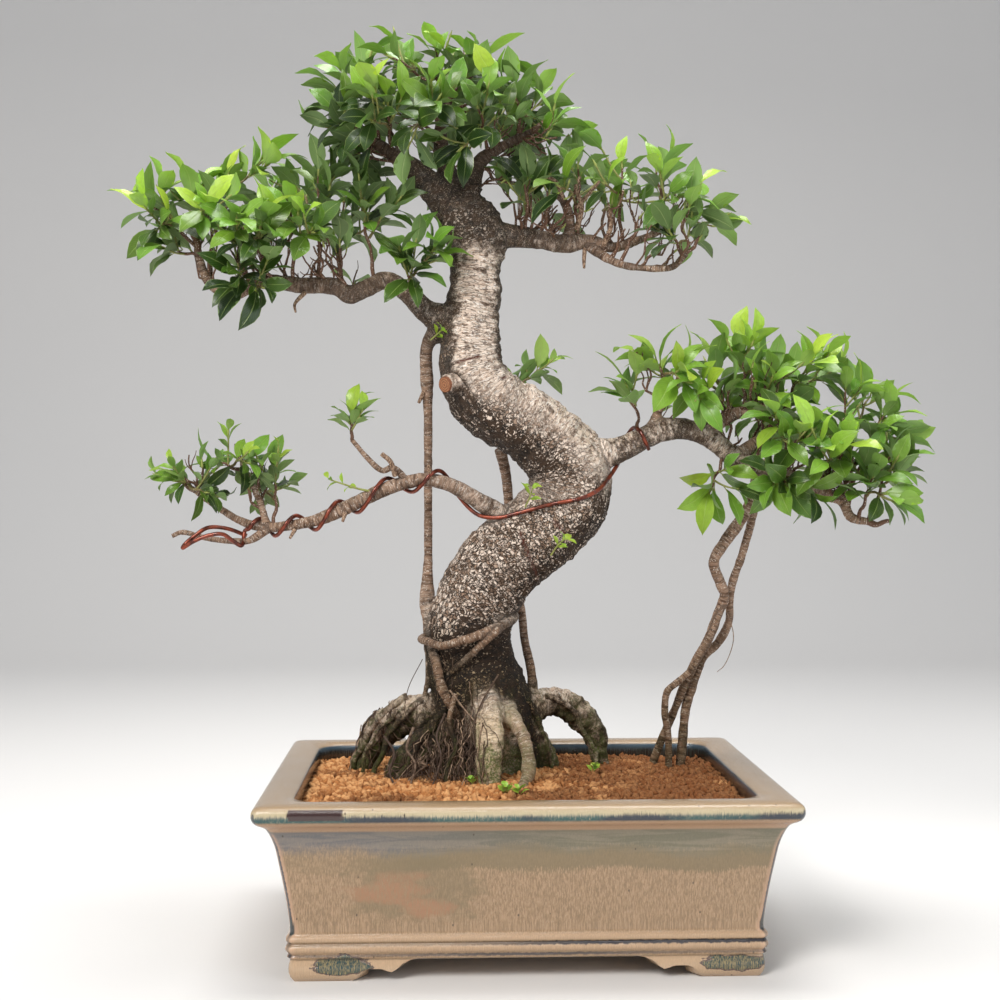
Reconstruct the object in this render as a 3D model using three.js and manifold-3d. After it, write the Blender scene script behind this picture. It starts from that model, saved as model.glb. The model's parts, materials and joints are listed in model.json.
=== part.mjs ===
// Kimmen ficus bonsai in a glazed rectangular pot. Millimetres, +Z up, the front looks towards -Y.
// While it is built, the pot's centre is at x = 0, y = 0 and its feet stand on z = 0.
// At the end the whole group is shifted so that its bounding box is centred on the Z axis.
import * as THREE from 'three';
import { mergeVertices } from 'three/addons/utils/BufferGeometryUtils.js';
import Module from 'manifold-3d';

const wasm = await Module();
wasm.setup();

// Driving dimensions
const POT_WIDTH = 460;
const POT_DEPTH = 350;
const CORNER_RADIUS = 7;
const CORNER_STEPS = 2;
const FOOT_THICKNESS = 13;
const FOOT_FACE = 202;
const FOOT_SKIRT = 110;
const FOOT_CURVE_STEPS = 2;
const FLOOR_TOP = 27;
const DRAIN_X = 92;
const DRAIN_RADIUS = 14;
const SCREEN_SIZE = 40;
const SCREEN_THICKNESS = 1.2;
const SOIL_LEVEL = 137;
const SOIL_MOUND = 4;
const GRAIN_RELIEF = 1.3;
const SEAT_GAP = 0.4;
const FINISH_TOLERANCE = 0.15;
const WIRE_RADIUS = 2;
const WIRE_STEPS = 74;
const WIRE_SIDES = 5;
const WIRE_CLEARANCE = 1;
const LEAF_LENGTH = 44;
const LEAF_WIDTH_SHARE = 0.47;
const LEAF_THICKNESS = 1.8;
const LIMB_SWELL = 0.04;
const STEM_RADIUS = 2.8;
const FORK_RADIUS = 1.9;
const FORK_START = 0.45;
const STEM_TIP_RADIUS = 1.5;
const PAIR_BAND = 2.6;
// Pairs of leaves: share of the stem's length, the first face, and the spread from the stem in radians.
const STEM_PAIRS = [[0.58, 0, 1.25], [0.83, 1, 0.95]];
const FORK_PAIRS = [[0.75, 0, 1.1]];
const GOLDEN_ANGLE = THREE.MathUtils.degToRad(137.5);
const ROOT_SPACING = 9;
const SEED = 46;

// Limbs of the tree, each a list of [x, y, z, radius] along its middle line.
const LIMBS = {
  trunk: [
    [-34, 60, 108, 57], [-34, 60, 161, 54], [-34, 58, 203, 49], [-43, 55, 248, 42], [-45, 50, 285, 40],
    [-24, 48, 331, 39], [15, 50, 368, 41], [51, 55, 402, 41], [50, 55, 439, 40], [18, 50, 473, 35],
    [-30, 46, 504, 35], [-46, 48, 539, 32], [-46, 50, 569, 28], [-42, 52, 600, 25.5], [-41, 52, 628, 24.5],
    [-40, 52, 654, 28.5], [-46, 52, 680, 30], [-50, 52, 697, 19],
  ],
  apex_main: [[-52, 52, 672, 20], [-68, 51, 692, 17], [-83, 50, 707, 14.5], [-99, 46, 725, 10.5],
    [-116, 42, 736, 8], [-138, 38, 750, 5.5]],
  apex_up: [[-56, 54, 676, 18], [-63, 55, 694, 15.5], [-69, 60, 729, 10], [-75, 62, 764, 7],
    [-65, 60, 803, 4]],
  apex_right: [[-50, 52, 678, 14], [-38, 50, 732, 8], [-12, 45, 750, 5], [17, 42, 764, 3.4]],
  upper_right: [[-44, 52, 660, 17], [-5, 52, 663, 11.5], [23, 50, 659, 9], [47, 47, 654, 9],
    [71, 45, 657, 7.4], [93, 45, 651, 5.4], [125, 46, 661, 4], [148, 48, 671, 3]],
  upper_right_low: [[66, 45, 656, 6], [92, 38, 636, 4], [118, 30, 629, 3.2], [148, 24, 629, 3],
    [162, 22, 641, 2.4]],
  upper_right_stub: [[50, 47, 652, 6], [51, 44, 679, 5.4], [44, 40, 696, 4.4], [33, 36, 701, 3]],
  upper_left: [[-46, 52, 566, 15], [-66, 52, 580, 13.5], [-87, 50, 588, 11.7], [-110, 47, 609, 9.7],
    [-127, 44, 618, 9.2], [-147, 40, 609, 8.7], [-162, 38, 602, 8.7], [-175, 38, 610, 8.2],
    [-210, 42, 612, 7.7], [-248, 48, 616, 6.8], [-277, 50, 604, 6.3], [-296, 48, 612, 5.3],
    [-307, 46, 635, 4.8], [-309, 44, 648, 4]],
  middle_right: [[50, 54, 440, 24], [76, 52, 449, 18], [101, 48, 454, 12.2], [125, 44, 466, 10.7],
    [147, 42, 474, 11.2], [169, 42, 473, 10.3], [194, 44, 462, 10.3], [219, 46, 441, 9.8],
    [244, 48, 436, 8.8], [271, 50, 425, 7.9], [301, 50, 411, 6.9], [320, 48, 405, 5.9],
    [328, 46, 388, 4.9], [345, 44, 383, 4]],
  middle_top: [[180, 44, 468, 9], [208, 40, 487, 6.8], [227, 36, 491, 5]],
  middle_diagonal: [[212, 45, 446, 7.5], [238, 60, 462, 5.9], [261, 75, 477, 4.5]],
  middle_spur: [[126, 44, 464, 6], [139, 40, 494, 4.4], [149, 38, 509, 3]],
  pillar: [[-62, 50, 580, 9], [-78, 53, 570, 9], [-88, 60, 555, 6.5], [-88, 66, 522, 6.9],
    [-87, 70, 492, 5], [-87, 72, 417, 4.6], [-87, 70, 345, 4.6], [-88, 66, 306, 8], [-88, 62, 285, 4.6],
    [-88, 55, 248, 3.6], [-89, 45, 220, 3.2], [-93, 37, 194, 3], [-106, 33, 165, 3], [-112, 31, 124, 3]],
  cross_root: [[-88, 60, 271, 4], [-93, 42, 270, 3.8], [-88, 24, 270, 3.8], [-73, 5, 267, 3.8],
    [-56, 3, 271, 4.2], [-37, 4, 277, 4.7], [-18, 14, 284, 4.8], [-3, 34, 292, 4.4], [-8, 46, 296, 4]],
  strand_down: [[-18, 16, 283, 4], [-24, 6, 279, 4.3], [-37, 7, 267, 3.8], [-50, 11, 254, 3.8],
    [-64, 18, 240, 3.2], [-72, 32, 226, 3]],
  strand_left: [[-86, 42, 270, 4.8], [-78, 18, 246, 4.8], [-73, 10, 226, 4.7], [-66, 7, 212, 4.7],
    [-56, 12, 194, 4.2]],
  drop_behind: [[-15, 82, 455, 6], [-8, 95, 425, 5], [-5, 100, 384, 4.6], [-1, 98, 344, 4],
    [4, 88, 307, 4], [7, 80, 285, 4], [10, 74, 260, 4.2], [15, 68, 234, 4.6], [18, 62, 207, 4.9],
    [20, 56, 174, 4.9], [22, 52, 124, 4.9]],
  aerial_a: [[238, 48, 438, 7.5], [237, 50, 426, 6.6], [232, 52, 405, 5.4], [219, 54, 382, 6.1],
    [205, 56, 362, 5.9], [195, 58, 343, 5.1], [202, 62, 323, 5.2], [207, 66, 310, 4.8],
    [202, 72, 291, 4.8], [191, 78, 261, 4.8], [180, 80, 241, 4.5], [168, 82, 214, 4.2],
    [158, 84, 188, 4.1], [149, 86, 167, 4.1], [133, 88, 124, 4.1]],
  aerial_b: [[240, 54, 430, 5], [237, 60, 410, 4.6], [235, 64, 388, 4], [228, 70, 357, 4],
    [219, 74, 328, 4], [215, 80, 304, 4], [216, 84, 282, 4], [205, 86, 262, 4.2], [189, 88, 244, 4.5],
    [180, 88, 221, 4.8], [173, 86, 199, 4.8], [170, 84, 179, 4.6], [164, 80, 124, 4.6]],
  aerial_c: [[209, 67, 308, 3.2], [196, 70, 275, 3], [174, 72, 234, 3], [162, 70, 223, 3.4],
    [151, 68, 214, 3.6], [148, 68, 194, 3.6], [151, 68, 176, 3.6], [152, 68, 124, 3.6]],
  lower_left: [[14, 50, 372, 15], [-10, 42, 386, 12], [-34, 32, 401, 9.2], [-57, 28, 415, 7.7],
    [-71, 26, 421, 7.2], [-88, 26, 424, 6.9], [-104, 28, 422, 6.9], [-122, 30, 417, 6.9],
    [-143, 32, 408, 6.9], [-162, 34, 399, 6.9], [-179, 34, 391, 6.7], [-198, 34, 384, 5.8],
    [-220, 34, 380, 5.3], [-243, 34, 378, 4.8], [-257, 34, 381, 4.8], [-271, 34, 387, 4.3],
    [-284, 34, 395, 3.8], [-300, 34, 406, 3.3], [-313, 34, 416, 2.9]],
  lower_left_up: [[-241, 34, 378, 4.8], [-246, 36, 397, 3.8], [-253, 38, 414, 3.5], [-262, 40, 432, 3]],
  lower_left_low: [[-240, 34, 377, 4.6], [-258, 30, 366, 3.4], [-275, 34, 365, 3], [-301, 38, 368, 2.6],
    [-322, 34, 374, 2.3], [-331, 32, 370, 2]],
  lower_left_sprig: [[-106, 28, 422, 4], [-120, 26, 435, 3.1], [-130, 24, 432, 2.9],
    [-145, 20, 445, 2.5], [-159, 18, 462, 2.2]],
  root_left: [[-60, 55, 194, 22], [-100, 55, 197, 18.6], [-126, 60, 184, 16.7], [-142, 66, 163, 15.8],
    [-152, 70, 138, 13.8], [-158, 72, 116, 11]],
  root_left_front: [[-65, 30, 183, 19], [-94, 20, 168, 15.3], [-115, 14, 146, 11.4], [-122, 12, 118, 9.5]],
  root_front: [[-37, 24, 226, 17], [-29, 0, 202, 13.2], [-27, -14, 176, 12.1], [-28, -20, 152, 10.2],
    [-27, -22, 122, 8.3]],
  root_front_curl: [[-14, 21, 205, 11.5], [0, 0, 189, 7.5], [6, -12, 171, 7], [7, -22, 152, 7],
    [-1, -34, 138, 6.4], [-13, -42, 124, 4.6]],
  root_right: [[4, 60, 203, 20], [39, 66, 205, 14.8], [64, 74, 190, 13.9], [79, 80, 169, 13],
    [85, 84, 146, 10], [91, 86, 118, 8]],
  root_right_inner: [[3, 50, 189, 16], [23, 58, 164, 11.8], [35, 62, 138, 9.9], [44, 66, 116, 8.9]],
  root_back: [[-25, 90, 194, 20], [-14, 108, 165, 17], [-3, 120, 136, 14], [2, 124, 116, 11.3]],
  root_back_left: [[-55, 90, 189, 18], [-75, 112, 160, 16.3], [-91, 124, 132, 12.3], [-96, 127, 116, 10.3]],
};

// Thicker limbs get more sides; the rest are finished with few.
const LIMB_SIDES = { trunk: 12, root_left: 7, root_right: 7, middle_right: 7, upper_left: 6, root_front: 6 };
const THIN_LIMB_SIDES = 5;

// Each spray: its name, the limb that it grows from, and the tips of its stem and its fork.
const SPRAYS = [
  ['apex_low_left', 'apex_main', [-160, 38, 752], [-172, 20, 768]],
  ['apex_left', 'apex_main', [-172, 40, 799], [-152, 62, 823]],
  ['apex_top_left', 'apex_up', [-122, 42, 833], [-103, 85, 838]],
  ['apex_top', 'apex_up', [-79, 58, 844]],
  ['apex_top_right', 'apex_up', [-34, 52, 833], [-45, 92, 827]],
  ['apex_right_tip', 'apex_right', [-2, 42, 805], [15, 60, 781]],
  ['apex_front_left', 'apex_main', [-124, 2, 777], [-138, -8, 758]],
  ['apex_front', 'apex_up', [-84, -10, 774], [-101, -12, 749]],
  ['apex_front_right', 'apex_right', [-39, 6, 775], [-54, -4, 735]],
  ['apex_back_left', 'apex_main', [-138, 98, 809]],
  ['apex_back', 'apex_up', [-86, 118, 822], [-67, 112, 792]],
  ['apex_back_right', 'apex_right', [-27, 100, 801], [5, 90, 767]],
  ['left_tip', 'upper_left', [-357, 46, 690], [-342, 28, 664]],
  ['left_tip_low', 'upper_left', [-333, 44, 648]],
  ['left_outer', 'upper_left', [-317, 50, 703], [-296, 14, 682]],
  ['left_top', 'upper_left', [-281, 52, 717], [-251, 44, 728]],
  ['left_front', 'upper_left', [-265, -6, 664], [-240, -14, 649]],
  ['left_front_inner', 'upper_left', [-215, 0, 678], [-194, -8, 654]],
  ['left_crown', 'upper_left', [-192, 34, 716], [-216, 60, 714]],
  ['left_inner', 'upper_left', [-150, 28, 698], [-121, 40, 689]],
  ['left_low', 'upper_left', [-266, 14, 616], [-241, -2, 603]],
  ['left_back_outer', 'upper_left', [-306, 112, 702]],
  ['left_back', 'upper_left', [-246, 116, 720], [-217, 112, 695]],
  ['left_back_inner', 'upper_left', [-172, 104, 706], [-143, 92, 679]],
  ['left_near_trunk', 'upper_left', [-102, 18, 622], [-83, 20, 640]],
  ['right_inner', 'upper_right', [9, 22, 706], [0, 60, 729]],
  ['right_top', 'upper_right', [59, 40, 727], [38, 2, 701]],
  ['right_crown', 'upper_right', [103, 48, 730], [81, 12, 706]],
  ['right_outer', 'upper_right', [137, 50, 726], [144, 22, 697]],
  ['right_tip', 'upper_right', [177, 46, 689], [194, 62, 676]],
  ['right_low', 'upper_right_low', [147, 14, 657], [169, 34, 665]],
  ['right_back', 'upper_right', [87, 104, 728], [128, 100, 713]],
  ['right_back_inner', 'upper_right', [34, 98, 708]],
  ['middle_spur_tip', 'middle_spur', [137, 42, 537], [151, 14, 527]],
  ['middle_whip', 'middle_right', [108, 46, 514]],
  ['middle_inner', 'middle_top', [194, 50, 534], [172, 16, 516]],
  ['middle_new_growth', 'middle_top', [221, 46, 552], [244, 70, 538]],
  ['middle_crown', 'middle_diagonal', [244, 34, 519], [270, 52, 531]],
  ['middle_high', 'middle_diagonal', [294, 60, 542], [320, 90, 526]],
  ['middle_outer', 'middle_right', [323, 44, 517], [352, 66, 506]],
  ['middle_tip', 'middle_right', [365, 44, 495], [378, 66, 473]],
  ['middle_tip_low', 'middle_right', [366, 34, 451], [376, 48, 430]],
  ['middle_end', 'middle_right', [340, 12, 426], [347, -2, 410]],
  ['middle_front', 'middle_right', [264, -2, 465], [243, -6, 482]],
  ['middle_front_outer', 'middle_right', [311, 0, 462], [288, -14, 440]],
  ['middle_low', 'middle_right', [255, 8, 420], [279, 4, 410]],
  ['middle_back', 'middle_diagonal', [286, 118, 504], [249, 110, 487]],
  ['middle_back_outer', 'middle_right', [349, 112, 483]],
  ['middle_hanging', 'middle_right', [188, 30, 416]],
  ['lower_tip', 'lower_left', [-319, 30, 422], [-296, 12, 412]],
  ['lower_crown', 'lower_left_up', [-292, 38, 439], [-262, 28, 441]],
  ['lower_inner', 'lower_left', [-235, 42, 432], [-250, 64, 414]],
  ['lower_sprig', 'lower_left_sprig', [-159, 18, 481]],
  ['trunk_back', 'trunk', [4, 104, 528], [28, 96, 538]],
];

// Route of the wire's hook beyond the branch tip, and its route over the front of the trunk.
const WIRE_HOOK = [[-262, 46, 370], [-280, 40, 377], [-297, 31, 378], [-309, 27, 370], [-318, 26, 362],
  [-319, 22, 359], [-309, 20, 365], [-294, 20, 371], [-281, 20, 372], [-271, 22, 365], [-264, 26, 361]];
const WIRE_TURNS_X = [-262, -233, -194, -153, -101, -50];
const WIRE_LEAD = [[-38, 30, 390]];
const WIRE_TRUNK = [[-16, 388], [7, 394], [33, 401], [59, 406], [76, 414], [88, 425]];
const WIRE_LAST_TURN = { from: 0.125, to: 0.24, turns: 1.1, start: -0.55 };

const MATERIALS = {
  glaze: { color: 0x9c8a6c, roughness: 0.25, metalness: 0 },
  soil: { color: 0xb07843, roughness: 0.95, metalness: 0 },
  bark: { color: 0x6e5b4a, roughness: 0.85, metalness: 0 },
  wire: { color: 0x6e3a26, roughness: 0.4, metalness: 1 },
  mesh: { color: 0x24282a, roughness: 0.6, metalness: 0 },
  leaf: { color: 0x4c8a26, roughness: 0.4, metalness: 0 },
};

// Random numbers that come out the same every time.
function randomSource(seed) {
  let state = seed >>> 0;
  return () => {
    state = (state + 0x6d2b79f5) >>> 0;
    let t = Math.imul(state ^ (state >>> 15), state | 1);
    t ^= t + Math.imul(t ^ (t >>> 7), t | 61);
    return ((t ^ (t >>> 14)) >>> 0) / 4294967296;
  };
}

const vector = ([x, y, z]) => new THREE.Vector3(x, y, z);

// A closed geometry becomes a solid for joining and cutting, with its faces turned outwards.
function solidOf(geometry) {
  const bare = geometry.clone();
  bare.deleteAttribute('normal');
  bare.deleteAttribute('uv');
  const merged = mergeVertices(bare, 1e-4);
  const places = merged.attributes.position.array;
  let corners = Array.from(merged.index.array);
  corners = withoutSlivers(corners);
  if (signedVolume(places, corners) < 0) {
    corners = corners.reverse();
  }
  return new wasm.Manifold(new wasm.Mesh({
    numProp: 3,
    vertProperties: new Float32Array(places),
    triVerts: new Uint32Array(corners),
  }));
}

// Triangles that merging has closed up are left out.
function withoutSlivers(corners) {
  const kept = [];
  for (let i = 0; i < corners.length; i += 3) {
    const [a, b, c] = corners.slice(i, i + 3);
    if (a !== b && b !== c && c !== a) {
      kept.push(a, b, c);
    }
  }
  return kept;
}

function signedVolume(places, corners) {
  const at = (i) => new THREE.Vector3().fromArray(places, 3 * corners[i]);
  let sum = 0;
  for (let i = 0; i < corners.length; i += 3) {
    sum += at(i).dot(at(i + 1).cross(at(i + 2)));
  }
  return sum / 6;
}

function geometryOf(solid) {
  const mesh = solid.getMesh();
  const geometry = new THREE.BufferGeometry();
  geometry.setAttribute('position', new THREE.BufferAttribute(new Float32Array(mesh.vertProperties), 3));
  geometry.setIndex(new THREE.BufferAttribute(new Uint32Array(mesh.triVerts), 1));
  geometry.computeVertexNormals();
  return geometry;
}

function pieceOf(name, solid, finish) {
  const mesh = new THREE.Mesh(geometryOf(solid), new THREE.MeshStandardMaterial(MATERIALS[finish]));
  mesh.name = name;
  return mesh;
}

function unionOf(solids) {
  return wasm.Manifold.union(solids);
}

// The largest body of a solid, without the scraps that a cut leaves.
function mainBody(solid) {
  const bodies = solid.decompose();
  bodies.sort((a, b) => b.volume() - a.volume());
  return bodies[0];
}

// A point of the rounded rectangle whose half width is `half`, for step j of its outline.
function outlinePoint(j, half) {
  const halfDepth = half - (POT_WIDTH - POT_DEPTH) / 2;
  if (halfDepth <= CORNER_RADIUS) {
    return [0, 0];
  }
  const perCorner = CORNER_STEPS + 1;
  const corner = Math.floor(j / perCorner) % 4;
  const turn = ((corner + (j % perCorner) / CORNER_STEPS) * Math.PI) / 2;
  const signX = corner === 0 || corner === 3 ? 1 : -1;
  const signY = corner < 2 ? 1 : -1;
  return [
    signX * (half - CORNER_RADIUS) + CORNER_RADIUS * Math.cos(turn),
    signY * (halfDepth - CORNER_RADIUS) + CORNER_RADIUS * Math.sin(turn),
  ];
}

// A turned profile of [half width, z] points is pressed into the pot's rectangular plan.
function rectangularLathe(profile) {
  const segments = 4 * (CORNER_STEPS + 1);
  const geometry = new THREE.LatheGeometry(profile.map(([half, z]) => new THREE.Vector2(half, z)), segments);
  const places = geometry.attributes.position;
  for (let j = 0; j <= segments; j++) {
    for (let i = 0; i < profile.length; i++) {
      const [half, z] = profile[i];
      const [x, y] = outlinePoint(j % segments, half);
      places.setXYZ(j * profile.length + i, x, y, z);
    }
  }
  return solidOf(geometry);
}

const POT_PROFILE = [
  [0, 17], [192, 17], [199.5, 18.5], [203.4, 23], [204.6, 29], [203.4, 35.5], [199.8, 40.5], [202.3, 58],
  [205.6, 80], [209.4, 101], [212.8, 117], [219.5, 132], [227.5, 137.5], [230, 143], [229, 149], [224, 152],
  [200, 151], [198, 147], [198, 134], [205, 126], [200, 100], [193, 58], [188, FLOOR_TOP], [0, FLOOR_TOP],
];

// Outline of one foot seen from the front: flat sole, ogee to a small hanging cusp, then the straight skirt.
function footShape(skirtLength) {
  const outer = FOOT_FACE;
  const shape = new THREE.Shape();
  shape.moveTo(outer - 5, 0);
  shape.bezierCurveTo(outer, 3, outer + 1.5, 9, outer - 2, 21);
  shape.lineTo(outer - skirtLength, 21);
  shape.lineTo(outer - skirtLength, 18.5);
  shape.bezierCurveTo(outer - 96, 17, outer - 92, 11, outer - 87, 8);
  shape.quadraticCurveTo(outer - 82, 10, outer - 78, 11);
  shape.lineTo(outer - 69, 11);
  shape.bezierCurveTo(outer - 62, 10, outer - 60, 3, outer - 54, 0);
  shape.closePath();
  return shape;
}

// One foot wall under the front or back (alongX) or under a side, with its outer face at `reach`.
function footWall(alongX, side, mirrored, reach) {
  const wall = new THREE.ExtrudeGeometry(footShape(FOOT_SKIRT), {
    depth: FOOT_THICKNESS, bevelEnabled: false, curveSegments: FOOT_CURVE_STEPS,
  });
  wall.rotateX(Math.PI / 2);
  wall.translate(0, FOOT_THICKNESS, 0);
  if (alongX) {
    wall.translate(0, -reach, 0);
    wall.scale(mirrored, -side, 1);
  } else {
    wall.translate(reach - FOOT_FACE, 0, 0);
    wall.rotateZ(Math.PI / 2);
    wall.translate(FOOT_THICKNESS - FOOT_FACE, 0, 0);
    wall.scale(-side, mirrored, 1);
  }
  return solidOf(wall);
}

function buildPot() {
  const footDepth = FOOT_FACE - (POT_WIDTH - POT_DEPTH) / 2;
  const feet = [];
  for (const side of [-1, 1]) {
    for (const mirrored of [-1, 1]) {
      feet.push(footWall(true, side, mirrored, footDepth));
      feet.push(footWall(false, side, mirrored, footDepth));
    }
  }
  let pot = unionOf([rectangularLathe(POT_PROFILE), ...feet]);
  for (const x of [-DRAIN_X, DRAIN_X]) {
    const hole = new THREE.CylinderGeometry(DRAIN_RADIUS, DRAIN_RADIUS, 40, 20);
    hole.rotateX(Math.PI / 2);
    hole.translate(x, 0, FLOOR_TOP);
    pot = pot.subtract(solidOf(hole));
  }
  return pot;
}

// A square of slotted plastic mesh over a drainage hole.
function buildScreen(x) {
  let screen = solidOf(new THREE.BoxGeometry(SCREEN_SIZE, SCREEN_SIZE, SCREEN_THICKNESS));
  const pitch = SCREEN_SIZE / 5;
  for (const i of [-1, 0, 1]) {
    const slot = new THREE.BoxGeometry(pitch / 2, 0.7 * SCREEN_SIZE, 3 * SCREEN_THICKNESS);
    screen = screen.subtract(solidOf(slot.translate(i * pitch, 0, 0)));
  }
  return screen.translate([x, 0, FLOOR_TOP + SEAT_GAP + SCREEN_THICKNESS / 2]);
}

// Height of the soil: a low mound round the trunk, lower towards the corners, with the grains' relief.
function soilHeight(x, y) {
  const fromTrunk = Math.hypot((x + 20) / 190, (y - 40) / 130);
  const mound = SOIL_MOUND * Math.exp(-fromTrunk * fromTrunk);
  const corner = 3 * Math.min(1, Math.hypot(x / 200, y / 145) ** 4 / 2);
  const grain = Math.sin(x * 0.31 + 2 * Math.sin(y * 0.13)) * Math.cos(y * 0.37 + 1.5 * Math.sin(x * 0.11));
  return SOIL_LEVEL + mound - corner + GRAIN_RELIEF * grain;
}

function buildSoil(cutters) {
  const body = rectangularLathe([
    [0, FLOOR_TOP + SEAT_GAP], [187.4, FLOOR_TOP + SEAT_GAP], [192.4, 58], [199.4, 100], [204.3, 125.7],
    [197.5, 133.6], [197.5, 150], [0, 150],
  ]);
  const top = new THREE.BoxGeometry(420, 310, 200, 15, 11, 1);
  const places = top.attributes.position;
  for (let i = 0; i < places.count; i++) {
    if (places.getZ(i) > 0) {
      places.setZ(i, soilHeight(places.getX(i), places.getY(i)));
    }
  }
  return mainBody(body.intersect(solidOf(top)).subtract(cutters)).asOriginal().simplify(FINISH_TOLERANCE);
}

// The trunk's cross-section is drawn out into low lobes that wind up it; other limbs are nearly round.
function swell(name, angle, share) {
  if (name === 'trunk') {
    const lobes = 0.05 * Math.cos(3 * angle + 9 * share) + 0.035 * Math.cos(5 * angle - 14 * share);
    return 1 + lobes;
  }
  return 1 + LIMB_SWELL * Math.cos(2 * angle + 11 * share);
}

function limbCurve(name) {
  return new THREE.CatmullRomCurve3(LIMBS[name].map(vector), false, 'centripetal');
}

function limbRadius(name, share) {
  const points = LIMBS[name];
  const place = Math.min(share, 0.99999) * (points.length - 1);
  const i = Math.floor(place);
  return THREE.MathUtils.lerp(points[i][3], points[i + 1][3], place - i);
}

// Radius of a limb at its widest side.
function thickestAt(name, share) {
  return limbRadius(name, share) * (1 + LIMB_SWELL);
}

// Directions across a curve at each of its steps, carried along without twisting.
function carriedFrames(curve, steps) {
  const frames = [];
  let side = null;
  for (let k = 0; k <= steps; k++) {
    const along = curve.getTangent(k / steps).normalize();
    if (side === null) {
      side = Math.abs(along.x) > 0.9 ? new THREE.Vector3(0, 1, 0) : new THREE.Vector3(1, 0, 0);
    }
    side.addScaledVector(along, -side.dot(along)).normalize();
    frames.push({ point: curve.getPoint(k / steps), side: side.clone(), up: along.clone().cross(side) });
  }
  return frames;
}

// A closed cylinder is bent along a curve and swollen to the radius that each place asks for.
function tubeAlong(curve, radiusAt, sides, steps) {
  const geometry = new THREE.CylinderGeometry(1, 1, 1, sides, steps);
  const frames = carriedFrames(curve, steps);
  const places = geometry.attributes.position;
  for (let i = 0; i < places.count; i++) {
    const across = new THREE.Vector2(places.getX(i), places.getZ(i));
    const step = Math.round((places.getY(i) + 0.5) * steps);
    const frame = frames[step];
    const angle = across.angle();
    const reach = across.length() * radiusAt(step / steps, angle);
    const place = frame.point.clone();
    place.addScaledVector(frame.side, reach * Math.cos(angle));
    place.addScaledVector(frame.up, reach * Math.sin(angle));
    places.setXYZ(i, place.x, place.y, place.z);
  }
  return solidOf(geometry);
}

// One limb as a solid, `extra` millimetres thicker all round than it has grown.
function limbSolid(name, extra) {
  const steps = Math.ceil((name === 'trunk' ? 1.75 : 0.8) * LIMBS[name].length);
  const radiusAt = (share, angle) => limbRadius(name, share) * swell(name, angle, share) + extra;
  return tubeAlong(limbCurve(name), radiusAt, LIMB_SIDES[name] ?? THIN_LIMB_SIDES, steps);
}

function buildWood(extra) {
  return unionOf(Object.keys(LIMBS).map((name) => limbSolid(name, extra)));
}

// Middle line of the wire: the hook, the turns round the branch, the trunk's front, the right branch.
function wireRoute(woodGeometry) {
  const route = WIRE_HOOK.map(vector);
  route.push(...helixOn('lower_left', WIRE_TURNS_X));
  route.push(...WIRE_LEAD.map(vector));
  const ray = new THREE.Raycaster();
  const wood = new THREE.Mesh(woodGeometry, new THREE.MeshBasicMaterial({ side: THREE.DoubleSide }));
  const crossing = new THREE.CatmullRomCurve3(WIRE_TRUNK.map(([x, z]) => new THREE.Vector3(x, 0, z)));
  for (const { x, z } of crossing.getPoints(12)) {
    ray.set(new THREE.Vector3(x, -200, z), new THREE.Vector3(0, 1, 0));
    const hit = ray.intersectObject(wood)[0];
    route.push(new THREE.Vector3(x, hit.point.y - WIRE_RADIUS - WIRE_CLEARANCE, z));
  }
  route.push(...lastTurn());
  return new THREE.CatmullRomCurve3(route, false, 'centripetal');
}

// Turns round a branch: the wire passes under it at each x of the list and goes up over its front.
function helixOn(name, passes) {
  const places = limbCurve(name).getPoints(400);
  const stepsPerTurn = 6;
  const points = [];
  for (let k = 0; k < passes.length - 1; k++) {
    for (let step = 0; step < stepsPerTurn; step++) {
      const turn = step / stepsPerTurn;
      const x = THREE.MathUtils.lerp(passes[k], passes[k + 1], turn);
      const i = places.findIndex((place) => place.x < x);
      const reach = thickestAt(name, i / places.length) + WIRE_RADIUS + WIRE_CLEARANCE;
      const angle = 2 * Math.PI * turn;
      points.push(new THREE.Vector3(x, places[i].y - reach * Math.sin(angle), places[i].z - reach * Math.cos(angle)));
    }
  }
  return points;
}

function lastTurn() {
  const curve = limbCurve('middle_right');
  const points = [];
  const steps = 8;
  for (let k = 1; k <= steps; k++) {
    const share = THREE.MathUtils.lerp(WIRE_LAST_TURN.from, WIRE_LAST_TURN.to, k / steps);
    const middle = curve.getPoint(share);
    const reach = thickestAt('middle_right', share) + WIRE_RADIUS + WIRE_CLEARANCE;
    const angle = WIRE_LAST_TURN.start - (2 * Math.PI * WIRE_LAST_TURN.turns * k) / steps;
    points.push(middle.clone().add(new THREE.Vector3(0, -reach * Math.cos(angle), reach * Math.sin(angle))));
  }
  return points;
}

function wireSolid(curve, extra) {
  return tubeAlong(curve, () => WIRE_RADIUS + extra, WIRE_SIDES, WIRE_STEPS);
}

// The seven points of a leaf blade that lies along +X from its stalk at the origin: an elliptic outline,
// folded up at both sides of the midrib, arched, and thickest along its middle.
function bladePoints(length) {
  const width = length * LEAF_WIDTH_SHARE;
  const arch = (share) => length * (0.36 * share * (1 - share) - 0.05 * share);
  const edge = (share, across) => new THREE.Vector3(
    share * length, (across * width) / 2, 0.12 * width * Math.abs(across) + arch(share),
  );
  const middle = (side) => new THREE.Vector3(length / 2, 0, arch(0.5) + (side * LEAF_THICKNESS) / 2);
  return {
    rim: [edge(0.36, 0.92), edge(0.7, 0.86), edge(1, 0), edge(0.7, -0.86), edge(0.36, -0.92)],
    top: middle(1),
    bottom: middle(-1),
  };
}

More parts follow.
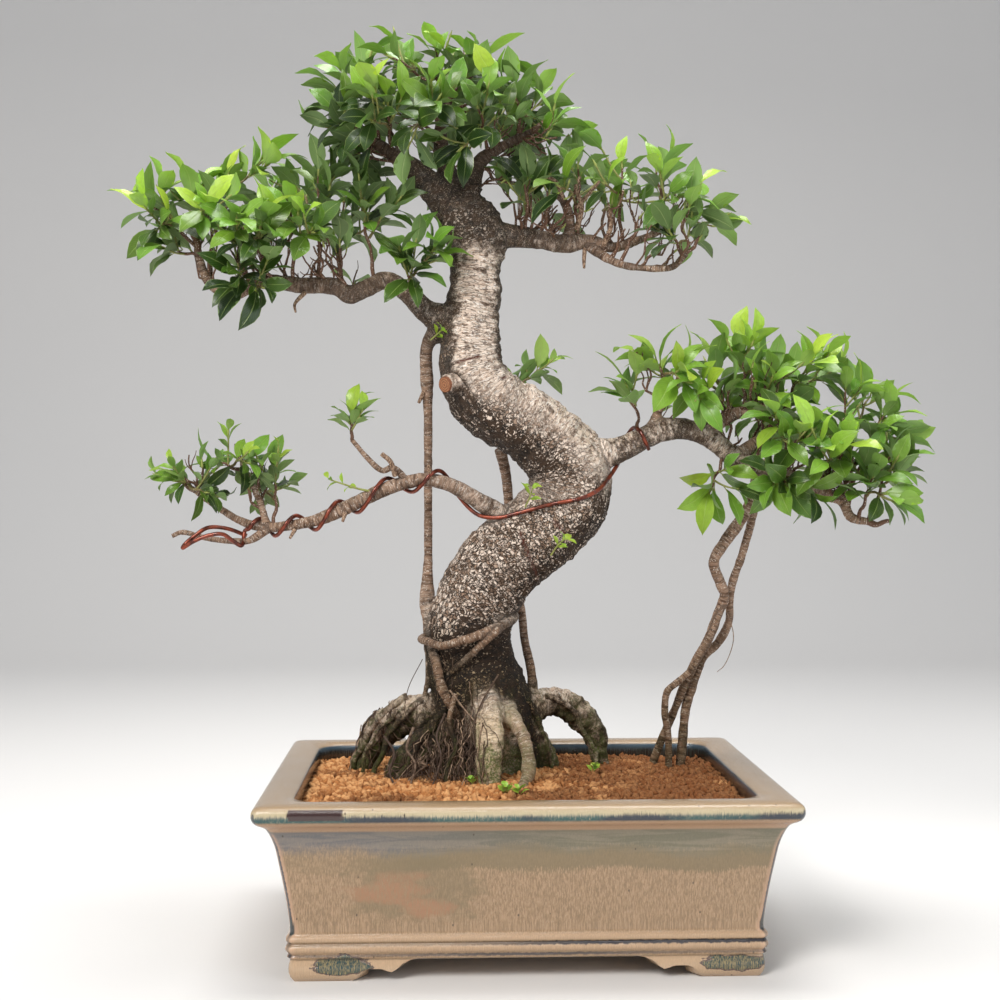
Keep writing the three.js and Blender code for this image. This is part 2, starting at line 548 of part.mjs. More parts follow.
// A blade placed in space, with its upper face towards `facing`.
function placedBlade(length, origin, along, facing) {
  const across = facing.clone().cross(along).normalize();
  const up = along.clone().cross(across);
  const matrix = new THREE.Matrix4().makeBasis(along, across, up).setPosition(origin);
  const { rim, top, bottom } = bladePoints(length);
  for (const point of [...rim, top, bottom]) {
    point.applyMatrix4(matrix);
  }
  return { rim, top, bottom };
}

// The blade by itself as a solid, closed over its root, to test whether it is clear of others.
function bladeSolid(blade, corners) {
  const [lowerRight, lowerLeft, upperLeft, upperRight] = corners;
  const root = [lowerLeft, upperLeft, upperRight, lowerLeft, upperRight, lowerRight];
  return solidOf(new THREE.BufferGeometry().setFromPoints([...bladeFaces(blade, corners), ...root]));
}

// The faces that join a blade to the four corners of its stem's face: two above and two below.
function bladeFaces(blade, [lowerRight, lowerLeft, upperLeft, upperRight]) {
  const faces = [lowerRight, upperRight, blade.rim[0], upperLeft, lowerLeft, blade.rim[4]];
  const above = [upperRight, ...blade.rim, upperLeft];
  const below = [lowerRight, ...blade.rim, lowerLeft];
  above.forEach((point, i) => faces.push(above[(i + 1) % above.length], point, blade.top));
  below.forEach((point, i) => faces.push(point, below[(i + 1) % below.length], blade.bottom));
  return faces;
}

// Whether a solid stays clear of all others by the seat gap.
function isClear(solid, others) {
  const box = solid.boundingBox();
  return others.every((other) => {
    const near = [0, 1, 2].every((i) => (
      box.min[i] < other.box.max[i] + SEAT_GAP && other.box.min[i] < box.max[i] + SEAT_GAP
    ));
    return !near || solid.minGap(other.solid, 2 * SEAT_GAP) >= SEAT_GAP;
  });
}

const withBox = (solid) => ({ solid, box: solid.boundingBox() });

// The point of a limb from which a stem grows to its target, at a distance from the other stems' roots.
function rootOnLimb(name, target, usedRoots) {
  const curve = limbCurve(name);
  let best = null;
  for (let k = 12; k <= 100; k++) {
    const point = curve.getPoint(k / 100);
    const crowded = usedRoots.some((used) => used.distanceTo(point) < ROOT_SPACING);
    const cost = point.distanceTo(target) + 0.35 * Math.abs(point.x - target.x);
    if (!crowded && (best === null || cost < best.cost)) {
      best = { point, cost };
    }
  }
  return best.point;
}

// A stem's middle line from its root to its tip, bowed upwards and to the side by `bow`.
function stemCurve(root, tip, bow) {
  const middle = root.clone().lerp(tip, 0.5).add(bow);
  return new THREE.CatmullRomCurve3([root, middle, tip]);
}

// Tries slight bows until the stem is clear of the others.
function clearStem(root, tip, thick, pairs, others, grownWood) {
  const reach = root.distanceTo(tip);
  const radiusAt = (share) => THREE.MathUtils.lerp(thick, STEM_TIP_RADIUS, share) + SEAT_GAP / 2;
  for (let attempt = 0; attempt < 40; attempt++) {
    const swing = attempt * GOLDEN_ANGLE;
    const size = 0.012 * attempt * reach;
    const bow = new THREE.Vector3(size * Math.cos(swing), size * Math.sin(swing), 0.06 * reach);
    const curve = stemCurve(root, tip, bow);
    const solid = tubeAlong(curve, radiusAt, 6, 6);
    if (isClear(solid.subtract(grownWood), others)) {
      return { curve, solid, thick, reach, pairs, phase: swing, leaves: new Map() };
    }
  }
  return null;
}

// Four corners round a stem at one share of its length.
function stemRing(stem, share) {
  const along = stem.curve.getTangent(share).normalize();
  const side = new THREE.Vector3(1, 0.2, 0.1);
  side.addScaledVector(along, -side.dot(along)).normalize();
  const up = along.clone().cross(side);
  const radius = THREE.MathUtils.lerp(stem.thick, STEM_TIP_RADIUS, share);
  return [0, 1, 2, 3].map((corner) => {
    const angle = stem.phase + (corner * Math.PI) / 2;
    return stem.curve.getPoint(share)
      .addScaledVector(side, radius * Math.cos(angle))
      .addScaledVector(up, radius * Math.sin(angle));
  });
}

// Leaf directions: out of the stem's face, spread from the stem's own direction, the face turned upwards.
function leafAim(outward, tangent, spread, twist) {
  const sideways = tangent.clone().cross(outward).normalize();
  const radial = outward.clone().multiplyScalar(Math.cos(twist)).addScaledVector(sideways, Math.sin(twist));
  const along = tangent.clone().multiplyScalar(Math.cos(spread)).addScaledVector(radial, Math.sin(spread));
  along.normalize();
  const facing = tangent.clone().multiplyScalar(Math.sin(spread)).addScaledVector(radial, -Math.cos(spread));
  facing.z += 0.5;
  facing.addScaledVector(along, -facing.dot(along)).normalize();
  return { along, facing };
}

// One leaf grown from a face of its stem, turned a little at a time until it is clear of the others.
function growLeaf(corners, outward, tangent, spread, length, others) {
  const root = corners.reduce((sum, corner) => sum.add(corner), new THREE.Vector3()).divideScalar(4);
  for (let attempt = 0; attempt < 36; attempt++) {
    const twist = (attempt % 2 ? 1 : -1) * Math.ceil(attempt / 2) * 0.09;
    const { along, facing } = leafAim(outward, tangent, spread * (1 - 0.012 * attempt), twist);
    const blade = placedBlade(length * (1 - 0.009 * attempt), root, along, facing);
    const solid = bladeSolid(blade, corners);
    if (isClear(solid, others)) {
      return { blade, tested: withBox(solid) };
    }
  }
  return null;
}

// Corners of the stem's end, in the order of a leaf's root, turned so that the leaf's face looks up.
function tipCorners(stem) {
  const end = stemRing(stem, 1);
  const lift = (r) => end[(r + 3) % 4].z - end[r].z;
  const r = [0, 1, 2, 3].reduce((best, next) => (lift(next) > lift(best) ? next : best));
  return [end[(r + 1) % 4], end[r], end[(r + 3) % 4], end[(r + 2) % 4]];
}

// The leaves of one stem: two facing pairs, the second turned a quarter, and one at the tip.
function growLeaves(stem, random, others) {
  const tested = [];
  const grow = (share, face, corners, outward, spread) => {
    const length = LEAF_LENGTH * (0.8 + 0.35 * random());
    const tangent = stem.curve.getTangent(share).normalize();
    const leaf = growLeaf(corners, outward, tangent, spread, length, [...others, ...tested]);
    if (leaf !== null) {
      tested.push(leaf.tested);
      stem.leaves.set(`${share} ${face}`, leaf.blade);
    }
  };
  for (const [share, firstFace, spread] of stem.pairs) {
    const low = stemRing(stem, share);
    const high = stemRing(stem, share + PAIR_BAND / stem.reach);
    for (const face of [firstFace, firstFace + 2]) {
      const next = (face + 1) % 4;
      const corners = [low[next], low[face], high[face], high[next]];
      const outward = low[face].clone().add(low[next]).sub(stem.curve.getPoint(share).multiplyScalar(2));
      grow(share, face, corners, outward.normalize(), spread);
    }
  }
  const corners = tipCorners(stem);
  grow(1, 0, corners, corners[1].clone().sub(corners[2]).normalize(), 0.25);
  return tested;
}

// The stem's own faces, with each leaf's faces in place of the stem face that it grows from.
function leafyStemSolid(stem) {
  const faces = [];
  const quad = (a, b, c, d) => faces.push(a, b, c, a, c, d);
  const shares = [0];
  for (const [share] of stem.pairs) {
    shares.push(share, share + PAIR_BAND / stem.reach);
  }
  shares.push(1);
  const rings = shares.map((share) => stemRing(stem, share));
  for (let i = 0; i < rings.length - 1; i++) {
    for (let face = 0; face < 4; face++) {
      const next = (face + 1) % 4;
      const corners = [rings[i][next], rings[i][face], rings[i + 1][face], rings[i + 1][next]];
      const blade = stem.leaves.get(`${shares[i]} ${face}`);
      if (blade) {
        faces.push(...bladeFaces(blade, corners));
      } else {
        quad(corners[1], corners[0], corners[3], corners[2]);
      }
    }
  }
  const [start, end] = [rings[0], rings[rings.length - 1]];
  quad(start[3], start[2], start[1], start[0]);
  const terminal = stem.leaves.get('1 0');
  if (terminal) {
    faces.push(...bladeFaces(terminal, tipCorners(stem)));
  } else {
    quad(end[0], end[1], end[2], end[3]);
  }
  return solidOf(new THREE.BufferGeometry().setFromPoints(faces));
}

// Places every stem first and then every leaf, so that nothing crosses.
function buildSprays(wood, grownWood, wire) {
  const random = randomSource(SEED);
  const fixed = [withBox(wire)];
  const sprays = SPRAYS.map(([name, limb, ...tips]) => ({ name, limb, tips: tips.map(vector), stems: [] }));
  const usedRoots = [];
  for (const spray of sprays) {
    placeStems(spray, fixed, sprays, grownWood, usedRoots);
  }
  const placedLeaves = [];
  for (const spray of sprays) {
    const strangers = sprays.filter((other) => other !== spray).map((other) => other.trimmed);
    for (const stem of spray.stems) {
      const siblings = spray.stems.filter((other) => other !== stem).map((other) => withBox(other.solid));
      const others = [withBox(wood), ...fixed, ...placedLeaves, ...strangers, ...siblings];
      placedLeaves.push(...growLeaves(stem, random, others));
    }
  }
  return sprays;
}

function placeStems(spray, fixed, sprays, grownWood, usedRoots) {
  const others = [...fixed, ...sprays.filter((other) => other.trimmed).map((other) => other.trimmed)];
  const root = rootOnLimb(spray.limb, spray.tips[0], usedRoots);
  usedRoots.push(root);
  const first = clearStem(root, spray.tips[0], STEM_RADIUS, STEM_PAIRS, others, grownWood);
  if (first === null) {
    throw new Error(`the stem of ${spray.name} finds no clear way`);
  }
  spray.stems.push(first);
  if (spray.tips.length > 1) {
    const fork = clearStem(first.curve.getPoint(FORK_START), spray.tips[1], FORK_RADIUS, FORK_PAIRS, others, grownWood);
    if (fork !== null) {
      spray.stems.push(fork);
    }
  }
  const stems = unionOf(spray.stems.map((stem) => stem.solid));
  spray.trimmed = withBox(mainBody(stems.subtract(grownWood)));
}

function sprayPiece(spray, grownWood) {
  const whole = unionOf(spray.stems.map(leafyStemSolid)).subtract(grownWood);
  return pieceOf(spray.name, mainBody(whole).asOriginal().simplify(FINISH_TOLERANCE), 'leaf');
}

function buildBonsai() {
  const group = new THREE.Group();
  const pot = buildPot();
  const screens = { drain_screen_left: buildScreen(-DRAIN_X), drain_screen_right: buildScreen(DRAIN_X) };
  const rough = buildWood(0);
  const route = wireRoute(geometryOf(rough));
  const wire = wireSolid(route, 0);
  const wood = mainBody(rough.subtract(wireSolid(route, SEAT_GAP))).asOriginal().simplify(FINISH_TOLERANCE);
  const grownWood = buildWood(SEAT_GAP);
  const pockets = [-DRAIN_X, DRAIN_X].map((x) => {
    const width = SCREEN_SIZE + 2 * SEAT_GAP;
    const pocket = new THREE.BoxGeometry(width, width, 2 * (SCREEN_THICKNESS + 2 * SEAT_GAP));
    return solidOf(pocket.translate(x, 0, FLOOR_TOP));
  });
  const soil = buildSoil(unionOf([grownWood, ...pockets]));
  group.add(pieceOf('pot', pot, 'glaze'));
  for (const [name, screen] of Object.entries(screens)) {
    group.add(pieceOf(name, screen, 'mesh'));
  }
  group.add(pieceOf('soil', soil, 'soil'));
  group.add(pieceOf('tree', wood, 'bark'));
  group.add(pieceOf('training_wire', wire, 'wire'));
  for (const spray of buildSprays(wood, grownWood, wire)) {
    group.add(sprayPiece(spray, grownWood));
  }
  centreOnFloor(group);
  return group;
}

// The bounding box of the whole stands centred over the origin, with its lowest point at z = 0.
function centreOnFloor(group) {
  const box = new THREE.Box3().setFromObject(group, true);
  const middle = box.getCenter(new THREE.Vector3());
  group.position.set(-middle.x, -middle.y, -box.min.z);
}

const bonsai = buildBonsai();

export default bonsai;
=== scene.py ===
"""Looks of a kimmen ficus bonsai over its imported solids: bark, leaves, twigs, roots, soil, wire and glaze.

The tables are in millimetres in the pot's own frame: +Z up, front towards -Y, the pot's centre at x = y = 0.
What is built from them is in metres in the shared frame, which is the same frame shifted sideways.
"""

import json
import logging
import math
from dataclasses import dataclass, field
from enum import IntEnum
from typing import Any, Callable, ClassVar, Iterable, Optional, Sequence

import bmesh
import bpy
import numpy as np
from mathutils import Matrix, Vector, noise
from mathutils.bvhtree import BVHTree

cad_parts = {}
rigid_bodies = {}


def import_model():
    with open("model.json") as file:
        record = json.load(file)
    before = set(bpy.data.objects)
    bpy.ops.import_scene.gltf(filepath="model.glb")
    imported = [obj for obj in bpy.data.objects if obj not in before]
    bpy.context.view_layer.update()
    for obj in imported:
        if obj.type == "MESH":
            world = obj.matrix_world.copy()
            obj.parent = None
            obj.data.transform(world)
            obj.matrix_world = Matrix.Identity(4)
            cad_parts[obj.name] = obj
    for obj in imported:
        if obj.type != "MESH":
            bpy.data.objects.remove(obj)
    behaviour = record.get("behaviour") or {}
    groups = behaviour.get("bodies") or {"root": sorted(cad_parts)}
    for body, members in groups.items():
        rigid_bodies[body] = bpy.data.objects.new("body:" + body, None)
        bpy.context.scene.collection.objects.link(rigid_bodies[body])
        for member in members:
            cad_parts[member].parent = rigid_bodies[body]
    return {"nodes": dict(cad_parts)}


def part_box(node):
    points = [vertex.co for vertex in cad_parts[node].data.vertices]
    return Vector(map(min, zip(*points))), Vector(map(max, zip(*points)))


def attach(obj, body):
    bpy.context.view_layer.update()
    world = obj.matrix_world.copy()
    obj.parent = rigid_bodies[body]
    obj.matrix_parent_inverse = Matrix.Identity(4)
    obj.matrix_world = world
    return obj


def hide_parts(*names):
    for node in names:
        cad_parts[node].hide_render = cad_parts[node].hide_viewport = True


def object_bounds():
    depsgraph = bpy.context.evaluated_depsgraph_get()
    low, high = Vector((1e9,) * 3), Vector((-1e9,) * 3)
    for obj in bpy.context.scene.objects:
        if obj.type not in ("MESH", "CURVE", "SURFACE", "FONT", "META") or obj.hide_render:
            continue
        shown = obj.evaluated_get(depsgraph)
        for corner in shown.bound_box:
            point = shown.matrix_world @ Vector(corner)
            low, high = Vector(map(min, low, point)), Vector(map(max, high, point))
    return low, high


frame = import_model()
CAD_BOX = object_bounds()

LOG = logging.getLogger("bonsai")
MM = 0.001
SEED = 46
GOLDEN_ANGLE = math.radians(137.5)
POT_LOW, POT_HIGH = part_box("pot")
POT_CENTRE = Vector(((POT_LOW.x + POT_HIGH.x) / 2, (POT_LOW.y + POT_HIGH.y) / 2, 0.0))

Colour = tuple[float, float, float]
Socket = bpy.types.NodeSocket

# Limbs as [x, y, z, radius] along their middle lines, the same as in the solids.
LIMBS: dict[str, list[list[float]]] = {
    "trunk": [
        [-34, 60, 108, 57], [-34, 60, 161, 54], [-34, 58, 203, 49], [-43, 55, 248, 42], [-45, 50, 285, 40],
        [-24, 48, 331, 39], [15, 50, 368, 41], [51, 55, 402, 41], [50, 55, 439, 40], [18, 50, 473, 35],
        [-30, 46, 504, 35], [-46, 48, 539, 32], [-46, 50, 569, 28], [-42, 52, 600, 25.5],
        [-41, 52, 628, 24.5], [-40, 52, 654, 28.5], [-46, 52, 680, 30], [-50, 52, 697, 19]],
    "apex_main": [
        [-52, 52, 672, 20], [-68, 51, 692, 17], [-83, 50, 707, 14.5], [-99, 46, 725, 10.5],
        [-116, 42, 736, 8], [-138, 38, 750, 5.5]],
    "apex_up": [[-56, 54, 676, 18], [-63, 55, 694, 15.5], [-69, 60, 729, 10], [-75, 62, 764, 7],
                [-65, 60, 803, 4]],
    "apex_right": [[-50, 52, 678, 14], [-38, 50, 732, 8], [-12, 45, 750, 5], [17, 42, 764, 3.4]],
    "upper_right": [
        [-44, 52, 660, 17], [-5, 52, 663, 11.5], [23, 50, 659, 9], [47, 47, 654, 9],
        [71, 45, 657, 7.4], [93, 45, 651, 5.4], [125, 46, 661, 4], [148, 48, 671, 3]],
    "upper_right_low": [[66, 45, 656, 6], [92, 38, 636, 4], [118, 30, 629, 3.2], [148, 24, 629, 3],
                        [162, 22, 641, 2.4]],
    "upper_right_stub": [[50, 47, 652, 6], [51, 44, 679, 5.4], [44, 40, 696, 4.4], [33, 36, 701, 3]],
    "upper_left": [
        [-46, 52, 566, 15], [-66, 52, 580, 13.5], [-87, 50, 588, 11.7], [-110, 47, 609, 9.7],
        [-127, 44, 618, 9.2], [-147, 40, 609, 8.7], [-162, 38, 602, 8.7], [-175, 38, 610, 8.2],
        [-210, 42, 612, 7.7], [-248, 48, 616, 6.8], [-277, 50, 604, 6.3], [-296, 48, 612, 5.3],
        [-307, 46, 635, 4.8], [-309, 44, 648, 4]],
    "middle_right": [
        [50, 54, 440, 24], [76, 52, 449, 18], [101, 48, 454, 12.2], [125, 44, 466, 10.7],
        [147, 42, 474, 11.2], [169, 42, 473, 10.3], [194, 44, 462, 10.3], [219, 46, 441, 9.8],
        [244, 48, 436, 8.8], [271, 50, 425, 7.9], [301, 50, 411, 6.9], [320, 48, 405, 5.9],
        [328, 46, 388, 4.9], [345, 44, 383, 4]],
    "middle_top": [[180, 44, 468, 9], [208, 40, 487, 6.8], [227, 36, 491, 5]],
    "middle_diagonal": [[212, 45, 446, 7.5], [238, 60, 462, 5.9], [261, 75, 477, 4.5]],
    "middle_spur": [[126, 44, 464, 6], [139, 40, 494, 4.4], [149, 38, 509, 3]],
    "pillar": [
        [-62, 50, 580, 9], [-78, 53, 570, 9], [-88, 60, 555, 6.5], [-88, 66, 522, 6.9],
        [-87, 70, 492, 5], [-87, 72, 417, 4.6], [-87, 70, 345, 4.6], [-88, 66, 306, 8], [-88, 62, 285, 4.6],
        [-88, 55, 248, 3.6], [-89, 45, 220, 3.2], [-93, 37, 194, 3], [-106, 33, 165, 3], [-112, 31, 124, 3]],
    "cross_root": [
        [-88, 60, 271, 4], [-93, 42, 270, 3.8], [-88, 24, 270, 3.8], [-73, 5, 267, 3.8],
        [-56, 3, 271, 4.2], [-37, 4, 277, 4.7], [-18, 14, 284, 4.8], [-3, 34, 292, 4.4], [-8, 46, 296, 4]],
    "strand_down": [
        [-18, 16, 283, 4], [-24, 6, 279, 4.3], [-37, 7, 267, 3.8], [-50, 11, 254, 3.8],
        [-64, 18, 240, 3.2], [-72, 32, 226, 3]],
    "strand_left": [[-86, 42, 270, 4.8], [-78, 18, 246, 4.8], [-73, 10, 226, 4.7], [-66, 7, 212, 4.7],
                    [-56, 12, 194, 4.2]],
    "drop_behind": [
        [-15, 82, 455, 6], [-8, 95, 425, 5], [-5, 100, 384, 4.6], [-1, 98, 344, 4],
        [4, 88, 307, 4], [7, 80, 285, 4], [10, 74, 260, 4.2], [15, 68, 234, 4.6], [18, 62, 207, 4.9],
        [20, 56, 174, 4.9], [22, 52, 124, 4.9]],
    "aerial_a": [
        [238, 48, 438, 7.5], [237, 50, 426, 6.6], [232, 52, 405, 5.4], [219, 54, 382, 6.1],
        [205, 56, 362, 5.9], [195, 58, 343, 5.1], [202, 62, 323, 5.2], [207, 66, 310, 4.8],
        [202, 72, 291, 4.8], [191, 78, 261, 4.8], [180, 80, 241, 4.5], [168, 82, 214, 4.2],
        [158, 84, 188, 4.1], [149, 86, 167, 4.1], [133, 88, 124, 4.1]],
    "aerial_b": [
        [240, 54, 430, 5], [237, 60, 410, 4.6], [235, 64, 388, 4], [228, 70, 357, 4],
        [219, 74, 328, 4], [215, 80, 304, 4], [216, 84, 282, 4], [205, 86, 262, 4.2], [189, 88, 244, 4.5],
        [180, 88, 221, 4.8], [173, 86, 199, 4.8], [170, 84, 179, 4.6], [164, 80, 124, 4.6]],
    "aerial_c": [
        [209, 67, 308, 3.2], [196, 70, 275, 3], [174, 72, 234, 3], [162, 70, 223, 3.4],
        [151, 68, 214, 3.6], [148, 68, 194, 3.6], [151, 68, 176, 3.6], [152, 68, 124, 3.6]],
    "lower_left": [
        [14, 50, 372, 15], [-10, 42, 386, 12], [-34, 32, 401, 9.2], [-57, 28, 415, 7.7],
        [-71, 26, 421, 7.2], [-88, 26, 424, 6.9], [-104, 28, 422, 6.9], [-122, 30, 417, 6.9],
        [-143, 32, 408, 6.9], [-162, 34, 399, 6.9], [-179, 34, 391, 6.7], [-198, 34, 384, 5.8],
        [-220, 34, 380, 5.3], [-243, 34, 378, 4.8], [-257, 34, 381, 4.8], [-271, 34, 387, 4.3],
        [-284, 34, 395, 3.8], [-300, 34, 406, 3.3], [-313, 34, 416, 2.9]],
    "lower_left_up": [[-241, 34, 378, 4.8], [-246, 36, 397, 3.8], [-253, 38, 414, 3.5], [-262, 40, 432, 3]],
    "lower_left_low": [
        [-240, 34, 377, 4.6], [-258, 30, 366, 3.4], [-275, 34, 365, 3], [-301, 38, 368, 2.6],
        [-322, 34, 374, 2.3], [-331, 32, 370, 2]],
    "lower_left_sprig": [[-106, 28, 422, 4], [-120, 26, 435, 3.1], [-130, 24, 432, 2.9],
                         [-145, 20, 445, 2.5], [-159, 18, 462, 2.2]],
    "root_left": [
        [-60, 55, 194, 22], [-100, 55, 197, 18.6], [-126, 60, 184, 16.7], [-142, 66, 163, 15.8],
        [-152, 70, 138, 13.8], [-158, 72, 116, 11]],
    "root_left_front": [[-65, 30, 183, 19], [-94, 20, 168, 15.3], [-115, 14, 146, 11.4],
                        [-122, 12, 118, 9.5]],
    "root_front": [[-37, 24, 226, 17], [-29, 0, 202, 13.2], [-27, -14, 176, 12.1], [-28, -20, 152, 10.2],
                   [-27, -22, 122, 8.3]],
    "root_front_curl": [
        [-14, 21, 205, 11.5], [0, 0, 189, 7.5], [6, -12, 171, 7], [7, -22, 152, 7],
        [-1, -34, 138, 6.4], [-13, -42, 124, 4.6]],
    "root_right": [
        [4, 60, 203, 20], [39, 66, 205, 14.8], [64, 74, 190, 13.9], [79, 80, 169, 13],
        [85, 84, 146, 10], [91, 86, 118, 8]],
    "root_right_inner": [[3, 50, 189, 16], [23, 58, 164, 11.8], [35, 62, 138, 9.9], [44, 66, 116, 8.9]],
    "root_back": [[-25, 90, 194, 20], [-14, 108, 165, 17], [-3, 120, 136, 14], [2, 124, 116, 11.3]],
    "root_back_left": [[-55, 90, 189, 18], [-75, 112, 160, 16.3], [-91, 124, 132, 12.3],
                       [-96, 127, 116, 10.3]],
}
SWEPT_LIMBS = ("cross_root", "strand_down", "strand_left", "drop_behind", "aerial_a", "aerial_b", "aerial_c",
               "lower_left_low", "lower_left_sprig", "upper_right_low")

# Sprays: name, limb that it grows from, tips of its stem and fork. Bows are steps of the stem's side bend.
SPRAYS: list[list[Any]] = [
    ["apex_low_left", "apex_main", [-160, 38, 752], [-172, 20, 768]],
    ["apex_left", "apex_main", [-172, 40, 799], [-152, 62, 823]],
    ["apex_top_left", "apex_up", [-122, 42, 833], [-103, 85, 838]],
    ["apex_top", "apex_up", [-79, 58, 844]],
    ["apex_top_right", "apex_up", [-34, 52, 833], [-45, 92, 827]],
    ["apex_right_tip", "apex_right", [-2, 42, 805], [15, 60, 781]],
    ["apex_front_left", "apex_main", [-124, 2, 777], [-138, -8, 758]],
    ["apex_front", "apex_up", [-84, -10, 774], [-101, -12, 749]],
    ["apex_front_right", "apex_right", [-39, 6, 775], [-54, -4, 735]],
    ["apex_back_left", "apex_main", [-138, 98, 809]],
    ["apex_back", "apex_up", [-86, 118, 822], [-67, 112, 792]],
    ["apex_back_right", "apex_right", [-27, 100, 801], [5, 90, 767]],
    ["left_tip", "upper_left", [-357, 46, 690], [-342, 28, 664]],
    ["left_tip_low", "upper_left", [-333, 44, 648]],
    ["left_outer", "upper_left", [-317, 50, 703], [-296, 14, 682]],
    ["left_top", "upper_left", [-281, 52, 717], [-251, 44, 728]],
    ["left_front", "upper_left", [-265, -6, 664], [-240, -14, 649]],
    ["left_front_inner", "upper_left", [-215, 0, 678], [-194, -8, 654]],
    ["left_crown", "upper_left", [-192, 34, 716], [-216, 60, 714]],
    ["left_inner", "upper_left", [-150, 28, 698], [-121, 40, 689]],
    ["left_low", "upper_left", [-266, 14, 616], [-241, -2, 603]],
    ["left_back_outer", "upper_left", [-306, 112, 702]],
    ["left_back", "upper_left", [-246, 116, 720], [-217, 112, 695]],
    ["left_back_inner", "upper_left", [-172, 104, 706], [-143, 92, 679]],
    ["left_near_trunk", "upper_left", [-102, 18, 622], [-83, 20, 640]],
    ["right_inner", "upper_right", [9, 22, 706], [0, 60, 729]],
    ["right_top", "upper_right", [59, 40, 727], [38, 2, 701]],
    ["right_crown", "upper_right", [103, 48, 730], [81, 12, 706]],
    ["right_outer", "upper_right", [137, 50, 726], [144, 22, 697]],
    ["right_tip", "upper_right", [177, 46, 689], [194, 62, 676]],
    ["right_low", "upper_right_low", [147, 14, 657], [169, 34, 665]],
    ["right_back", "upper_right", [87, 104, 728], [128, 100, 713]],
    ["right_back_inner", "upper_right", [34, 98, 708]],
    ["middle_spur_tip", "middle_spur", [137, 42, 537], [151, 14, 527]],
    ["middle_whip", "middle_right", [108, 46, 514]],
    ["middle_inner", "middle_top", [194, 50, 534], [172, 16, 516]],
    ["middle_new_growth", "middle_top", [221, 46, 552], [244, 70, 538]],
    ["middle_crown", "middle_diagonal", [244, 34, 519], [270, 52, 531]],
    ["middle_high", "middle_diagonal", [294, 60, 542], [320, 90, 526]],
    ["middle_outer", "middle_right", [323, 44, 517], [352, 66, 506]],
    ["middle_tip", "middle_right", [365, 44, 495], [378, 66, 473]],
    ["middle_tip_low", "middle_right", [366, 34, 451], [376, 48, 430]],
    ["middle_end", "middle_right", [340, 12, 426], [347, -2, 410]],
    ["middle_front", "middle_right", [264, -2, 465], [243, -6, 482]],
    ["middle_front_outer", "middle_right", [311, 0, 462], [288, -14, 440]],
    ["middle_low", "middle_right", [255, 8, 420], [279, 4, 410]],
    ["middle_back", "middle_diagonal", [286, 118, 504], [249, 110, 487]],
    ["middle_back_outer", "middle_right", [349, 112, 483]],
    ["middle_hanging", "middle_right", [188, 30, 416]],
    ["lower_tip", "lower_left", [-319, 30, 422], [-296, 12, 412]],
    ["lower_crown", "lower_left_up", [-292, 38, 439], [-262, 28, 441]],
    ["lower_inner", "lower_left", [-235, 42, 432], [-250, 64, 414]],
    ["lower_sprig", "lower_left_sprig", [-159, 18, 481]],
    ["trunk_back", "trunk", [4, 104, 528], [28, 96, 538]],
]
STEM_BOWS = {"apex_left": 8, "apex_top": 19, "left_outer": 3, "right_tip": 20, "middle_whip": 8,
             "middle_back": 9}

# Branches with fine twigs: name, where they start, how many, spray of their leaves, leafy share and rise.
TWIGGY_LIMBS = [
    ["upper_left", 0.40, 26, "left_inner", 0.3, 0.25],
    ["upper_right", 0.15, 22, "right_top", 0.3, 0.25],
    ["upper_right_low", 0.12, 10, "right_low", 0.2, -0.1],
    ["middle_right", 0.22, 22, "middle_front", 0.3, 0.25],
    ["middle_top", 0.30, 6, "middle_inner", 0.3, 0.25],
    ["middle_diagonal", 0.30, 7, "middle_crown", 0.3, 0.25],
    ["apex_main", 0.30, 10, "apex_low_left", 0.4, -0.3],
    ["apex_up", 0.20, 12, "apex_front", 0.5, -0.4],
    ["apex_right", 0.08, 14, "apex_front_right", 0.6, -0.6],
    ["lower_left", 0.86, 5, "lower_tip", 0.3, 0.25],
    ["lower_left_up", 0.20, 6, "lower_crown", 0.3, 0.25],
    ["middle_spur", 0.40, 2, "middle_spur_tip", 0.3, 0.25],
]

WIRE_HOOK = [[-262, 46, 370], [-280, 40, 377], [-297, 31, 378], [-309, 27, 370], [-318, 26, 362],
             [-319, 22, 359], [-309, 20, 365], [-294, 20, 371], [-281, 20, 372], [-271, 22, 365],
             [-264, 26, 361]]
WIRE_TURNS_X = [-262, -233, -194, -153, -101, -50]
WIRE_LEAD = [-38, 30, 390]
WIRE_TRUNK = [[-16, 388], [7, 394], [33, 401], [59, 406], [76, 414], [88, 425]]

# Dead stubs, new shoots and hair roots as [x, y, z, radius] lines.
DEAD_STUBS = [
    [[58, 44, 668, 3], [62, 36, 690, 2.6], [56, 30, 706, 2], [60, 27, 716, 1.4]],
    [[57, 38, 688, 2.4], [72, 30, 704, 1.9], [80, 27, 713, 1.3]],
    [[45, 38, 696, 2.4], [36, 30, 712, 1.8], [22, 26, 717, 1.2]],
    [[84, 40, 652, 2.6], [90, 28, 670, 2.2], [87, 22, 684, 1.5]],
    [[66, 44, 650, 2.4], [65, 42, 638, 2], [65, 41, 630, 1.3]],
    [[218, 42, 486, 3.4], [232, 34, 496, 3], [241, 30, 497, 2.7]],
    [[-118, 22, 428, 2.6], [-122, 12, 441, 2.4], [-130, 8, 448, 2.2]],
    [[-88, 66, 517, 3], [-96, 60, 500, 1.6]],
    [[-205, 36, 604, 2.4], [-214, 30, 592, 1.6], [-213, 28, 584, 1]],
    [[-84, 20, 426, 2.4], [-86, 12, 437, 1.6]],
    [[-166, 30, 392, 2.4], [-168, 26, 384, 1.4]],
    [[-214, 30, 376, 2.2], [-218, 24, 368, 1.2]],
]
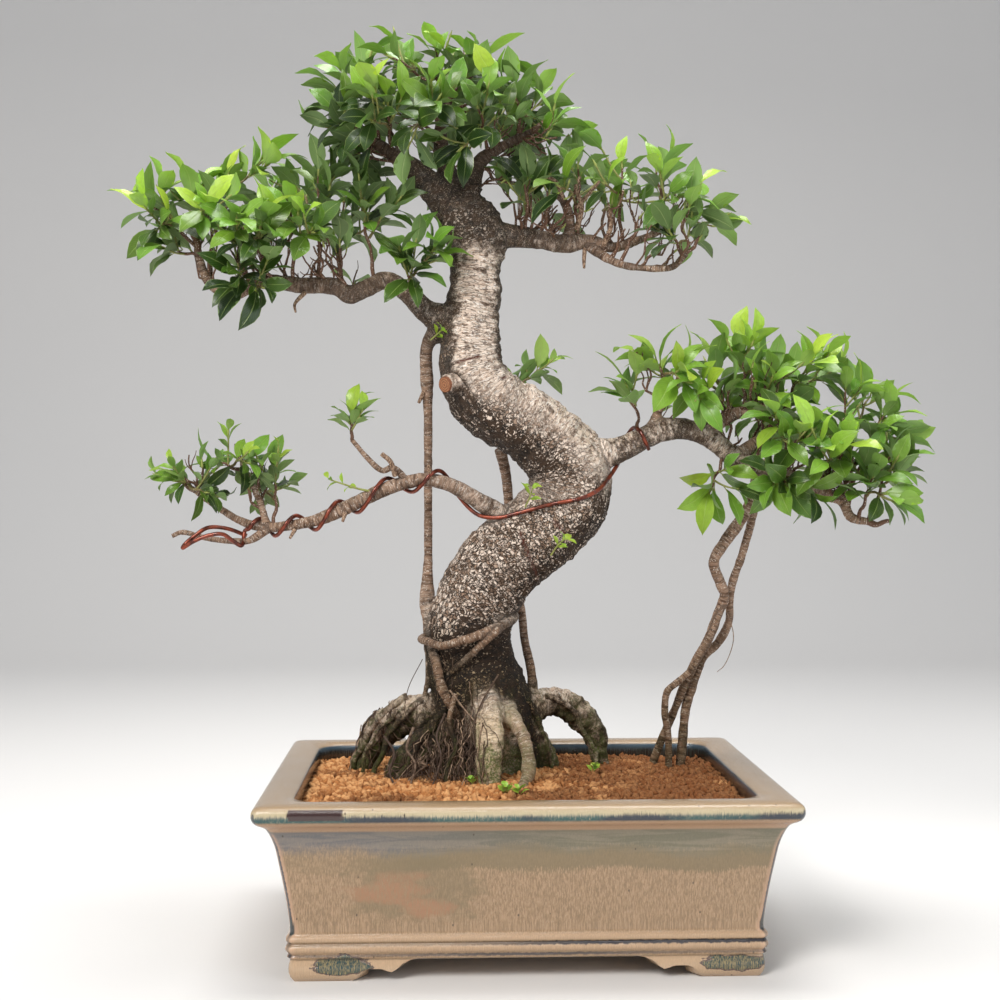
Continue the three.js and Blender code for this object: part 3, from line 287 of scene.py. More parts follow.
TRUNK_SHOOTS = [
    [[6, 10, 398, 0.9], [10, 0, 408, 0.8], [12, -4, 416, 0.6]],
    [[30, 6, 352, 0.9], [36, -4, 362, 0.8], [42, -8, 368, 0.6]],
    [[-84, 44, 560, 0.9], [-74, 36, 568, 0.7]],
    [[-135, 30, 412, 1.4], [-152, 26, 415, 1.1], [-168, 22, 420, 0.9], [-180, 20, 424, 0.7]],
]
WEED_PLACES = [[-16, -64], [-4, -68], [72, 20], [-46, -30]]


def place(points: Sequence[Sequence[float]]) -> np.ndarray:
    """Points of the pot's frame in millimetres as metres in the shared frame."""
    return np.asarray(points, float)[:, :3] * MM + np.array(POT_CENTRE)


def srgb(red: float, green: float, blue: float) -> Colour:
    """A colour as it is seen on a screen, from 0 to 255, as linear light from 0 to 1."""
    return tuple((c / 255 / 12.92) if c <= 10 else ((c / 255 + 0.055) / 1.055) ** 2.4
                 for c in (red, green, blue))


def catmull_rom(points: np.ndarray, shares: np.ndarray) -> np.ndarray:
    """Places on the centripetal Catmull-Rom curve through some points.

    Args:
        points: the points that the curve passes through.
        shares: places from 0 to 1, counted evenly from point to point.

    Returns:
        One place on the curve for each share.
    """
    pts = np.asarray(points, float)
    ends = np.vstack([2 * pts[0] - pts[1], pts, 2 * pts[-1] - pts[-2]])
    spot = np.clip(shares, 0, 1) * (len(pts) - 1)
    i = np.minimum(spot.astype(int), len(pts) - 2)
    w = (spot - i)[:, None]
    p0, p1, p2, p3 = (ends[i + k] for k in range(4))
    d0, d1, d2 = (np.sqrt(np.maximum(np.linalg.norm(b - a, axis=1), 1e-9))[:, None]
                  for a, b in ((p0, p1), (p1, p2), (p2, p3)))
    t1 = ((p1 - p0) / d0 - (p2 - p0) / (d0 + d1) + (p2 - p1) / d1) * d1
    t2 = ((p2 - p1) / d1 - (p3 - p1) / (d1 + d2) + (p3 - p2) / d2) * d1
    return p1 + t1 * w + (3 * (p2 - p1) - 2 * t1 - t2) * w ** 2 + (2 * (p1 - p2) + t1 + t2) * w ** 3


@dataclass
class Path:
    """A line through space with a radius at each of its points, in metres."""

    points: np.ndarray
    radii: np.ndarray

    @classmethod
    def through(cls, rows: Sequence[Sequence[float]], step: float = 3.0) -> "Path":
        """A smooth path through rows of [x, y, z, radius] in millimetres.

        Args:
            rows: the rows to pass through.
            step: distance between the path's points, in millimetres.

        Returns:
            The path, in metres in the shared frame.
        """
        table = np.asarray(rows, float)
        length = np.linalg.norm(np.diff(table[:, :3], axis=0), axis=1).sum()
        shares = np.linspace(0, 1, max(4, int(length / step)))
        radii = np.interp(shares * (len(table) - 1), np.arange(len(table)), table[:, 3])
        return cls(place(catmull_rom(table[:, :3], shares)), radii * MM)

    def tangents(self) -> np.ndarray:
        """Unit directions along the path."""
        along = np.gradient(self.points, axis=0)
        return along / np.maximum(np.linalg.norm(along, axis=1, keepdims=True), 1e-12)

    def sides(self) -> np.ndarray:
        """Unit directions across the path, carried along it without twisting.

        Returns:
            One unit vector for each point.
        """
        along = self.tangents()
        side = np.array([0.0, 1.0, 0.0]) if abs(along[0][0]) > 0.9 else np.array([1.0, 0.0, 0.0])
        found = []
        for t in along:
            side = side - t * side.dot(t)
            side = side / np.linalg.norm(side)
            found.append(side)
        return np.array(found)

    def lengths(self) -> np.ndarray:
        """Distance from the path's start to each of its points."""
        return np.concatenate([[0.0], np.cumsum(np.linalg.norm(np.diff(self.points, axis=0), axis=1))])


def limb_curve(name: str, shares: Iterable[float]) -> np.ndarray:
    """Places on a limb's middle line, in millimetres of the pot's frame."""
    return catmull_rom(np.array(LIMBS[name])[:, :3], np.array(list(shares), float))


def limb_radius(name: str, share: float) -> float:
    """Radius of a limb at a share of its points, in millimetres."""
    table = np.array(LIMBS[name])
    return float(np.interp(share * (len(table) - 1), np.arange(len(table)), table[:, 3]))


def new_object(name: str, mesh: bpy.types.Mesh) -> bpy.types.Object:
    """A mesh shown as an object of that name at the origin.

    Args:
        name: its name.
        mesh: what it shows.

    Returns:
        The new object.
    """
    obj = bpy.data.objects.new(name, mesh)
    bpy.context.scene.collection.objects.link(obj)
    return obj


def mesh_from(name: str, points: Any, faces: Sequence[Sequence[int]] = ()) -> bpy.types.Mesh:
    """A mesh of points and faces.

    Args:
        name: its name.
        points: places of the points.
        faces: numbers of each face's points.

    Returns:
        The new mesh.
    """
    mesh = bpy.data.meshes.new(name)
    mesh.from_pydata([tuple(p) for p in points], [], [tuple(f) for f in faces])
    mesh.update()
    return mesh


def set_attribute(mesh: bpy.types.Mesh, name: str, values: np.ndarray, domain: str = "POINT") -> None:
    """Stores numbers, vectors or whole numbers on a mesh's points, corners or faces.

    Args:
        mesh: the mesh to write to.
        name: the attribute's name.
        values: one number or one vector for each point, corner or face.
        domain: POINT, CORNER or FACE.
    """
    values = np.asarray(values)
    if values.ndim == 2:
        kind, key = "FLOAT_VECTOR", "vector"
    else:
        kind, key = ("INT", "value") if values.dtype.kind == "i" else ("FLOAT", "value")
    attribute = mesh.attributes.new(name, kind, domain)
    attribute.data.foreach_set(key, values.ravel().astype(np.int32 if kind == "INT" else np.float32))


def coordinates(mesh: bpy.types.Mesh, key: str = "co") -> np.ndarray:
    """The places of a mesh's points, or with the key `normal` the directions that they face.

    Args:
        mesh: the mesh to read.
        key: what to read of each point.

    Returns:
        One row of three numbers for each point.
    """
    flat = np.empty(len(mesh.vertices) * 3, np.float32)
    mesh.vertices.foreach_get(key, flat)
    return flat.reshape(-1, 3).astype(float)


def move_points(mesh: bpy.types.Mesh, places: np.ndarray) -> None:
    """Puts a mesh's points at new places."""
    mesh.vertices.foreach_set("co", places.ravel())
    mesh.update()


def smooth_shaded(mesh: bpy.types.Mesh) -> bpy.types.Mesh:
    """Shades a mesh smoothly."""
    mesh.polygons.foreach_set("use_smooth", [True] * len(mesh.polygons))
    return mesh


def baked(obj: bpy.types.Object, name: str) -> bpy.types.Object:
    """Replaces an object and its modifiers by the plain mesh that they give.

    Args:
        obj: the object to replace.
        name: the new object's name.

    Returns:
        The new object.
    """
    graph = bpy.context.evaluated_depsgraph_get()
    mesh = bpy.data.meshes.new_from_object(obj.evaluated_get(graph), depsgraph=graph)
    mesh.name = name
    bpy.data.objects.remove(obj)
    return new_object(name, mesh)


class Signal:
    """What a node puts out. Arithmetic on it adds the nodes that work out the sum."""

    def __init__(self, graph: "Graph", socket: Socket) -> None:
        """Keeps the socket and the graph that sums are added to."""
        self.graph, self.socket = graph, socket

    def __add__(self, other: Any) -> "Signal":
        """The sum."""
        return self.graph.math("ADD", self, other)

    def __sub__(self, other: Any) -> "Signal":
        """The difference."""
        return self.graph.math("SUBTRACT", self, other)

    def __rsub__(self, other: Any) -> "Signal":
        """The difference from a number."""
        return self.graph.math("SUBTRACT", other, self)

    def __mul__(self, other: Any) -> "Signal":
        """The product."""
        return self.graph.math("MULTIPLY", self, other)

    def __truediv__(self, other: Any) -> "Signal":
        """The quotient."""
        return self.graph.math("DIVIDE", self, other)

    def __abs__(self) -> "Signal":
        """The size without its sign."""
        return self.graph.math("ABSOLUTE", self)


@dataclass
class Outputs:
    """The outputs of a node, by name or number."""

    graph: "Graph"
    node: bpy.types.Node

    def __getitem__(self, key: Any) -> Signal:
        """One output."""
        return Signal(self.graph, self.node.outputs[key])


@dataclass
class Graph:
    """Adds nodes to a node tree and joins them."""

    tree: bpy.types.NodeTree

    def node(self, kind: str, feeds: Optional[dict[Any, Any]] = None, **settings: Any) -> Outputs:
        """Adds a node, sets its properties and feeds its inputs.

        Args:
            kind: the node's type.
            feeds: values or signals for inputs, by name or number.
            **settings: properties of the node.

        Returns:
            The new node's outputs.
        """
        node = self.tree.nodes.new(kind)
        for key, value in settings.items():
            setattr(node, key, value)
        for key, value in (feeds or {}).items():
            self.feed(node.inputs[key], value)
        return Outputs(self, node)

    def feed(self, target: Socket, value: Any) -> None:
        """Links a signal to an input, or sets the input's own value.

        Args:
            target: the input.
            value: a signal, a plain value, or None to leave it.
        """
        if isinstance(value, Signal):
            self.tree.links.new(value.socket, target)
        elif isinstance(value, tuple) and target.type == "RGBA":
            target.default_value = (*value[:3], 1.0)
        elif value is not None:
            target.default_value = value

    def math(self, operation: str, *terms: Any) -> Signal:
        """One step of arithmetic."""
        return self.node("ShaderNodeMath", dict(enumerate(terms)), operation=operation)[0]

    def vector_math(self, operation: str, a: Any, b: Any = None) -> Outputs:
        """One step of arithmetic with vectors."""
        return self.node("ShaderNodeVectorMath", {0: a, 1: b}, operation=operation)

    def parts(self, vector: Any) -> tuple[Signal, Signal, Signal]:
        """The x, y and z of a vector."""
        made = self.node("ShaderNodeSeparateXYZ", {0: vector})
        return made[0], made[1], made[2]

    def stretch(self, vector: Any, x: float, y: float, z: float) -> Signal:
        """A vector with each of its parts scaled."""
        return self.vector_math("MULTIPLY", vector, (x, y, z))[0]

    def noise(self, vector: Any, scale: float, detail: float = 2.0, rough: float = 0.5,
              twist: float = 0.0) -> Signal:
        """Smooth noise from 0 to 1 at a number of lumps for each unit of the vector."""
        feeds = {"Vector": vector, "Scale": scale, "Detail": detail, "Roughness": rough, "Distortion": twist}
        return self.node("ShaderNodeTexNoise", feeds)[0]

    def streaks(self, vector: Any, x: float, y: float, z: float, *texture: float) -> Signal:
        """Noise with x, y and z lumps for each unit; texture is its detail, roughness and distortion."""
        return self.noise(self.stretch(vector, x, y, z), 1.0, *texture)

    def swayed(self, vector: Any, scale: float, reach: float) -> Signal:
        """The vector, pushed about by coloured noise.

        Args:
            vector: the vector to move.
            scale: lumps of the noise for each unit.
            reach: how far it is pushed at most.

        Returns:
            The moved vector.
        """
        push = self.node("ShaderNodeTexNoise", {"Vector": vector, "Scale": scale, "Detail": 2.0})["Color"]
        push = self.vector_math("SUBTRACT", push, (0.5, 0.5, 0.5))[0]
        return self.vector_math("ADD", self.stretch(push, reach, reach, reach), vector)[0]

    def cells(self, vector: Any, scale: float = 1.0, feature: str = "F1") -> Outputs:
        """Voronoi cells at a number of cells for each unit of the vector."""
        return self.node("ShaderNodeTexVoronoi", {"Vector": vector, "Scale": scale}, feature=feature)

    def between(self, value: Any, low: float, high: float, start: float = 0.0, end: float = 1.0) -> Signal:
        """Runs smoothly from start to end while the value goes from low to high."""
        feeds = {0: value, 1: low, 2: high, 3: start, 4: end}
        return self.node("ShaderNodeMapRange", feeds, interpolation_type="SMOOTHSTEP")[0]

    def below(self, value: Any, low: float, high: float) -> Signal:
        """1 under the low value, 0 over the high one and smooth from one to the other."""
        return self.between(value, low, high, 1.0, 0.0)

    def blend(self, share: Any, a: Any, b: Any, mode: str = "MIX") -> Signal:
        """Mixes two colours."""
        return self.node("ShaderNodeMix", {0: share, 6: a, 7: b}, data_type="RGBA", blend_type=mode)[2]

    def mix(self, share: Any, a: Any, b: Any) -> Signal:
        """Mixes two numbers."""
        return self.node("ShaderNodeMix", {0: share, 2: a, 3: b})[0]

    def blotch(self, x: Any, z: Any, middle: Sequence[float], wobble: Any) -> Signal:
        """How far a place is from a blotch, 1 on its edge: middle gives its x, z and half widths.

        Args:
            x: place across.
            z: place upwards.
            middle: x, z, half width and half height.
            wobble: unevenness that is added.

        Returns:
            The distance, as a share of the half widths.
        """
        across, up, wide, high = middle
        offset = self.node("ShaderNodeCombineXYZ", {0: (x - across) / wide, 1: (z - up) / high})[0]
        return self.vector_math("LENGTH", offset)["Value"] + wobble

    def attribute(self, name: str, output: str = "Fac") -> Signal:
        """An attribute of the mesh that is being shaded."""
        return self.node("ShaderNodeAttribute", attribute_name=name)[output]

    def place_in_mm(self) -> Signal:
        """The shaded place in millimetres of the pot's frame.

        Returns:
            The place as a vector.
        """
        coords = self.node("ShaderNodeTexCoord")["Object"]
        return self.stretch(self.vector_math("SUBTRACT", coords, tuple(POT_CENTRE))[0], 1 / MM, 1 / MM,
                            1 / MM)

    def skin(self, colour: Any, roughness: Any, relief: Any = None, reach: float = 0.0,
             **more: Any) -> Signal:
        """A solid surface.

        Args:
            colour: its colour.
            roughness: its roughness.
            relief: a height from 0 to 1 that bumps it.
            reach: how high 1 is, in metres.
            **more: further inputs of the shader, with _ for each space.

        Returns:
            The shader.
        """
        feeds = {"Base Color": colour, "Roughness": roughness}
        if relief is not None:
            bump = self.node("ShaderNodeBump", {"Height": relief, "Distance": reach, "Strength": 1.0})
            feeds["Normal"] = bump[0]
        feeds |= {key.replace("_", " "): value for key, value in more.items()}
        return self.node("ShaderNodeBsdfPrincipled", feeds)[0]

    def effect(self, name: str, feeds: dict[str, Signal],
               fill: Callable[["Graph", Outputs], dict[str, Signal]]) -> Outputs:
        """A node group that turns its inputs into a surface's colour, relief and roughness.

        Args:
            name: the group's name; it is built only once.
            feeds: signals for its inputs.
            fill: adds the group's nodes and returns what feeds each output.

        Returns:
            The outputs of the group, placed here.
        """
        tree = bpy.data.node_groups.get(name)
        if tree is None:
            tree = bpy.data.node_groups.new(name, "ShaderNodeTree")
            for key, signal in feeds.items():
                kind = "NodeSocketVector" if signal.socket.type == "VECTOR" else "NodeSocketFloat"
                tree.interface.new_socket(key, in_out="INPUT", socket_type=kind)
            for key, kind in (("Colour", "Color"), ("Relief", "Float"), ("Roughness", "Float")):
                tree.interface.new_socket(key, in_out="OUTPUT", socket_type=f"NodeSocket{kind}")
            graph = Graph(tree)
            graph.node("NodeGroupOutput", fill(graph, graph.node("NodeGroupInput")))
        return self.node("ShaderNodeGroup", feeds, node_tree=tree)


class Finish:
    """A finish of the plant or its pot."""

    name: ClassVar[str]

    def shader(self, g: Graph) -> Signal:
        """Adds the nodes that give the surface its look, and returns the shader."""
        raise NotImplementedError

    def material(self) -> bpy.types.Material:
        """The finish as a material.

        Returns:
            The new material.
        """
        material = bpy.data.materials.new(self.name)
        material.use_nodes = True
        material.node_tree.nodes.clear()
        graph = Graph(material.node_tree)
        graph.node("ShaderNodeOutputMaterial", {"Surface": self.shader(graph)})
        return material


@dataclass(frozen=True)
class BarkFinish(Finish):
    """Old ficus bark: pale plates and cross lines over black fissures, with algae and painted shade on shaded
    sides.
    """

    name: ClassVar[str] = "bark"
    pale: Colour = srgb(228, 210, 194)
    skin: Colour = srgb(150, 124, 104)
    twig: Colour = srgb(104, 79, 61)
    dark: Colour = srgb(30, 23, 17)
    moss: Colour = srgb(112, 126, 52)
    bump: float = 0.0020

    def pattern(self, g: Graph, given: Outputs) -> dict[str, Signal]:
        """Turns a place on the bark into colour, height and roughness.

        Args:
            g: the graph that gets the nodes.
            given: the group's inputs.

        Returns:
            The signals for colour, relief and roughness.
        """
        grain, girth, height = given["Grain"], given["Girth"], given["Height"]
        shade, band = given["Shade"], given["Band"]
        warped = g.swayed(g.swayed(grain, 0.16, 5.0), 0.55, 2.6)
        fine = g.noise(warped, 0.55, 3.0, 0.6)
        broad = g.noise(grain, 0.035, 3.0, 0.6)
        middling = g.streaks(grain, 0.11, 0.11, 0.16, 3.0, 0.6)
        plates = g.stretch(warped, 0.26, 0.26, 0.43)
        edge = g.cells(plates, 1.0, "DISTANCE_TO_EDGE")["Distance"]
        tone = g.node("ShaderNodeSeparateColor", {0: g.cells(plates)["Color"]})[0]
        # level: the Shade input, which holds damp, algae and painted shade, plus noise; it darkens the bark
        # below
        level = shade + broad * 0.7 - 0.35
        level = level + middling * 0.9 - 0.45
        dark = g.blend(g.between(middling, 0.35, 0.65), self.dark, srgb(66, 49, 35))
        net = g.streaks(warped, 0.13, 0.13, 0.24, 3.0, 0.6)
        net = abs(net - 0.5) * 5.0
        edge = g.math("MINIMUM", edge, net)
        crack = level * 0.12 + fine * 0.26 - 0.115
        plate = g.between(edge, crack, crack + 0.1)
        kept = g.between(tone + 0.5 - level, 0.0, 0.3)
        flake = g.blend(g.between(tone + fine * 0.8, 0.5, 1.2), self.skin, self.pale)
        plated = g.blend(plate, dark, g.blend(kept, g.blend(tone, srgb(66, 51, 39), srgb(124, 102, 82)),
                                              flake))
        lines = g.streaks(g.swayed(grain, 0.12, 3.0), 0.06, 0.06, 0.3, 2.0, 0.55)
        dashes = g.streaks(g.swayed(grain, 0.25, 1.2), 0.075, 0.075, 0.4, 1.0, 0.5)
        broken = g.between(fine, 0.4, 0.52)
        whitish = g.below(abs(dashes - 0.52), 0.01, 0.03) * broken
        darkish = g.below(abs(dashes - 0.41), 0.006, 0.026)
        skin = g.blend(g.between(lines, 0.3, 0.72), g.blend(broad, srgb(192, 167, 147), srgb(206, 183, 164)),
                       self.pale)
        skin = g.blend(g.between(middling, 0.53, 0.64, 0.0, 0.72), skin, srgb(88, 69, 55))
        seams = g.streaks(g.swayed(grain, 0.3, 2.4), 0.11, 0.11, 0.36, 2.0, 0.5)
        seam = g.between(abs(seams - 0.5), 0.006, 0.028, 0.75, 0.0)
        skin = g.blend(seam, skin, srgb(84, 62, 48))
        skin = g.blend(whitish * 0.85, skin, srgb(246, 240, 232))
        skin = g.blend(darkish * 0.6, skin, srgb(104, 80, 64))
        # Grime and painted shade: the dark cover over the lined bark follows level
        grime_and_shade = level + fine * 0.8 - 0.4
        grime_and_shade = grime_and_shade + lines * -0.4 + 0.2
        lined = g.blend(g.between(grime_and_shade, 0.22, 0.62, 0.0, 0.94), skin, dark)
        crumbs = g.cells(g.stretch(warped, 0.62, 0.62, 0.95))
        crumb = g.node("ShaderNodeSeparateColor", {0: crumbs["Color"]})[1]
        flecks = g.between(crumb, 0.5, 0.62) * g.below(crumbs["Distance"], 0.28, 0.42)
        flecks = flecks * g.between(middling, 0.3, 0.46, 0.25, 1.0)
        lined = g.blend(flecks * g.between(grime_and_shade, 0.35, 0.6, 0.0, 0.85), lined, srgb(178, 156, 136))
        trunk = g.blend(band, plated, lined)
        rings = g.streaks(grain, 0.07, 0.07, 0.42, 2.0, 0.6)
        pores = g.cells(g.stretch(grain, 0.36, 0.36, 0.5))["Distance"]
        young = g.blend(g.between(rings, 0.36, 0.64), self.twig, srgb(152, 124, 103))
        young = g.blend(g.between(rings, 0.36, 0.42, 0.55, 0.0), young, srgb(70, 51, 40))
        young = g.blend(whitish * 0.7, young, srgb(214, 200, 186))
        young = g.blend(g.between(pores, 0.1, 0.22, 0.85, 0.0), young, srgb(230, 218, 206))
        young = g.blend(g.between(level, 0.3, 0.85, 0.0, 0.75), young, srgb(48, 35, 27))
        old = g.between(girth, 5.5, 12.0)
        colour = g.blend(old, young, trunk)
        sunlit = g.between(height, 190.0, 226.0, 0.55, 0.0) * g.below(level, -0.2, 0.3)
        sunlit = sunlit * (darkish * -0.7 + 1.0)
        colour = g.blend(sunlit * old, colour, srgb(240, 216, 176))
        low = g.below(height, 150.0, 250.0)
        mossy = g.streaks(grain, 0.05, 0.05, 0.04, 4.0, 0.7)
        mossy = g.between(mossy + g.between(height, 128.0, 190.0, 0.16, 0.0), 0.47, 0.6)
        green = g.blend(g.noise(grain, 0.6), self.moss, srgb(58, 70, 30))
        moss = mossy * low * g.between(fine, 0.4, 0.55, 0.35, 0.95)
        moss = moss * g.between(girth, 5.5, 9.0, 0.2, 1.0)
        colour = g.blend(moss, colour, green)
        # Olive tint of the low trunk, deeper where level holds damp and painted shade
        tinted = g.between(height, 230.0, 310.0, 0.85, 0.0) * g.between(level, 0.05, 0.7, 0.25, 1.0)
        colour = g.blend(tinted, colour, srgb(150, 134, 88), "MULTIPLY")
        ridged = plate * 0.55 + fine * 0.5
        combed = lines * 0.12 + darkish * -0.22 + fine * 0.22 + seam * -0.5
        relief = g.mix(band, ridged, combed)
        relief = g.mix(old, rings * 0.6, relief)
        return {"Colour": colour, "Relief": relief, "Roughness": g.between(fine, 0.3, 0.7, 0.92, 0.6)}

    def shader(self, g: Graph) -> Signal:
        """Bark for the trunk, the branches and the roots.

        Args:
            g: the graph that gets the nodes.

        Returns:
            The shader.
        """
        height = g.parts(g.place_in_mm())[2]
        feeds = {"Grain": g.attribute("grain", "Vector"), "Height": height}
        feeds |= {key: g.attribute(key.lower()) for key in ("Girth", "Shade", "Band")}
        bark = g.effect("bark_pattern", feeds, self.pattern)
        scar = g.attribute("scar")
        colour = g.blend(scar, bark["Colour"], srgb(88, 42, 28))
        relief = bark["Relief"] - scar * 0.5
        return g.skin(colour, bark["Roughness"], relief, self.bump, Specular_IOR_Level=0.35)


@dataclass(frozen=True)
class TwigFinish(Finish):
    """Young shoots: green at the tips, red-brown and dotted with pale pores further down."""

    name: ClassVar[str] = "twig"
    young: Colour = srgb(150, 158, 84)
    old: Colour = srgb(100, 69, 50)

    def shader(self, g: Graph) -> Signal:
        """Skin of the shoots, from their age and their length.

        Args:
            g: the graph that gets the nodes.

        Returns:
            The shader.
        """
        place_mm = g.place_in_mm()
        age = g.attribute("age")
        rings = g.streaks(g.node("ShaderNodeCombineXYZ", {2: g.attribute("along")})[0], 1, 1, 420.0)
        dots = g.cells(place_mm, 0.55)["Distance"]
        colour = g.blend(age, self.young, self.old)
        colour = g.blend(g.between(rings, 0.5, 0.6) * 0.35, colour, srgb(70, 47, 34))
        pores = g.between(dots, 0.14, 0.26, 0.9, 0.0) * age
        colour = g.blend(pores, colour, srgb(222, 208, 192))
        return g.skin(colour, 0.62, rings, 0.0004)


@dataclass(frozen=True)
class DeadWoodFinish(Finish):
    """Dry stubs and sawn ends: bleached and finely lined."""

    name: ClassVar[str] = "dead_wood"
    pale: Colour = srgb(178, 150, 126)
    dark: Colour = srgb(96, 70, 52)

    def shader(self, g: Graph) -> Signal:
        """Dry wood.

        Args:
            g: the graph that gets the nodes.

        Returns:
            The shader.
        """
        lines = g.streaks(g.place_in_mm(), 0.9, 0.9, 0.4, 3.0, 0.6)
        colour = g.blend(g.between(lines, 0.42, 0.6), self.dark, self.pale)
        return g.skin(colour, 0.85, lines, 0.0006)


@dataclass(frozen=True)
class SawnFinish(Finish):
    """Fresh sawn wood, orange with paler rings."""

    name: ClassVar[str] = "sawn_wood"
    heart: Colour = srgb(118, 72, 46)
    ring: Colour = srgb(168, 118, 82)
    middle: tuple[float, float, float] = (-70.0, 12.0, 514.0)

    def shader(self, g: Graph) -> Signal:
        """Sawn wood with rings round the middle of the face.

        Args:
            g: the graph that gets the nodes.

        Returns:
            The shader.
        """
        away = g.vector_math("DISTANCE", g.place_in_mm(), self.middle)["Value"]
        wear = g.noise(g.place_in_mm(), 0.8, 3.0)
        rings = g.math("PINGPONG", wear * 1.6 + away, 1.0)
        colour = g.blend(g.between(rings, 0.2, 0.8), self.heart, self.ring)
        colour = g.blend(g.between(wear, 0.52, 0.7, 0.0, 0.7), colour, srgb(140, 70, 40))
        return g.skin(colour, 0.7, rings, 0.0003)


@dataclass(frozen=True)
class RootFinish(Finish):
    """Matted hair roots, dark and wet-looking with pale threads among them."""

    name: ClassVar[str] = "hair_roots"
    dark: Colour = srgb(64, 46, 34)
    pale: Colour = srgb(176, 148, 122)

    def shader(self, g: Graph) -> Signal:
        """Skin of the fine roots, each thread with its own tone.

        Args:
            g: the graph that gets the nodes.

        Returns:
            The shader.
        """
        tone = g.attribute("tone")
        wear = g.noise(g.place_in_mm(), 0.25, 2.0)
        colour = g.blend(tone * g.between(wear, 0.3, 0.6), self.dark, self.pale)
        return g.skin(colour, g.between(wear, 0.3, 0.7, 0.9, 0.6), wear, 0.0004)


@dataclass(frozen=True)
class LeafFinish(Finish):
    """Waxy ficus leaves: dark when old and in painted shade, yellow-green when new and in painted light, with
    a pale midrib and a matte underside.
    """

    name: ClassVar[str] = "leaf"
    new: Colour = srgb(204, 234, 88)
    grown: Colour = srgb(136, 182, 62)
    old: Colour = srgb(22, 50, 16)
    rib: Colour = srgb(196, 220, 124)
    roughness: float = 0.24

    def pattern(self, g: Graph, given: Outputs) -> dict[str, Signal]:
        """Turns a place on a blade and the leaf's tone, its age and painted shade, into colour, height and
        roughness.

        Args:
            g: the graph that gets the nodes.
            given: the group's inputs.

        Returns:
            The signals for colour, relief and roughness.
        """
        along, across, under = g.parts(given["Blade"])
        tone, hue = given["Tone"], given["Hue"]
        off = abs(across)
        # Tone runs from old leaves in painted shade to new ones in painted light; the old colour also stands
        # for painted shade
        colour = g.blend(g.between(tone, 0.0, 0.5), self.old, self.grown)
        colour = g.blend(g.between(tone, 0.5, 1.0), colour, self.new)
        warmer = g.blend(hue, srgb(255, 236, 205), srgb(205, 246, 255))
        colour = g.blend(0.45, colour, warmer, "MULTIPLY")
        slant = along * 13.0 - off * 4.0
        veins = 1.0 - g.math("PINGPONG", slant, 0.5)
        vein = g.between(veins, 0.88, 1.0)
        colour = g.blend(vein * 0.14, colour, self.rib)
        middle = g.below(off, 0.01, 0.07)
        colour = g.blend(middle * 0.45, colour, self.rib)
        rim = g.between(off, 0.9, 1.0)
        colour = g.blend(rim * 0.4, colour, srgb(196, 214, 120))
        mottle = g.streaks(given["Blade"], 6.0, 3.0, 0.0, 3.0)
        colour = g.blend(g.between(mottle, 0.35, 0.7, 0.0, 0.16), colour, self.old)
        below = g.blend(tone * 0.3 + 0.45, colour, srgb(158, 188, 122))
        below = g.blend(middle * 0.5, below, srgb(188, 206, 140))
        colour = g.blend(under, colour, below)
        stalk = g.below(along, 0.0, 0.02)
        colour = g.blend(stalk, colour, srgb(160, 172, 84))
        relief = vein * -0.35 - middle
        shine = under * 0.28 + self.roughness + mottle * 0.1
        return {"Colour": colour, "Relief": relief, "Roughness": shine}

    def shader(self, g: Graph) -> Signal:
        """Leaf skin that light shines through a little.

        Args:
            g: the graph that gets the nodes.

        Returns:
            The shader.
        """
        tone = g.attribute("tone")
        feeds = {"Blade": g.attribute("blade", "Vector"), "Tone": tone, "Hue": g.attribute("hue")}
        leaf = g.effect("leaf_pattern", feeds, self.pattern)
        skin = g.skin(leaf["Colour"], leaf["Roughness"], leaf["Relief"], 0.0003, Specular_IOR_Level=0.6)
        glow = g.blend(0.5, leaf["Colour"], srgb(190, 220, 60), "SCREEN")
        through = g.node("ShaderNodeBsdfTranslucent", {"Color": glow})[0]
        share = tone * 0.24 + 0.18
        return g.node("ShaderNodeMixShader", {0: share, 1: skin, 2: through})[0]


@dataclass(frozen=True)
class GrainFinish(Finish):
    """Baked clay grains, orange-brown, some paler and some darker where they are damp."""

    name: ClassVar[str] = "clay_grains"
    dry: Colour = srgb(206, 154, 104)
    plain: Colour = srgb(166, 108, 62)
    damp: Colour = srgb(98, 54, 28)

    def shader(self, g: Graph) -> Signal:
        """Clay grains, each with its own tone.

        Args:
            g: the graph that gets the nodes.

        Returns:
            The shader.
        """
        spot = g.place_in_mm()
        tone = g.attribute("tone")
        wet = g.streaks(spot, 0.012, 0.02, 0.01, 3.0)
        dust = g.noise(spot, 0.7, 3.0, 0.6)
        colour = g.blend(g.between(tone, 0.2, 0.9), self.plain, self.dry)
        rightwards = g.between(g.parts(spot)[0], -50.0, 130.0, -0.02, 0.3)
        level = wet + rightwards + tone * -0.1
        colour = g.blend(g.between(level, 0.42, 0.6, 0.0, 0.84), colour, self.damp)
        colour = g.blend(g.between(dust, 0.4, 0.75, 0.0, 0.45) * g.between(level, 0.5, 0.8, 1.0, 0.35),
                         colour, srgb(214, 160, 104))
        return g.skin(colour, 0.93, dust, 0.0006, Specular_IOR_Level=0.2)


@dataclass(frozen=True)
class WireFinish(Finish):
    """Copper-brown anodised training wire."""

    name: ClassVar[str] = "copper_wire"
    bright: Colour = srgb(140, 66, 44)
    dull: Colour = srgb(78, 36, 26)

    def shader(self, g: Graph) -> Signal:
        """Satin coloured metal, a little worn.

        Args:
            g: the graph that gets the nodes.

        Returns:
            The shader.
        """
        wear = g.noise(g.place_in_mm(), 0.12, 3.0)
        colour = g.blend(g.between(wear, 0.35, 0.65), self.dull, self.bright)
        return g.skin(colour, g.between(wear, 0.3, 0.7, 0.26, 0.42), Metallic=0.65, Coat_Weight=0.3)


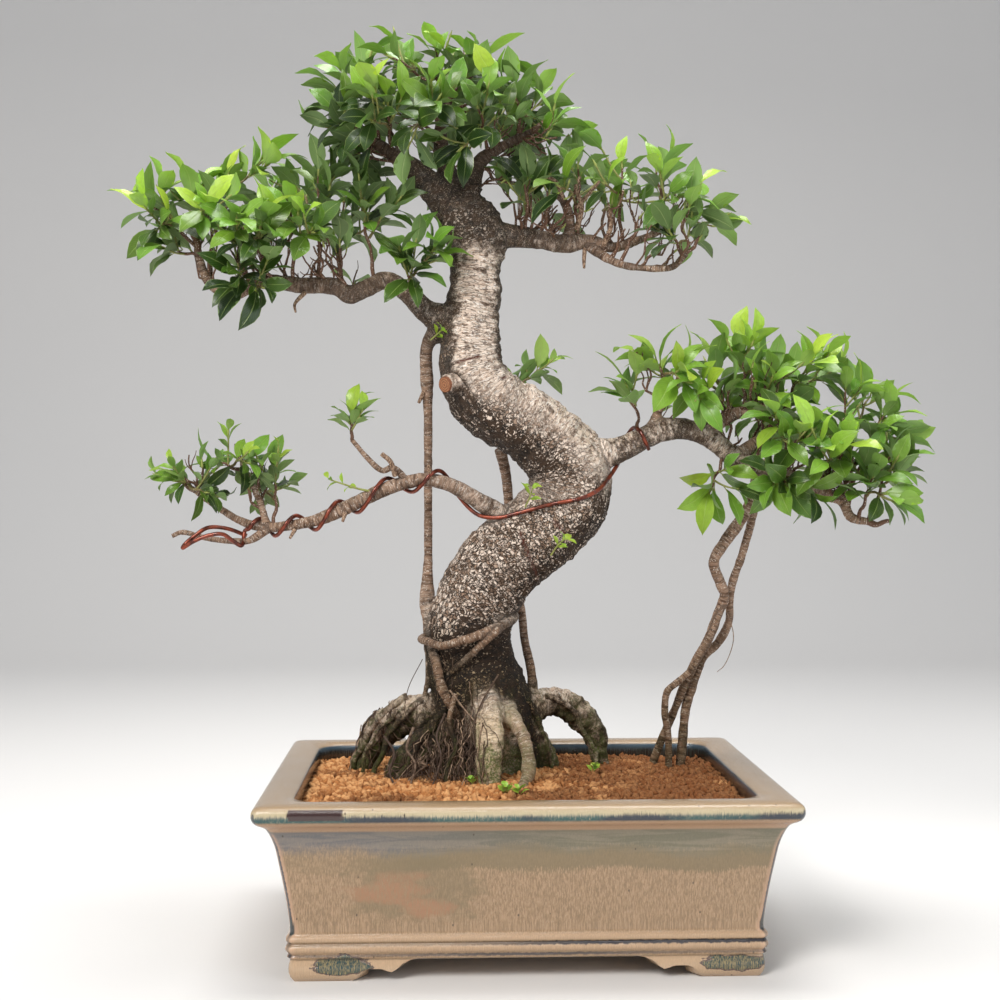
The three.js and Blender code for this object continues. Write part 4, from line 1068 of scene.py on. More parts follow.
@dataclass(frozen=True)
class GlazeFinish(Finish):
    """Tan glaze run over a dark blue one, which shows where it thins on edges and pools in blotches."""

    name: ClassVar[str] = "glaze"
    tan: Colour = srgb(168, 137, 105)
    olive: Colour = srgb(116, 100, 70)
    slate: Colour = srgb(84, 91, 98)
    rose: Colour = srgb(178, 118, 84)
    blue: Colour = srgb(26, 36, 50)
    teal: Colour = srgb(32, 74, 72)
    olive_cloud: tuple[float, ...] = (-96.0, 80.0, 62.0, 34.0)
    rose_clouds: tuple[tuple[tuple[float, ...], float], ...] = (
        ((-122.0, 76.0, 42.0, 10.0), 0.46), ((-86.0, 62.0, 24.0, 11.0), 0.50),
                                                                ((-104.0, 90.0, 26.0, 6.0), 0.30))
    front_pools: tuple[tuple[float, ...], ...] = ((-156.0, 14.0, 25.0, 7.6), (171.0, 12.5, 28.0, 6.4))
    side_pool: tuple[float, ...] = (118.0, 13.0, 20.0, 6.6)
    belt_line: float = 32.0
    belt_hollow: float = 32.5
    foot_line: float = 22.6

    def pattern(self, g: Graph, given: Outputs) -> dict[str, Signal]:
        """Turns a place on the pot into colour, height and roughness.

        Args:
            g: the graph that gets the nodes.
            given: the group's inputs.

        Returns:
            The signals for colour, relief and roughness.
        """
        spot, corner, inside = (given[k] for k in ("Place", "Corner", "Inside"))
        x, y, z = g.parts(spot)
        runs = g.streaks(spot, 1.0, 1.0, 0.03, 4.0, 0.65)
        fine = g.streaks(spot, 2.0, 2.0, 0.14, 2.0, 0.6)
        cloud = g.streaks(spot, 0.012, 0.012, 0.02, 3.0, 0.55)
        wobble = g.streaks(spot, 0.045, 0.045, 0.09, 4.0, 0.6) * 1.6 - 0.8
        front = g.below(y, -146.0, -140.0)
        wave = cloud * 20.0 + fine * 6.0 + runs * 12.0
        level = z + wave - 19.0
        colour = g.blend(g.between(runs, 0.36, 0.6, 0.0, 0.9), self.tan, srgb(132, 107, 78))
        colour = g.blend(g.between(fine, 0.54, 0.68, 0.0, 0.5), colour, srgb(98, 82, 58))
        colour = g.blend(g.between(fine, 0.28, 0.4, 0.3, 0.0), colour, srgb(216, 190, 158))
        swirl = g.blotch(x, z, self.olive_cloud, wobble)
        tinge = g.between(swirl, 0.7, 1.1, 0.6, 0.0) * front
        colour = g.blend(tinge, colour, self.olive)
        for middle, deep in self.rose_clouds:
            rosy = g.between(g.blotch(x, z, middle, wobble), 0.5, 1.15, deep, 0.0)
            colour = g.blend(rosy * front * g.between(runs, 0.38, 0.58, 0.25, 1.0), colour, self.rose)
        band = g.between(level, 92.0, 96.5) * g.below(level, 110.0, 114.0)
        band = band * g.between(wobble * 60.0 + x, -150.0, -80.0, 0.28, 0.8)
        colour = g.blend(band, colour, self.olive)
        under = g.between(level, 104.0, 118.0) * g.below(z, 129.0, 131.0)
        slate = g.blend(g.between(x, -190.0, 60.0), self.slate, srgb(93, 95, 76))
        drift = g.streaks(spot, 0.014, 0.014, 0.16, 3.0, 0.6, 0.8)
        slate = g.blend(g.between(drift, 0.42, 0.6, 0.0, 0.28), slate, srgb(160, 142, 124))
        colour = g.blend(under * 0.82, colour, slate)
        ledge = g.between(z, 129.0, 131.5) * g.below(z, 137.5, 139.0)
        colour = g.blend(ledge * 0.6, colour, srgb(182, 144, 114))
        rim_top = g.between(z, 147.5, 150.0)
        colour = g.blend(rim_top * 0.75, colour, g.blend(fine, srgb(176, 152, 121), srgb(142, 114, 79)))
        edge = g.between(z, 138.5, 140.5) * g.below(z, 146.0, 151.5)
        deep = g.between(z, 141.0, 149.0, 0.3, -0.24) + cloud * 0.5 - 0.25
        streak = g.between(fine * 0.7 + runs * 0.5 + deep, 0.5, 0.86)
        streaky = g.blend(streak, srgb(190, 176, 144),
                          g.blend(g.between(cloud, 0.42, 0.58), self.teal, self.blue))
        colour = g.blend(edge * (1.0 - inside), colour, streaky)
        reach = g.between(z, 40.0, 60.0, 1.5, 1.0)
        thin = (corner + fine * -3.0 + 1.2) / reach
        worn = g.between(thin, 0.5, 1.7, 0.95, 0.0) * g.below(z, 146.0, 148.0)
        beside = g.between(thin, 2.0, 5.5, 0.5, 0.0) * g.below(z, 126.0, 130.0)
        colour = g.blend(worn, g.blend(beside, colour, srgb(202, 160, 132)), self.blue)
        colour = g.blend(g.between(z, 38.0, 42.0, 0.42, 0.0) * g.between(z, 22.0, 24.0), colour,
                         srgb(206, 174, 142))
        jag = g.streaks(spot, 0.22, 0.22, 0.05, 4.0, 0.7) * 4.0 - 2.0
        rightwards = g.between(x, -110.0, 60.0, 0.25, 1.0)
        lines = g.below(abs(z + jag - self.belt_line), 0.9, 2.1)
        low = g.below(abs(z + jag * 0.6 - self.foot_line), 0.5, 1.7)
        middle_part = g.between(abs(x), 20.0, 150.0, 0.9, 0.5)
        dark_line = g.math("MAXIMUM", lines * rightwards, low * middle_part)
        hollow = g.between(abs(z - self.belt_hollow), 1.0, 3.0, 0.3, 0.0)
        colour = g.blend(dark_line, g.blend(hollow, colour, self.olive), srgb(46, 42, 46))
        pools = [g.blotch(x, z, middle, wobble * 1.3) for middle in self.front_pools]
        depth, *rest = self.side_pool
        pools += [g.blotch(y, z, (side * depth, *rest), wobble) for side in (-1, 1)]
        ends = g.between(abs(x), 199.0, 201.0, 2.0, 0.0)
        sides = g.math("MINIMUM", *pools[2:]) + ends
        pool = g.math("MINIMUM", g.math("MINIMUM", *pools[:2]), sides)
        foot = g.below(z, 19.0, 22.0)
        colour = g.blend(foot * 0.62, colour, srgb(204, 174, 142))
        mixed = g.blend(g.between(fine * 0.5 + runs * 0.5, 0.42, 0.56), srgb(146, 130, 92),
                        g.blend(cloud, self.teal, self.blue))
        colour = g.blend(g.below(pool, 0.86, 0.92), colour, mixed)
        outline = g.between(abs(pool - 0.96), 0.03, 0.1, 0.85, 0.0)
        colour = g.blend(outline, colour, srgb(62, 48, 52))
        specks = g.cells(g.stretch(spot, 0.085, 0.085, 0.05))["Distance"]
        colour = g.blend(g.between(specks, 0.04, 0.075, 0.85, 0.0), colour, srgb(62, 48, 36))
        wall = g.blend(g.between(runs, 0.4, 0.7), srgb(38, 34, 32),
                       g.blend(cloud, self.teal, srgb(74, 52, 40)))
        wall = g.blend(g.between(z, 144.0, 148.5), wall, srgb(58, 78, 92))
        colour = g.blend(inside * g.below(z, 149.0, 151.0), colour, wall)
        relief = runs * 0.35 + cloud * 1.6
        relief = relief + g.between(pool, 0.8, 1.0, 0.5, 0.0)
        return {"Colour": colour, "Relief": relief, "Roughness": g.between(fine, 0.3, 0.8, 0.1, 0.22)}

    def shader(self, g: Graph) -> Signal:
        """Glossy stoneware glaze.

        Args:
            g: the graph that gets the nodes.

        Returns:
            The shader.
        """
        spot = g.place_in_mm()
        feeds = {"Place": spot, "Corner": g.attribute("corner"), "Inside": g.attribute("inside")}
        glaze = g.effect("glaze_runs", feeds, self.pattern)
        x, y, z = g.parts(spot)
        jag = g.noise(spot, 0.3) * 8.0
        patch = g.between(x + jag, -196.0, -194.0) * g.below(x + jag, -152.0, -148.0)
        patch = patch * (g.between(z, 140.5, 142.5) * g.below(z, 149.5, 151.0))
        patch = patch * g.below(y, -150.0, -148.0)
        colour = g.blend(patch, glaze["Colour"], srgb(54, 32, 30))
        return g.skin(colour, glaze["Roughness"], glaze["Relief"], 0.0012, Specular_IOR_Level=0.6,
                      Coat_Weight=0.4, Coat_Roughness=0.06)


@dataclass(frozen=True)
class MeshFinish(Finish):
    """Dark plastic drain mesh with a moulded grain."""

    name: ClassVar[str] = "drain_mesh"

    def shader(self, g: Graph) -> Signal:
        """Matte plastic."""
        grain = g.noise(g.place_in_mm(), 2.0, 2.0)
        return g.skin(g.blend(grain, srgb(28, 32, 34), srgb(48, 54, 56)), 0.6, grain, 0.0002)


@dataclass(frozen=True)
class FloorFinish(Finish):
    """Plain pale studio floor."""

    name: ClassVar[str] = "studio_floor"
    pale: Colour = srgb(222, 220, 218)

    def shader(self, g: Graph) -> Signal:
        """Nearly white matte paper.

        Args:
            g: the graph that gets the nodes.

        Returns:
            The shader.
        """
        cloud = g.noise(g.node("ShaderNodeTexCoord")["Object"], 0.6)
        colour = g.blend(cloud, self.pale, srgb(216, 215, 214))
        return g.skin(colour, 0.9)


def geometry_tree(name: str, inputs: dict[str, str],
                  fill: Callable[[Graph, Outputs], Signal]) -> bpy.types.NodeTree:
    """Builds a geometry node tree that ends in Realize Instances and Set Material.

    Args:
        name: the tree's name.
        inputs: named inputs and their kinds, besides Geometry and Material.
        fill: adds the nodes and returns the geometry.

    Returns:
        The tree, made only once.
    """
    if name in bpy.data.node_groups:
        return bpy.data.node_groups[name]
    tree = bpy.data.node_groups.new(name, "GeometryNodeTree")
    tree.interface.new_socket("Geometry", in_out="INPUT", socket_type="NodeSocketGeometry")
    tree.interface.new_socket("Geometry", in_out="OUTPUT", socket_type="NodeSocketGeometry")
    for key, kind in {**inputs, "Material": "Material"}.items():
        tree.interface.new_socket(key, in_out="INPUT", socket_type=f"NodeSocket{kind}")
    graph = Graph(tree)
    entry = graph.node("NodeGroupInput")
    made = fill(graph, entry)
    real = graph.node("GeometryNodeRealizeInstances", {0: made})[0]
    shaded = graph.node("GeometryNodeSetShadeSmooth", {0: real})[0]
    dressed = graph.node("GeometryNodeSetMaterial", {0: shaded, "Material": entry["Material"]})[0]
    graph.node("NodeGroupOutput", {"Geometry": dressed})
    return tree


def run_tree(name: str, mesh: bpy.types.Mesh, tree: bpy.types.NodeTree,
             values: dict[str, Any]) -> bpy.types.Object:
    """Runs a geometry node tree on a mesh and keeps the plain result.

    Args:
        name: the name of the object that comes out.
        mesh: what the tree starts from.
        tree: the tree.
        values: values of the tree's named inputs.

    Returns:
        The object, with no modifier.
    """
    obj = new_object(name + "_source", mesh)
    modifier = obj.modifiers.new("nodes", "NODES")
    modifier.node_group = tree
    sockets = {item.name: item.identifier for item in tree.interface.items_tree if item.in_out == "INPUT"}
    for key, value in values.items():
        modifier[sockets[key]] = value
    return baked(obj, name)


def named_value(g: Graph, name: str, kind: str = "FLOAT") -> Signal:
    """A stored attribute inside a geometry node tree."""
    return g.node("GeometryNodeInputNamedAttribute", {"Name": name}, data_type=kind)["Attribute"]


def sweep_tree() -> bpy.types.NodeTree:
    """Sweeps a ring along lines, as thick as their attribute `thick` says.

    Returns:
        The tree.
    """
    def fill(g: Graph, given: Outputs) -> Signal:
        """Adds the nodes that sweep the ring.

        Args:
            g: the graph that gets the nodes.
            given: the group's inputs.

        Returns:
            The swept tubes.
        """
        lines = g.node("GeometryNodeMeshToCurve", {0: given["Geometry"]})[0]
        ring = g.node("GeometryNodeCurvePrimitiveCircle", {"Resolution": given["Sides"], "Radius": 1.0})[0]
        return g.node("GeometryNodeCurveToMesh", {
            "Curve": lines, "Profile Curve": ring, "Scale": named_value(g, "thick"), "Fill Caps": True})[0]
    return geometry_tree("sweep_along_lines", {"Sides": "Int"}, fill)


def instance_tree() -> bpy.types.NodeTree:
    """Puts one of several shapes on each point, by its attributes kind, turn and size.

    Returns:
        The tree.
    """
    def fill(g: Graph, given: Outputs) -> Signal:
        """Adds the nodes that place the shapes.

        Args:
            g: the graph that gets the nodes.
            given: the group's inputs.

        Returns:
            The placed shapes.
        """
        shapes = g.node("GeometryNodeCollectionInfo", {
            "Collection": given["Shapes"], "Separate Children": True, "Reset Children": True})[0]
        turn = g.node("FunctionNodeEulerToRotation", {0: named_value(g, "turn", "FLOAT_VECTOR")})[0]
        return g.node("GeometryNodeInstanceOnPoints", {
            "Points": given["Geometry"], "Instance": shapes, "Pick Instance": True,
            "Instance Index": named_value(g, "kind", "INT"), "Rotation": turn,
            "Scale": named_value(g, "size", "FLOAT_VECTOR")})[0]
    return geometry_tree("shapes_on_points", {"Shapes": "Collection"}, fill)


def scatter_tree() -> bpy.types.NodeTree:
    """Scatters shapes over a surface at an even spacing, each turned and sized at random.

    Returns:
        The tree.
    """
    def fill(g: Graph, given: Outputs) -> Signal:
        """Adds the nodes that scatter the shapes.

        Args:
            g: the graph that gets the nodes.
            given: the group's inputs.

        Returns:
            The scattered shapes.
        """
        feeds = {"Mesh": given["Geometry"], "Distance Min": given["Spacing"], "Density Max": 300000.0,
                 "Density Factor": named_value(g, "cover"), "Seed": given["Seed"]}
        spread = g.node("GeometryNodeDistributePointsOnFaces", feeds, distribute_method="POISSON")[0]
        shapes = g.node("GeometryNodeCollectionInfo", {
            "Collection": given["Shapes"], "Separate Children": True, "Reset Children": True})[0]
        kind = g.node("FunctionNodeRandomValue", {4: 0, 5: 7, "Seed": 3}, data_type="INT")[2]
        turn, size = (g.node("FunctionNodeRandomValue", {0: (low,) * 3, 1: (high,) * 3, "Seed": seed},
                             data_type="FLOAT_VECTOR")[0]
                      for low, high, seed in ((-3.14, 3.14, 5), (0.62, 1.35, 7)))
        tone = g.node("FunctionNodeRandomValue", {2: 0.0, 3: 1.0, "Seed": 9})[1]
        toned = g.node("GeometryNodeStoreNamedAttribute", {0: spread, "Name": "tone", "Value": tone})[0]
        rotation = g.node("FunctionNodeEulerToRotation", {0: turn})[0]
        return g.node("GeometryNodeInstanceOnPoints", {
            "Points": toned, "Instance": shapes, "Pick Instance": True, "Instance Index": kind,
            "Rotation": rotation, "Scale": size})[0]
    return geometry_tree("scatter_on_surface", {"Shapes": "Collection", "Spacing": "Float", "Seed": "Int"},
                         fill)


def swept(name: str, paths: Sequence[Path], sides: int, material: bpy.types.Material,
          marks: Optional[dict[str, Sequence[Any]]] = None) -> bpy.types.Object:
    """Round stems along paths, made by geometry nodes.

    Args:
        name: the object's name.
        paths: where the stems run.
        sides: sides of each stem.
        material: its finish.
        marks: attributes, each with one number or one list of numbers for each path.

    Returns:
        The finished object.
    """
    points = np.vstack([path.points for path in paths])
    edges, start = [], 0
    for path in paths:
        edges += [(start + i, start + i + 1) for i in range(len(path.points) - 1)]
        start += len(path.points)
    mesh = bpy.data.meshes.new(name)
    mesh.from_pydata([tuple(p) for p in points], edges, [])
    set_attribute(mesh, "thick", np.concatenate([path.radii for path in paths]))
    set_attribute(mesh, "along", np.concatenate([path.lengths() for path in paths]))
    for key, values in (marks or {}).items():
        spread = [np.broadcast_to(np.asarray(v, float), len(p.points)) for v, p in zip(values, paths)]
        set_attribute(mesh, key, np.concatenate(spread))
    return run_tree(name, mesh, sweep_tree(), {"Sides": sides, "Material": material})


def shape_collection(name: str, meshes: Sequence[bpy.types.Mesh]) -> bpy.types.Collection:
    """A collection of shapes that only geometry nodes use; it is linked to no scene.

    Args:
        name: its name.
        meshes: one mesh for each shape.

    Returns:
        The collection.
    """
    collection = bpy.data.collections.new(name)
    for i, mesh in enumerate(meshes):
        collection.objects.link(bpy.data.objects.new(f"{name}_{i:02d}", mesh))
    return collection


def placed_shapes(name: str, shapes: bpy.types.Collection, frames: Sequence[Matrix], sizes: np.ndarray,
                  kinds: np.ndarray, marks: dict[str, np.ndarray],
                  material: bpy.types.Material) -> bpy.types.Object:
    """One shape at each frame, made by geometry nodes.

    Args:
        name: the object's name.
        shapes: the shapes to choose from.
        frames: where each shape goes and how it is turned.
        sizes: scale of each shape along its own axes.
        kinds: which shape each one is.
        marks: attributes with one number for each shape.
        material: its finish.

    Returns:
        The finished object.
    """
    mesh = mesh_from(name, [f.translation for f in frames])
    set_attribute(mesh, "turn", np.array([tuple(f.to_euler("XYZ")) for f in frames]))
    set_attribute(mesh, "size", sizes)
    set_attribute(mesh, "kind", np.asarray(kinds, int))
    for key, values in marks.items():
        set_attribute(mesh, key, values)
    return run_tree(name, mesh, instance_tree(), {"Shapes": shapes, "Material": material})


def finish_piece(piece: bpy.types.Object, slot: str, *nodes: str) -> bpy.types.Object:
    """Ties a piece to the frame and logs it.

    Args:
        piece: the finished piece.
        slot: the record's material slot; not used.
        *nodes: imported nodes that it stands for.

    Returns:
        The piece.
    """
    if nodes:
        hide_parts(*nodes)
    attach(piece, "root")
    LOG.info("%s: %d faces", piece.name, len(piece.data.polygons))
    return piece


class Zone(IntEnum):
    """Parts of the tree whose surface has its own relief."""

    TRUNK = 0
    ROOT = 1
    BRANCH = 2

    @classmethod
    def of(cls, limb: str) -> "Zone":
        """The zone that a limb belongs to.

        Args:
            limb: the limb's name.

        Returns:
            The zone.
        """
        if limb == "trunk":
            return cls.TRUNK
        return cls.ROOT if limb.startswith("root") else cls.BRANCH


def ring_quads(shift: int, rings: int, around: int) -> list[list[int]]:
    """Quads between neighbouring rings of points that are numbered ring by ring, from `shift` on.

    Args:
        shift: number of the first point.
        rings: how many rings there are.
        around: points in each ring.

    Returns:
        Four numbers for each face.
    """
    return [[shift + i * around + j, shift + i * around + (j + 1) % around,
             shift + (i + 1) * around + (j + 1) % around, shift + (i + 1) * around + j]
            for i in range(rings - 1) for j in range(around)]


def fractal(places: np.ndarray, lumps: float, octaves: int = 2, gap: float = 2.0) -> np.ndarray:
    """Fractal noise at each place, with a number of lumps for each unit and finer ones in each octave."""
    return np.array([noise.fractal(Vector(p) * lumps, 1.0, gap, octaves) for p in places])


def lumpy(places: np.ndarray, across: float, along: float) -> np.ndarray:
    """Noise at each place, drawn out along the third axis."""
    return np.array([noise.noise(Vector((p[0] * across, p[1] * across, p[2] * along))) for p in places])


def knots_along(path: Path, lane: Sequence[float], lumps: float) -> np.ndarray:
    """Noise along a path, with a number of lumps for each millimetre; each lane gives other noise."""
    return np.array([noise.noise(Vector((*lane, s / MM * lumps))) for s in path.lengths()])


def sway_along(path: Path, lane: Sequence[float], lumps: float) -> np.ndarray:
    """Vectors that wander along a path, with a number of bends for each millimetre."""
    return np.array([noise.noise_vector(Vector((*lane, s / MM * lumps))) for s in path.lengths()])


def eased(values: np.ndarray, low: float, high: float) -> np.ndarray:
    """Runs smoothly from 0 to 1 while the values go from low to high, which may be the smaller one."""
    share = np.clip((values - low) / (high - low), 0, 1)
    return share * share * (3 - 2 * share)


def spread_out(mesh: bpy.types.Mesh, values: np.ndarray, rounds: int, share: float = 0.55) -> np.ndarray:
    """Evens values out between neighbouring points.

    Args:
        mesh: the mesh whose points have the values.
        values: one row for each point.
        rounds: how often.
        share: how far each goes to its neighbours' mean.

    Returns:
        The evened rows.
    """
    edges = np.empty(len(mesh.edges) * 2, int)
    mesh.edges.foreach_get("vertices", edges)
    a, b = edges.reshape(-1, 2).T
    degree = np.maximum(np.bincount(edges, minlength=len(values)), 1)[:, None]
    for _ in range(rounds):
        total = np.stack([np.bincount(a, row[b], len(values)) + np.bincount(b, row[a], len(values))
                          for row in values.T], axis=1)
        values = (1 - share) * values + share * total / degree
    return values


@dataclass
class Wood:
    """Trunk, branches and thick roots, grown together into one rugged surface."""

    voxel: float = 0.0022
    rounds: int = 3
    root_rounds: int = 12
    sides: int = 20
    scars: tuple[tuple[Sequence[float], Sequence[float]], ...] = (
        ((33, 8, 385), (47, 14, 369)), ((47, 14, 369), (62, 26, 355)), ((1, 12, 374), (9, 12, 352)),
        ((9, 12, 352), (19, 20, 330)), ((-78, 24, 530), (-58, 14, 536)), ((-58, 14, 536), (-38, 14, 542)),
        ((-38, 14, 542), (-18, 22, 544)), ((-16, 14, 521), (-8, 14, 525)))
    flares: dict[str, list[list[float]]] = field(default_factory=lambda: {
        "root_front": [[-40, 42, 266, 9]], "root_left_front": [[-52, 46, 222, 8]],
        "root_front_curl": [[-24, 42, 240, 6]], "root_right": [[-12, 58, 246, 10]],
        "root_right_inner": [[-8, 52, 224, 7]], "root_left": [[-52, 56, 236, 10]]})
    surface: Optional[BVHTree] = None

    def tube(self, path: Path, zone: Zone, shift: int) -> tuple[list[np.ndarray], list[list[int]]]:
        """Points and faces of one closed limb.

        Args:
            path: the limb's middle line.
            zone: which kind of limb it is.
            shift: number of the first point.

        Returns:
            The points, and the faces that count from `shift`.
        """
        side = path.sides()
        up = np.cross(path.tangents(), side)
        share = np.linspace(0, 1, len(path.points))[:, None]
        angle = np.linspace(0, 2 * math.pi, self.sides, endpoint=False)[None, :]
        if zone is Zone.TRUNK:
            swell = 1 + 0.05 * np.cos(3 * angle + 9 * share) + 0.035 * np.cos(5 * angle - 14 * share)
        else:
            swell = 1 + 0.04 * np.cos(2 * angle + 11 * share)
        reach = path.radii[:, None] * swell
        rings = (path.points[:, None, :] + (reach * np.cos(angle))[..., None] * side[:, None, :]
                 + (reach * np.sin(angle))[..., None] * up[:, None, :])
        n, last = self.sides, len(path.points) - 1
        points = [*rings.reshape(-1, 3), path.points[0], path.points[-1]]
        faces = ring_quads(shift, last + 1, n)
        foot, top = shift + (last + 1) * n, shift + (last + 1) * n + 1
        faces += [[foot, shift + (j + 1) % n, shift + j] for j in range(n)]
        faces += [[top, shift + last * n + j, shift + last * n + (j + 1) % n] for j in range(n)]
        return points, faces

    def grown_together(self) -> bpy.types.Mesh:
        """All thick limbs joined into one even skin.

        Returns:
            The skin's mesh.
        """
        points: list[np.ndarray] = []
        faces: list[list[int]] = []
        for name, rows in LIMBS.items():
            if name in SWEPT_LIMBS:
                continue
            more, round_faces = self.tube(Path.through(self.flares.get(name, []) + rows), Zone.of(name),
                                          len(points))
            points += more
            faces += round_faces
        obj = new_object("wood_source", mesh_from("wood_source", points, faces))
        remesh = obj.modifiers.new("skin", "REMESH")
        remesh.mode = "VOXEL"
        remesh.voxel_size = self.voxel
        return baked(obj, "tree_bark").data

    def nearest(self, places: np.ndarray) -> tuple[np.ndarray, np.ndarray, np.ndarray]:
        """Where each place lies along the nearest limb, how thick the limb is and its zone.

        Args:
            places: places in metres.

        Returns:
            Straightened coordinates with the limb along the third axis, radii, both in mm, and zones.
        """
        points, radii, along, side, length, zone = [], [], [], [], [], []
        for number, (name, rows) in enumerate(LIMBS.items()):
            path = Path.through(rows, 4.0)
            points.append(path.points)
            radii.append(path.radii)
            along.append(path.tangents())
            side.append(path.sides())
            length.append(path.lengths() + 0.37 * number)
            zone.append(np.full(len(path.points), Zone.of(name)))
        points, radii, along, side, length, zone = map(
            np.concatenate, (points, radii, along, side, length, zone))
        up = np.cross(along, side)
        chosen = np.empty(len(places), int)
        for start in range(0, len(places), 3000):
            block = places[start:start + 3000]
            away = np.linalg.norm(block[:, None, :] - points[None], axis=2) - radii[None]
            chosen[start:start + 3000] = away.argmin(axis=1)
        offset = places - points[chosen]
        parts = [np.einsum("ij,ij->i", offset, axis[chosen]) for axis in (side, up, along)]
        grain = np.stack([parts[0], parts[1], parts[2] + length[chosen]], axis=1) / MM
        return grain, radii[chosen] / MM, zone[chosen]

    def relief(self, grain: np.ndarray, girth: np.ndarray, zone: np.ndarray,
               height: np.ndarray) -> np.ndarray:
        """Height of the bark over its smooth form, in metres.

        Args:
            grain: straightened places in millimetres.
            girth: radius of the nearest limb in millimetres.
            zone: number of the nearest limb's zone.
            height: height over the pot's feet in millimetres.

        Returns:
            One height for each place.
        """
        lumps = fractal(grain, 0.040, 3, 2.1)
        scallops = lumpy(grain, 0.022, 0.085)
        ridges = lumpy(grain, 0.030, 0.21)
        crust = fractal(grain, 0.17)
        root = zone == Zone.ROOT
        thick = np.clip(girth / np.where(root, 16.0, 26.0), 0.10, 1.0)
        upper = eased(height, 430, 520) * (zone == Zone.TRUNK)
        knob = eased(height, 632, 652) * upper
        total = 1.9 * lumps * np.where(root, 1.9, 1.0) + (1.1 + 2.2 * upper) * scallops
        total += (1.3 + 0.2 * root) * ridges + (0.8 + 1.0 * root + 1.6 * knob) * crust
        return total * thick * MM

    def shade(self, places: np.ndarray, normals: np.ndarray, girth: np.ndarray,
              zone: np.ndarray) -> np.ndarray:
        """How dark the bark is from damp, algae and painted shade, from 0 to 1, by where it is and which way
        it faces.

        Args:
            places: places in metres.
            normals: the directions that they face.
            girth: radius of the nearest limb in millimetres.
            zone: number of the nearest limb's zone.

        Returns:
            One number for each place.
        """
        x, y, z = ((places - np.array(POT_CENTRE)) / MM).T
        z = z + 14 * fractal(places, 40.0)

        def facing(*way: float) -> np.ndarray:
            """How squarely each place faces a direction."""
            return normals @ (np.array(way) / np.linalg.norm(way))

        trunk, root, branch = (zone == part for part in Zone)
        upper = trunk * eased(z, 470, 520)
        middle = trunk * eased(z, 405, 440) * eased(z, 560, 520)
        lower = trunk * eased(z, 270, 300) * eased(z, 430, 405)
        high = z > 560
        twiggy = 0.38 + 0.16 * high + 0.12 * high * eased(x, -110, -150) + 0.30 * eased(z, 680, 705)
        near = eased(x, -74, -62) * eased(x, 36, 24) * eased(z, 205, 238)
        # Facing terms paint shade on undersides and on sides turned from the key light; the hollow under the
        # left root is painted shade, and root tops facing up get painted light
        shade = np.maximum.reduce([
            0.62 * eased(facing(0, 0, -1), 0.0, 0.75),
            upper * 0.90 * eased(facing(-1, 0, -0.1), 0.25, 0.85),
            upper * 0.66 * eased(facing(1, 0, 0), 0.45, 0.90),
            middle * 0.95 * eased(facing(-0.55, 0, -0.85), -0.05, 0.45),
            lower * 0.92 * eased(facing(0.75, 0.2, -0.65), 0.05, 0.60),
            0.12 * lower,
            trunk * (0.90 + 0.14 * eased(x, -44, -24)) * eased(z, 304, 266),
            0.74 * eased(z, 628, 668) * (girth > 9),
            0.42 * branch * eased(np.hypot(x + 42, y - 52), 120, 40),
            branch * twiggy,
            root * (0.45 + 0.50 * near) * (1 - 0.5 * eased(facing(0, -0.3, 1), 0.2, 0.8)),
            eased(z, 212, 185) * eased(x, -28, -48) * eased(x, -150, -120) * eased(y, 60, 30)])
        front = self.lit_foot(places)
        shade = np.where(front > 0, shade * (1 - front) - 0.20 * front, shade)
        # Painted light on the middle trunk's lit top
        shade = shade - 0.35 * middle * eased(facing(0.3, -0.2, 1), 0.2, 0.6)
        return np.clip(shade + 0.14 * fractal(places, 16.0), -0.35, 1.1)

    def lit_foot(self, places: np.ndarray) -> np.ndarray:
        """How much each place belongs to the pale front roots and the bark over them, from 0 to 1.

        Args:
            places: places in metres.

        Returns:
            One number for each place.
        """
        x, y, z = ((places - np.array(POT_CENTRE)) / MM).T
        wander = 9 * fractal(places, 30.0)
        across = eased(x + wander, -58, -42) * eased(x + wander, 34, 10)
        return across * eased(y, 26, 10) * eased(z + 2 * wander, 234, 196)

    def mark(self, mesh: bpy.types.Mesh, scarred: bool = True) -> None:
        """Stores what the bark finish needs: grain, girth, scars, shade and how far it is lined across.

        Args:
            mesh: a mesh of bark.
            scarred: whether the old wires' grooves cross it.
        """
        places = coordinates(mesh)
        grain, girth, zone = self.nearest(places)
        height = places[:, 2] / MM
        normals = coordinates(mesh, "normal")
        foot = self.lit_foot(places)
        lit = eased(height, 395, 430) * eased(normals[:, 2] + 0.3 * normals[:, 0], 0.0, 0.5)
        lined_trunk = np.maximum(eased(height, 480, 540) * (1 - 0.7 * eased(height, 636, 660)), lit)
        lined_root = 0.8 * eased(height, 246, 214)
        band = np.select([zone == Zone.TRUNK, zone == Zone.ROOT], [lined_trunk, lined_root], 1.0)
        band = np.maximum(band, 0.85 * foot)
        set_attribute(mesh, "grain", grain)
        set_attribute(mesh, "scar", self.scar_depth(places) * scarred)
        for name, values in (("girth", girth), ("shade", self.shade(places, normals, girth, zone)),
                             ("band", band)):
            set_attribute(mesh, name, spread_out(mesh, values[:, None], 24)[:, 0])

    def scar_depth(self, places: np.ndarray) -> np.ndarray:
        """How much each place lies in a groove that an old wire has left, from 0 to 1.

        Args:
            places: places in metres.

        Returns:
            One number for each place.
        """
        depth = np.zeros(len(places))
        for start, end in self.scars:
            a, b = place([start, end])
            share = np.clip(((places - a) @ (b - a)) / ((b - a) @ (b - a)), 0, 1)
            away = places - a - share[:, None] * (b - a)
            across = np.hypot(away[:, 0], away[:, 2]) / MM
            depth = np.maximum(depth, np.clip(1.5 - across / 1.1, 0, 1) * (np.abs(away[:, 1]) < 14 * MM))
        return depth

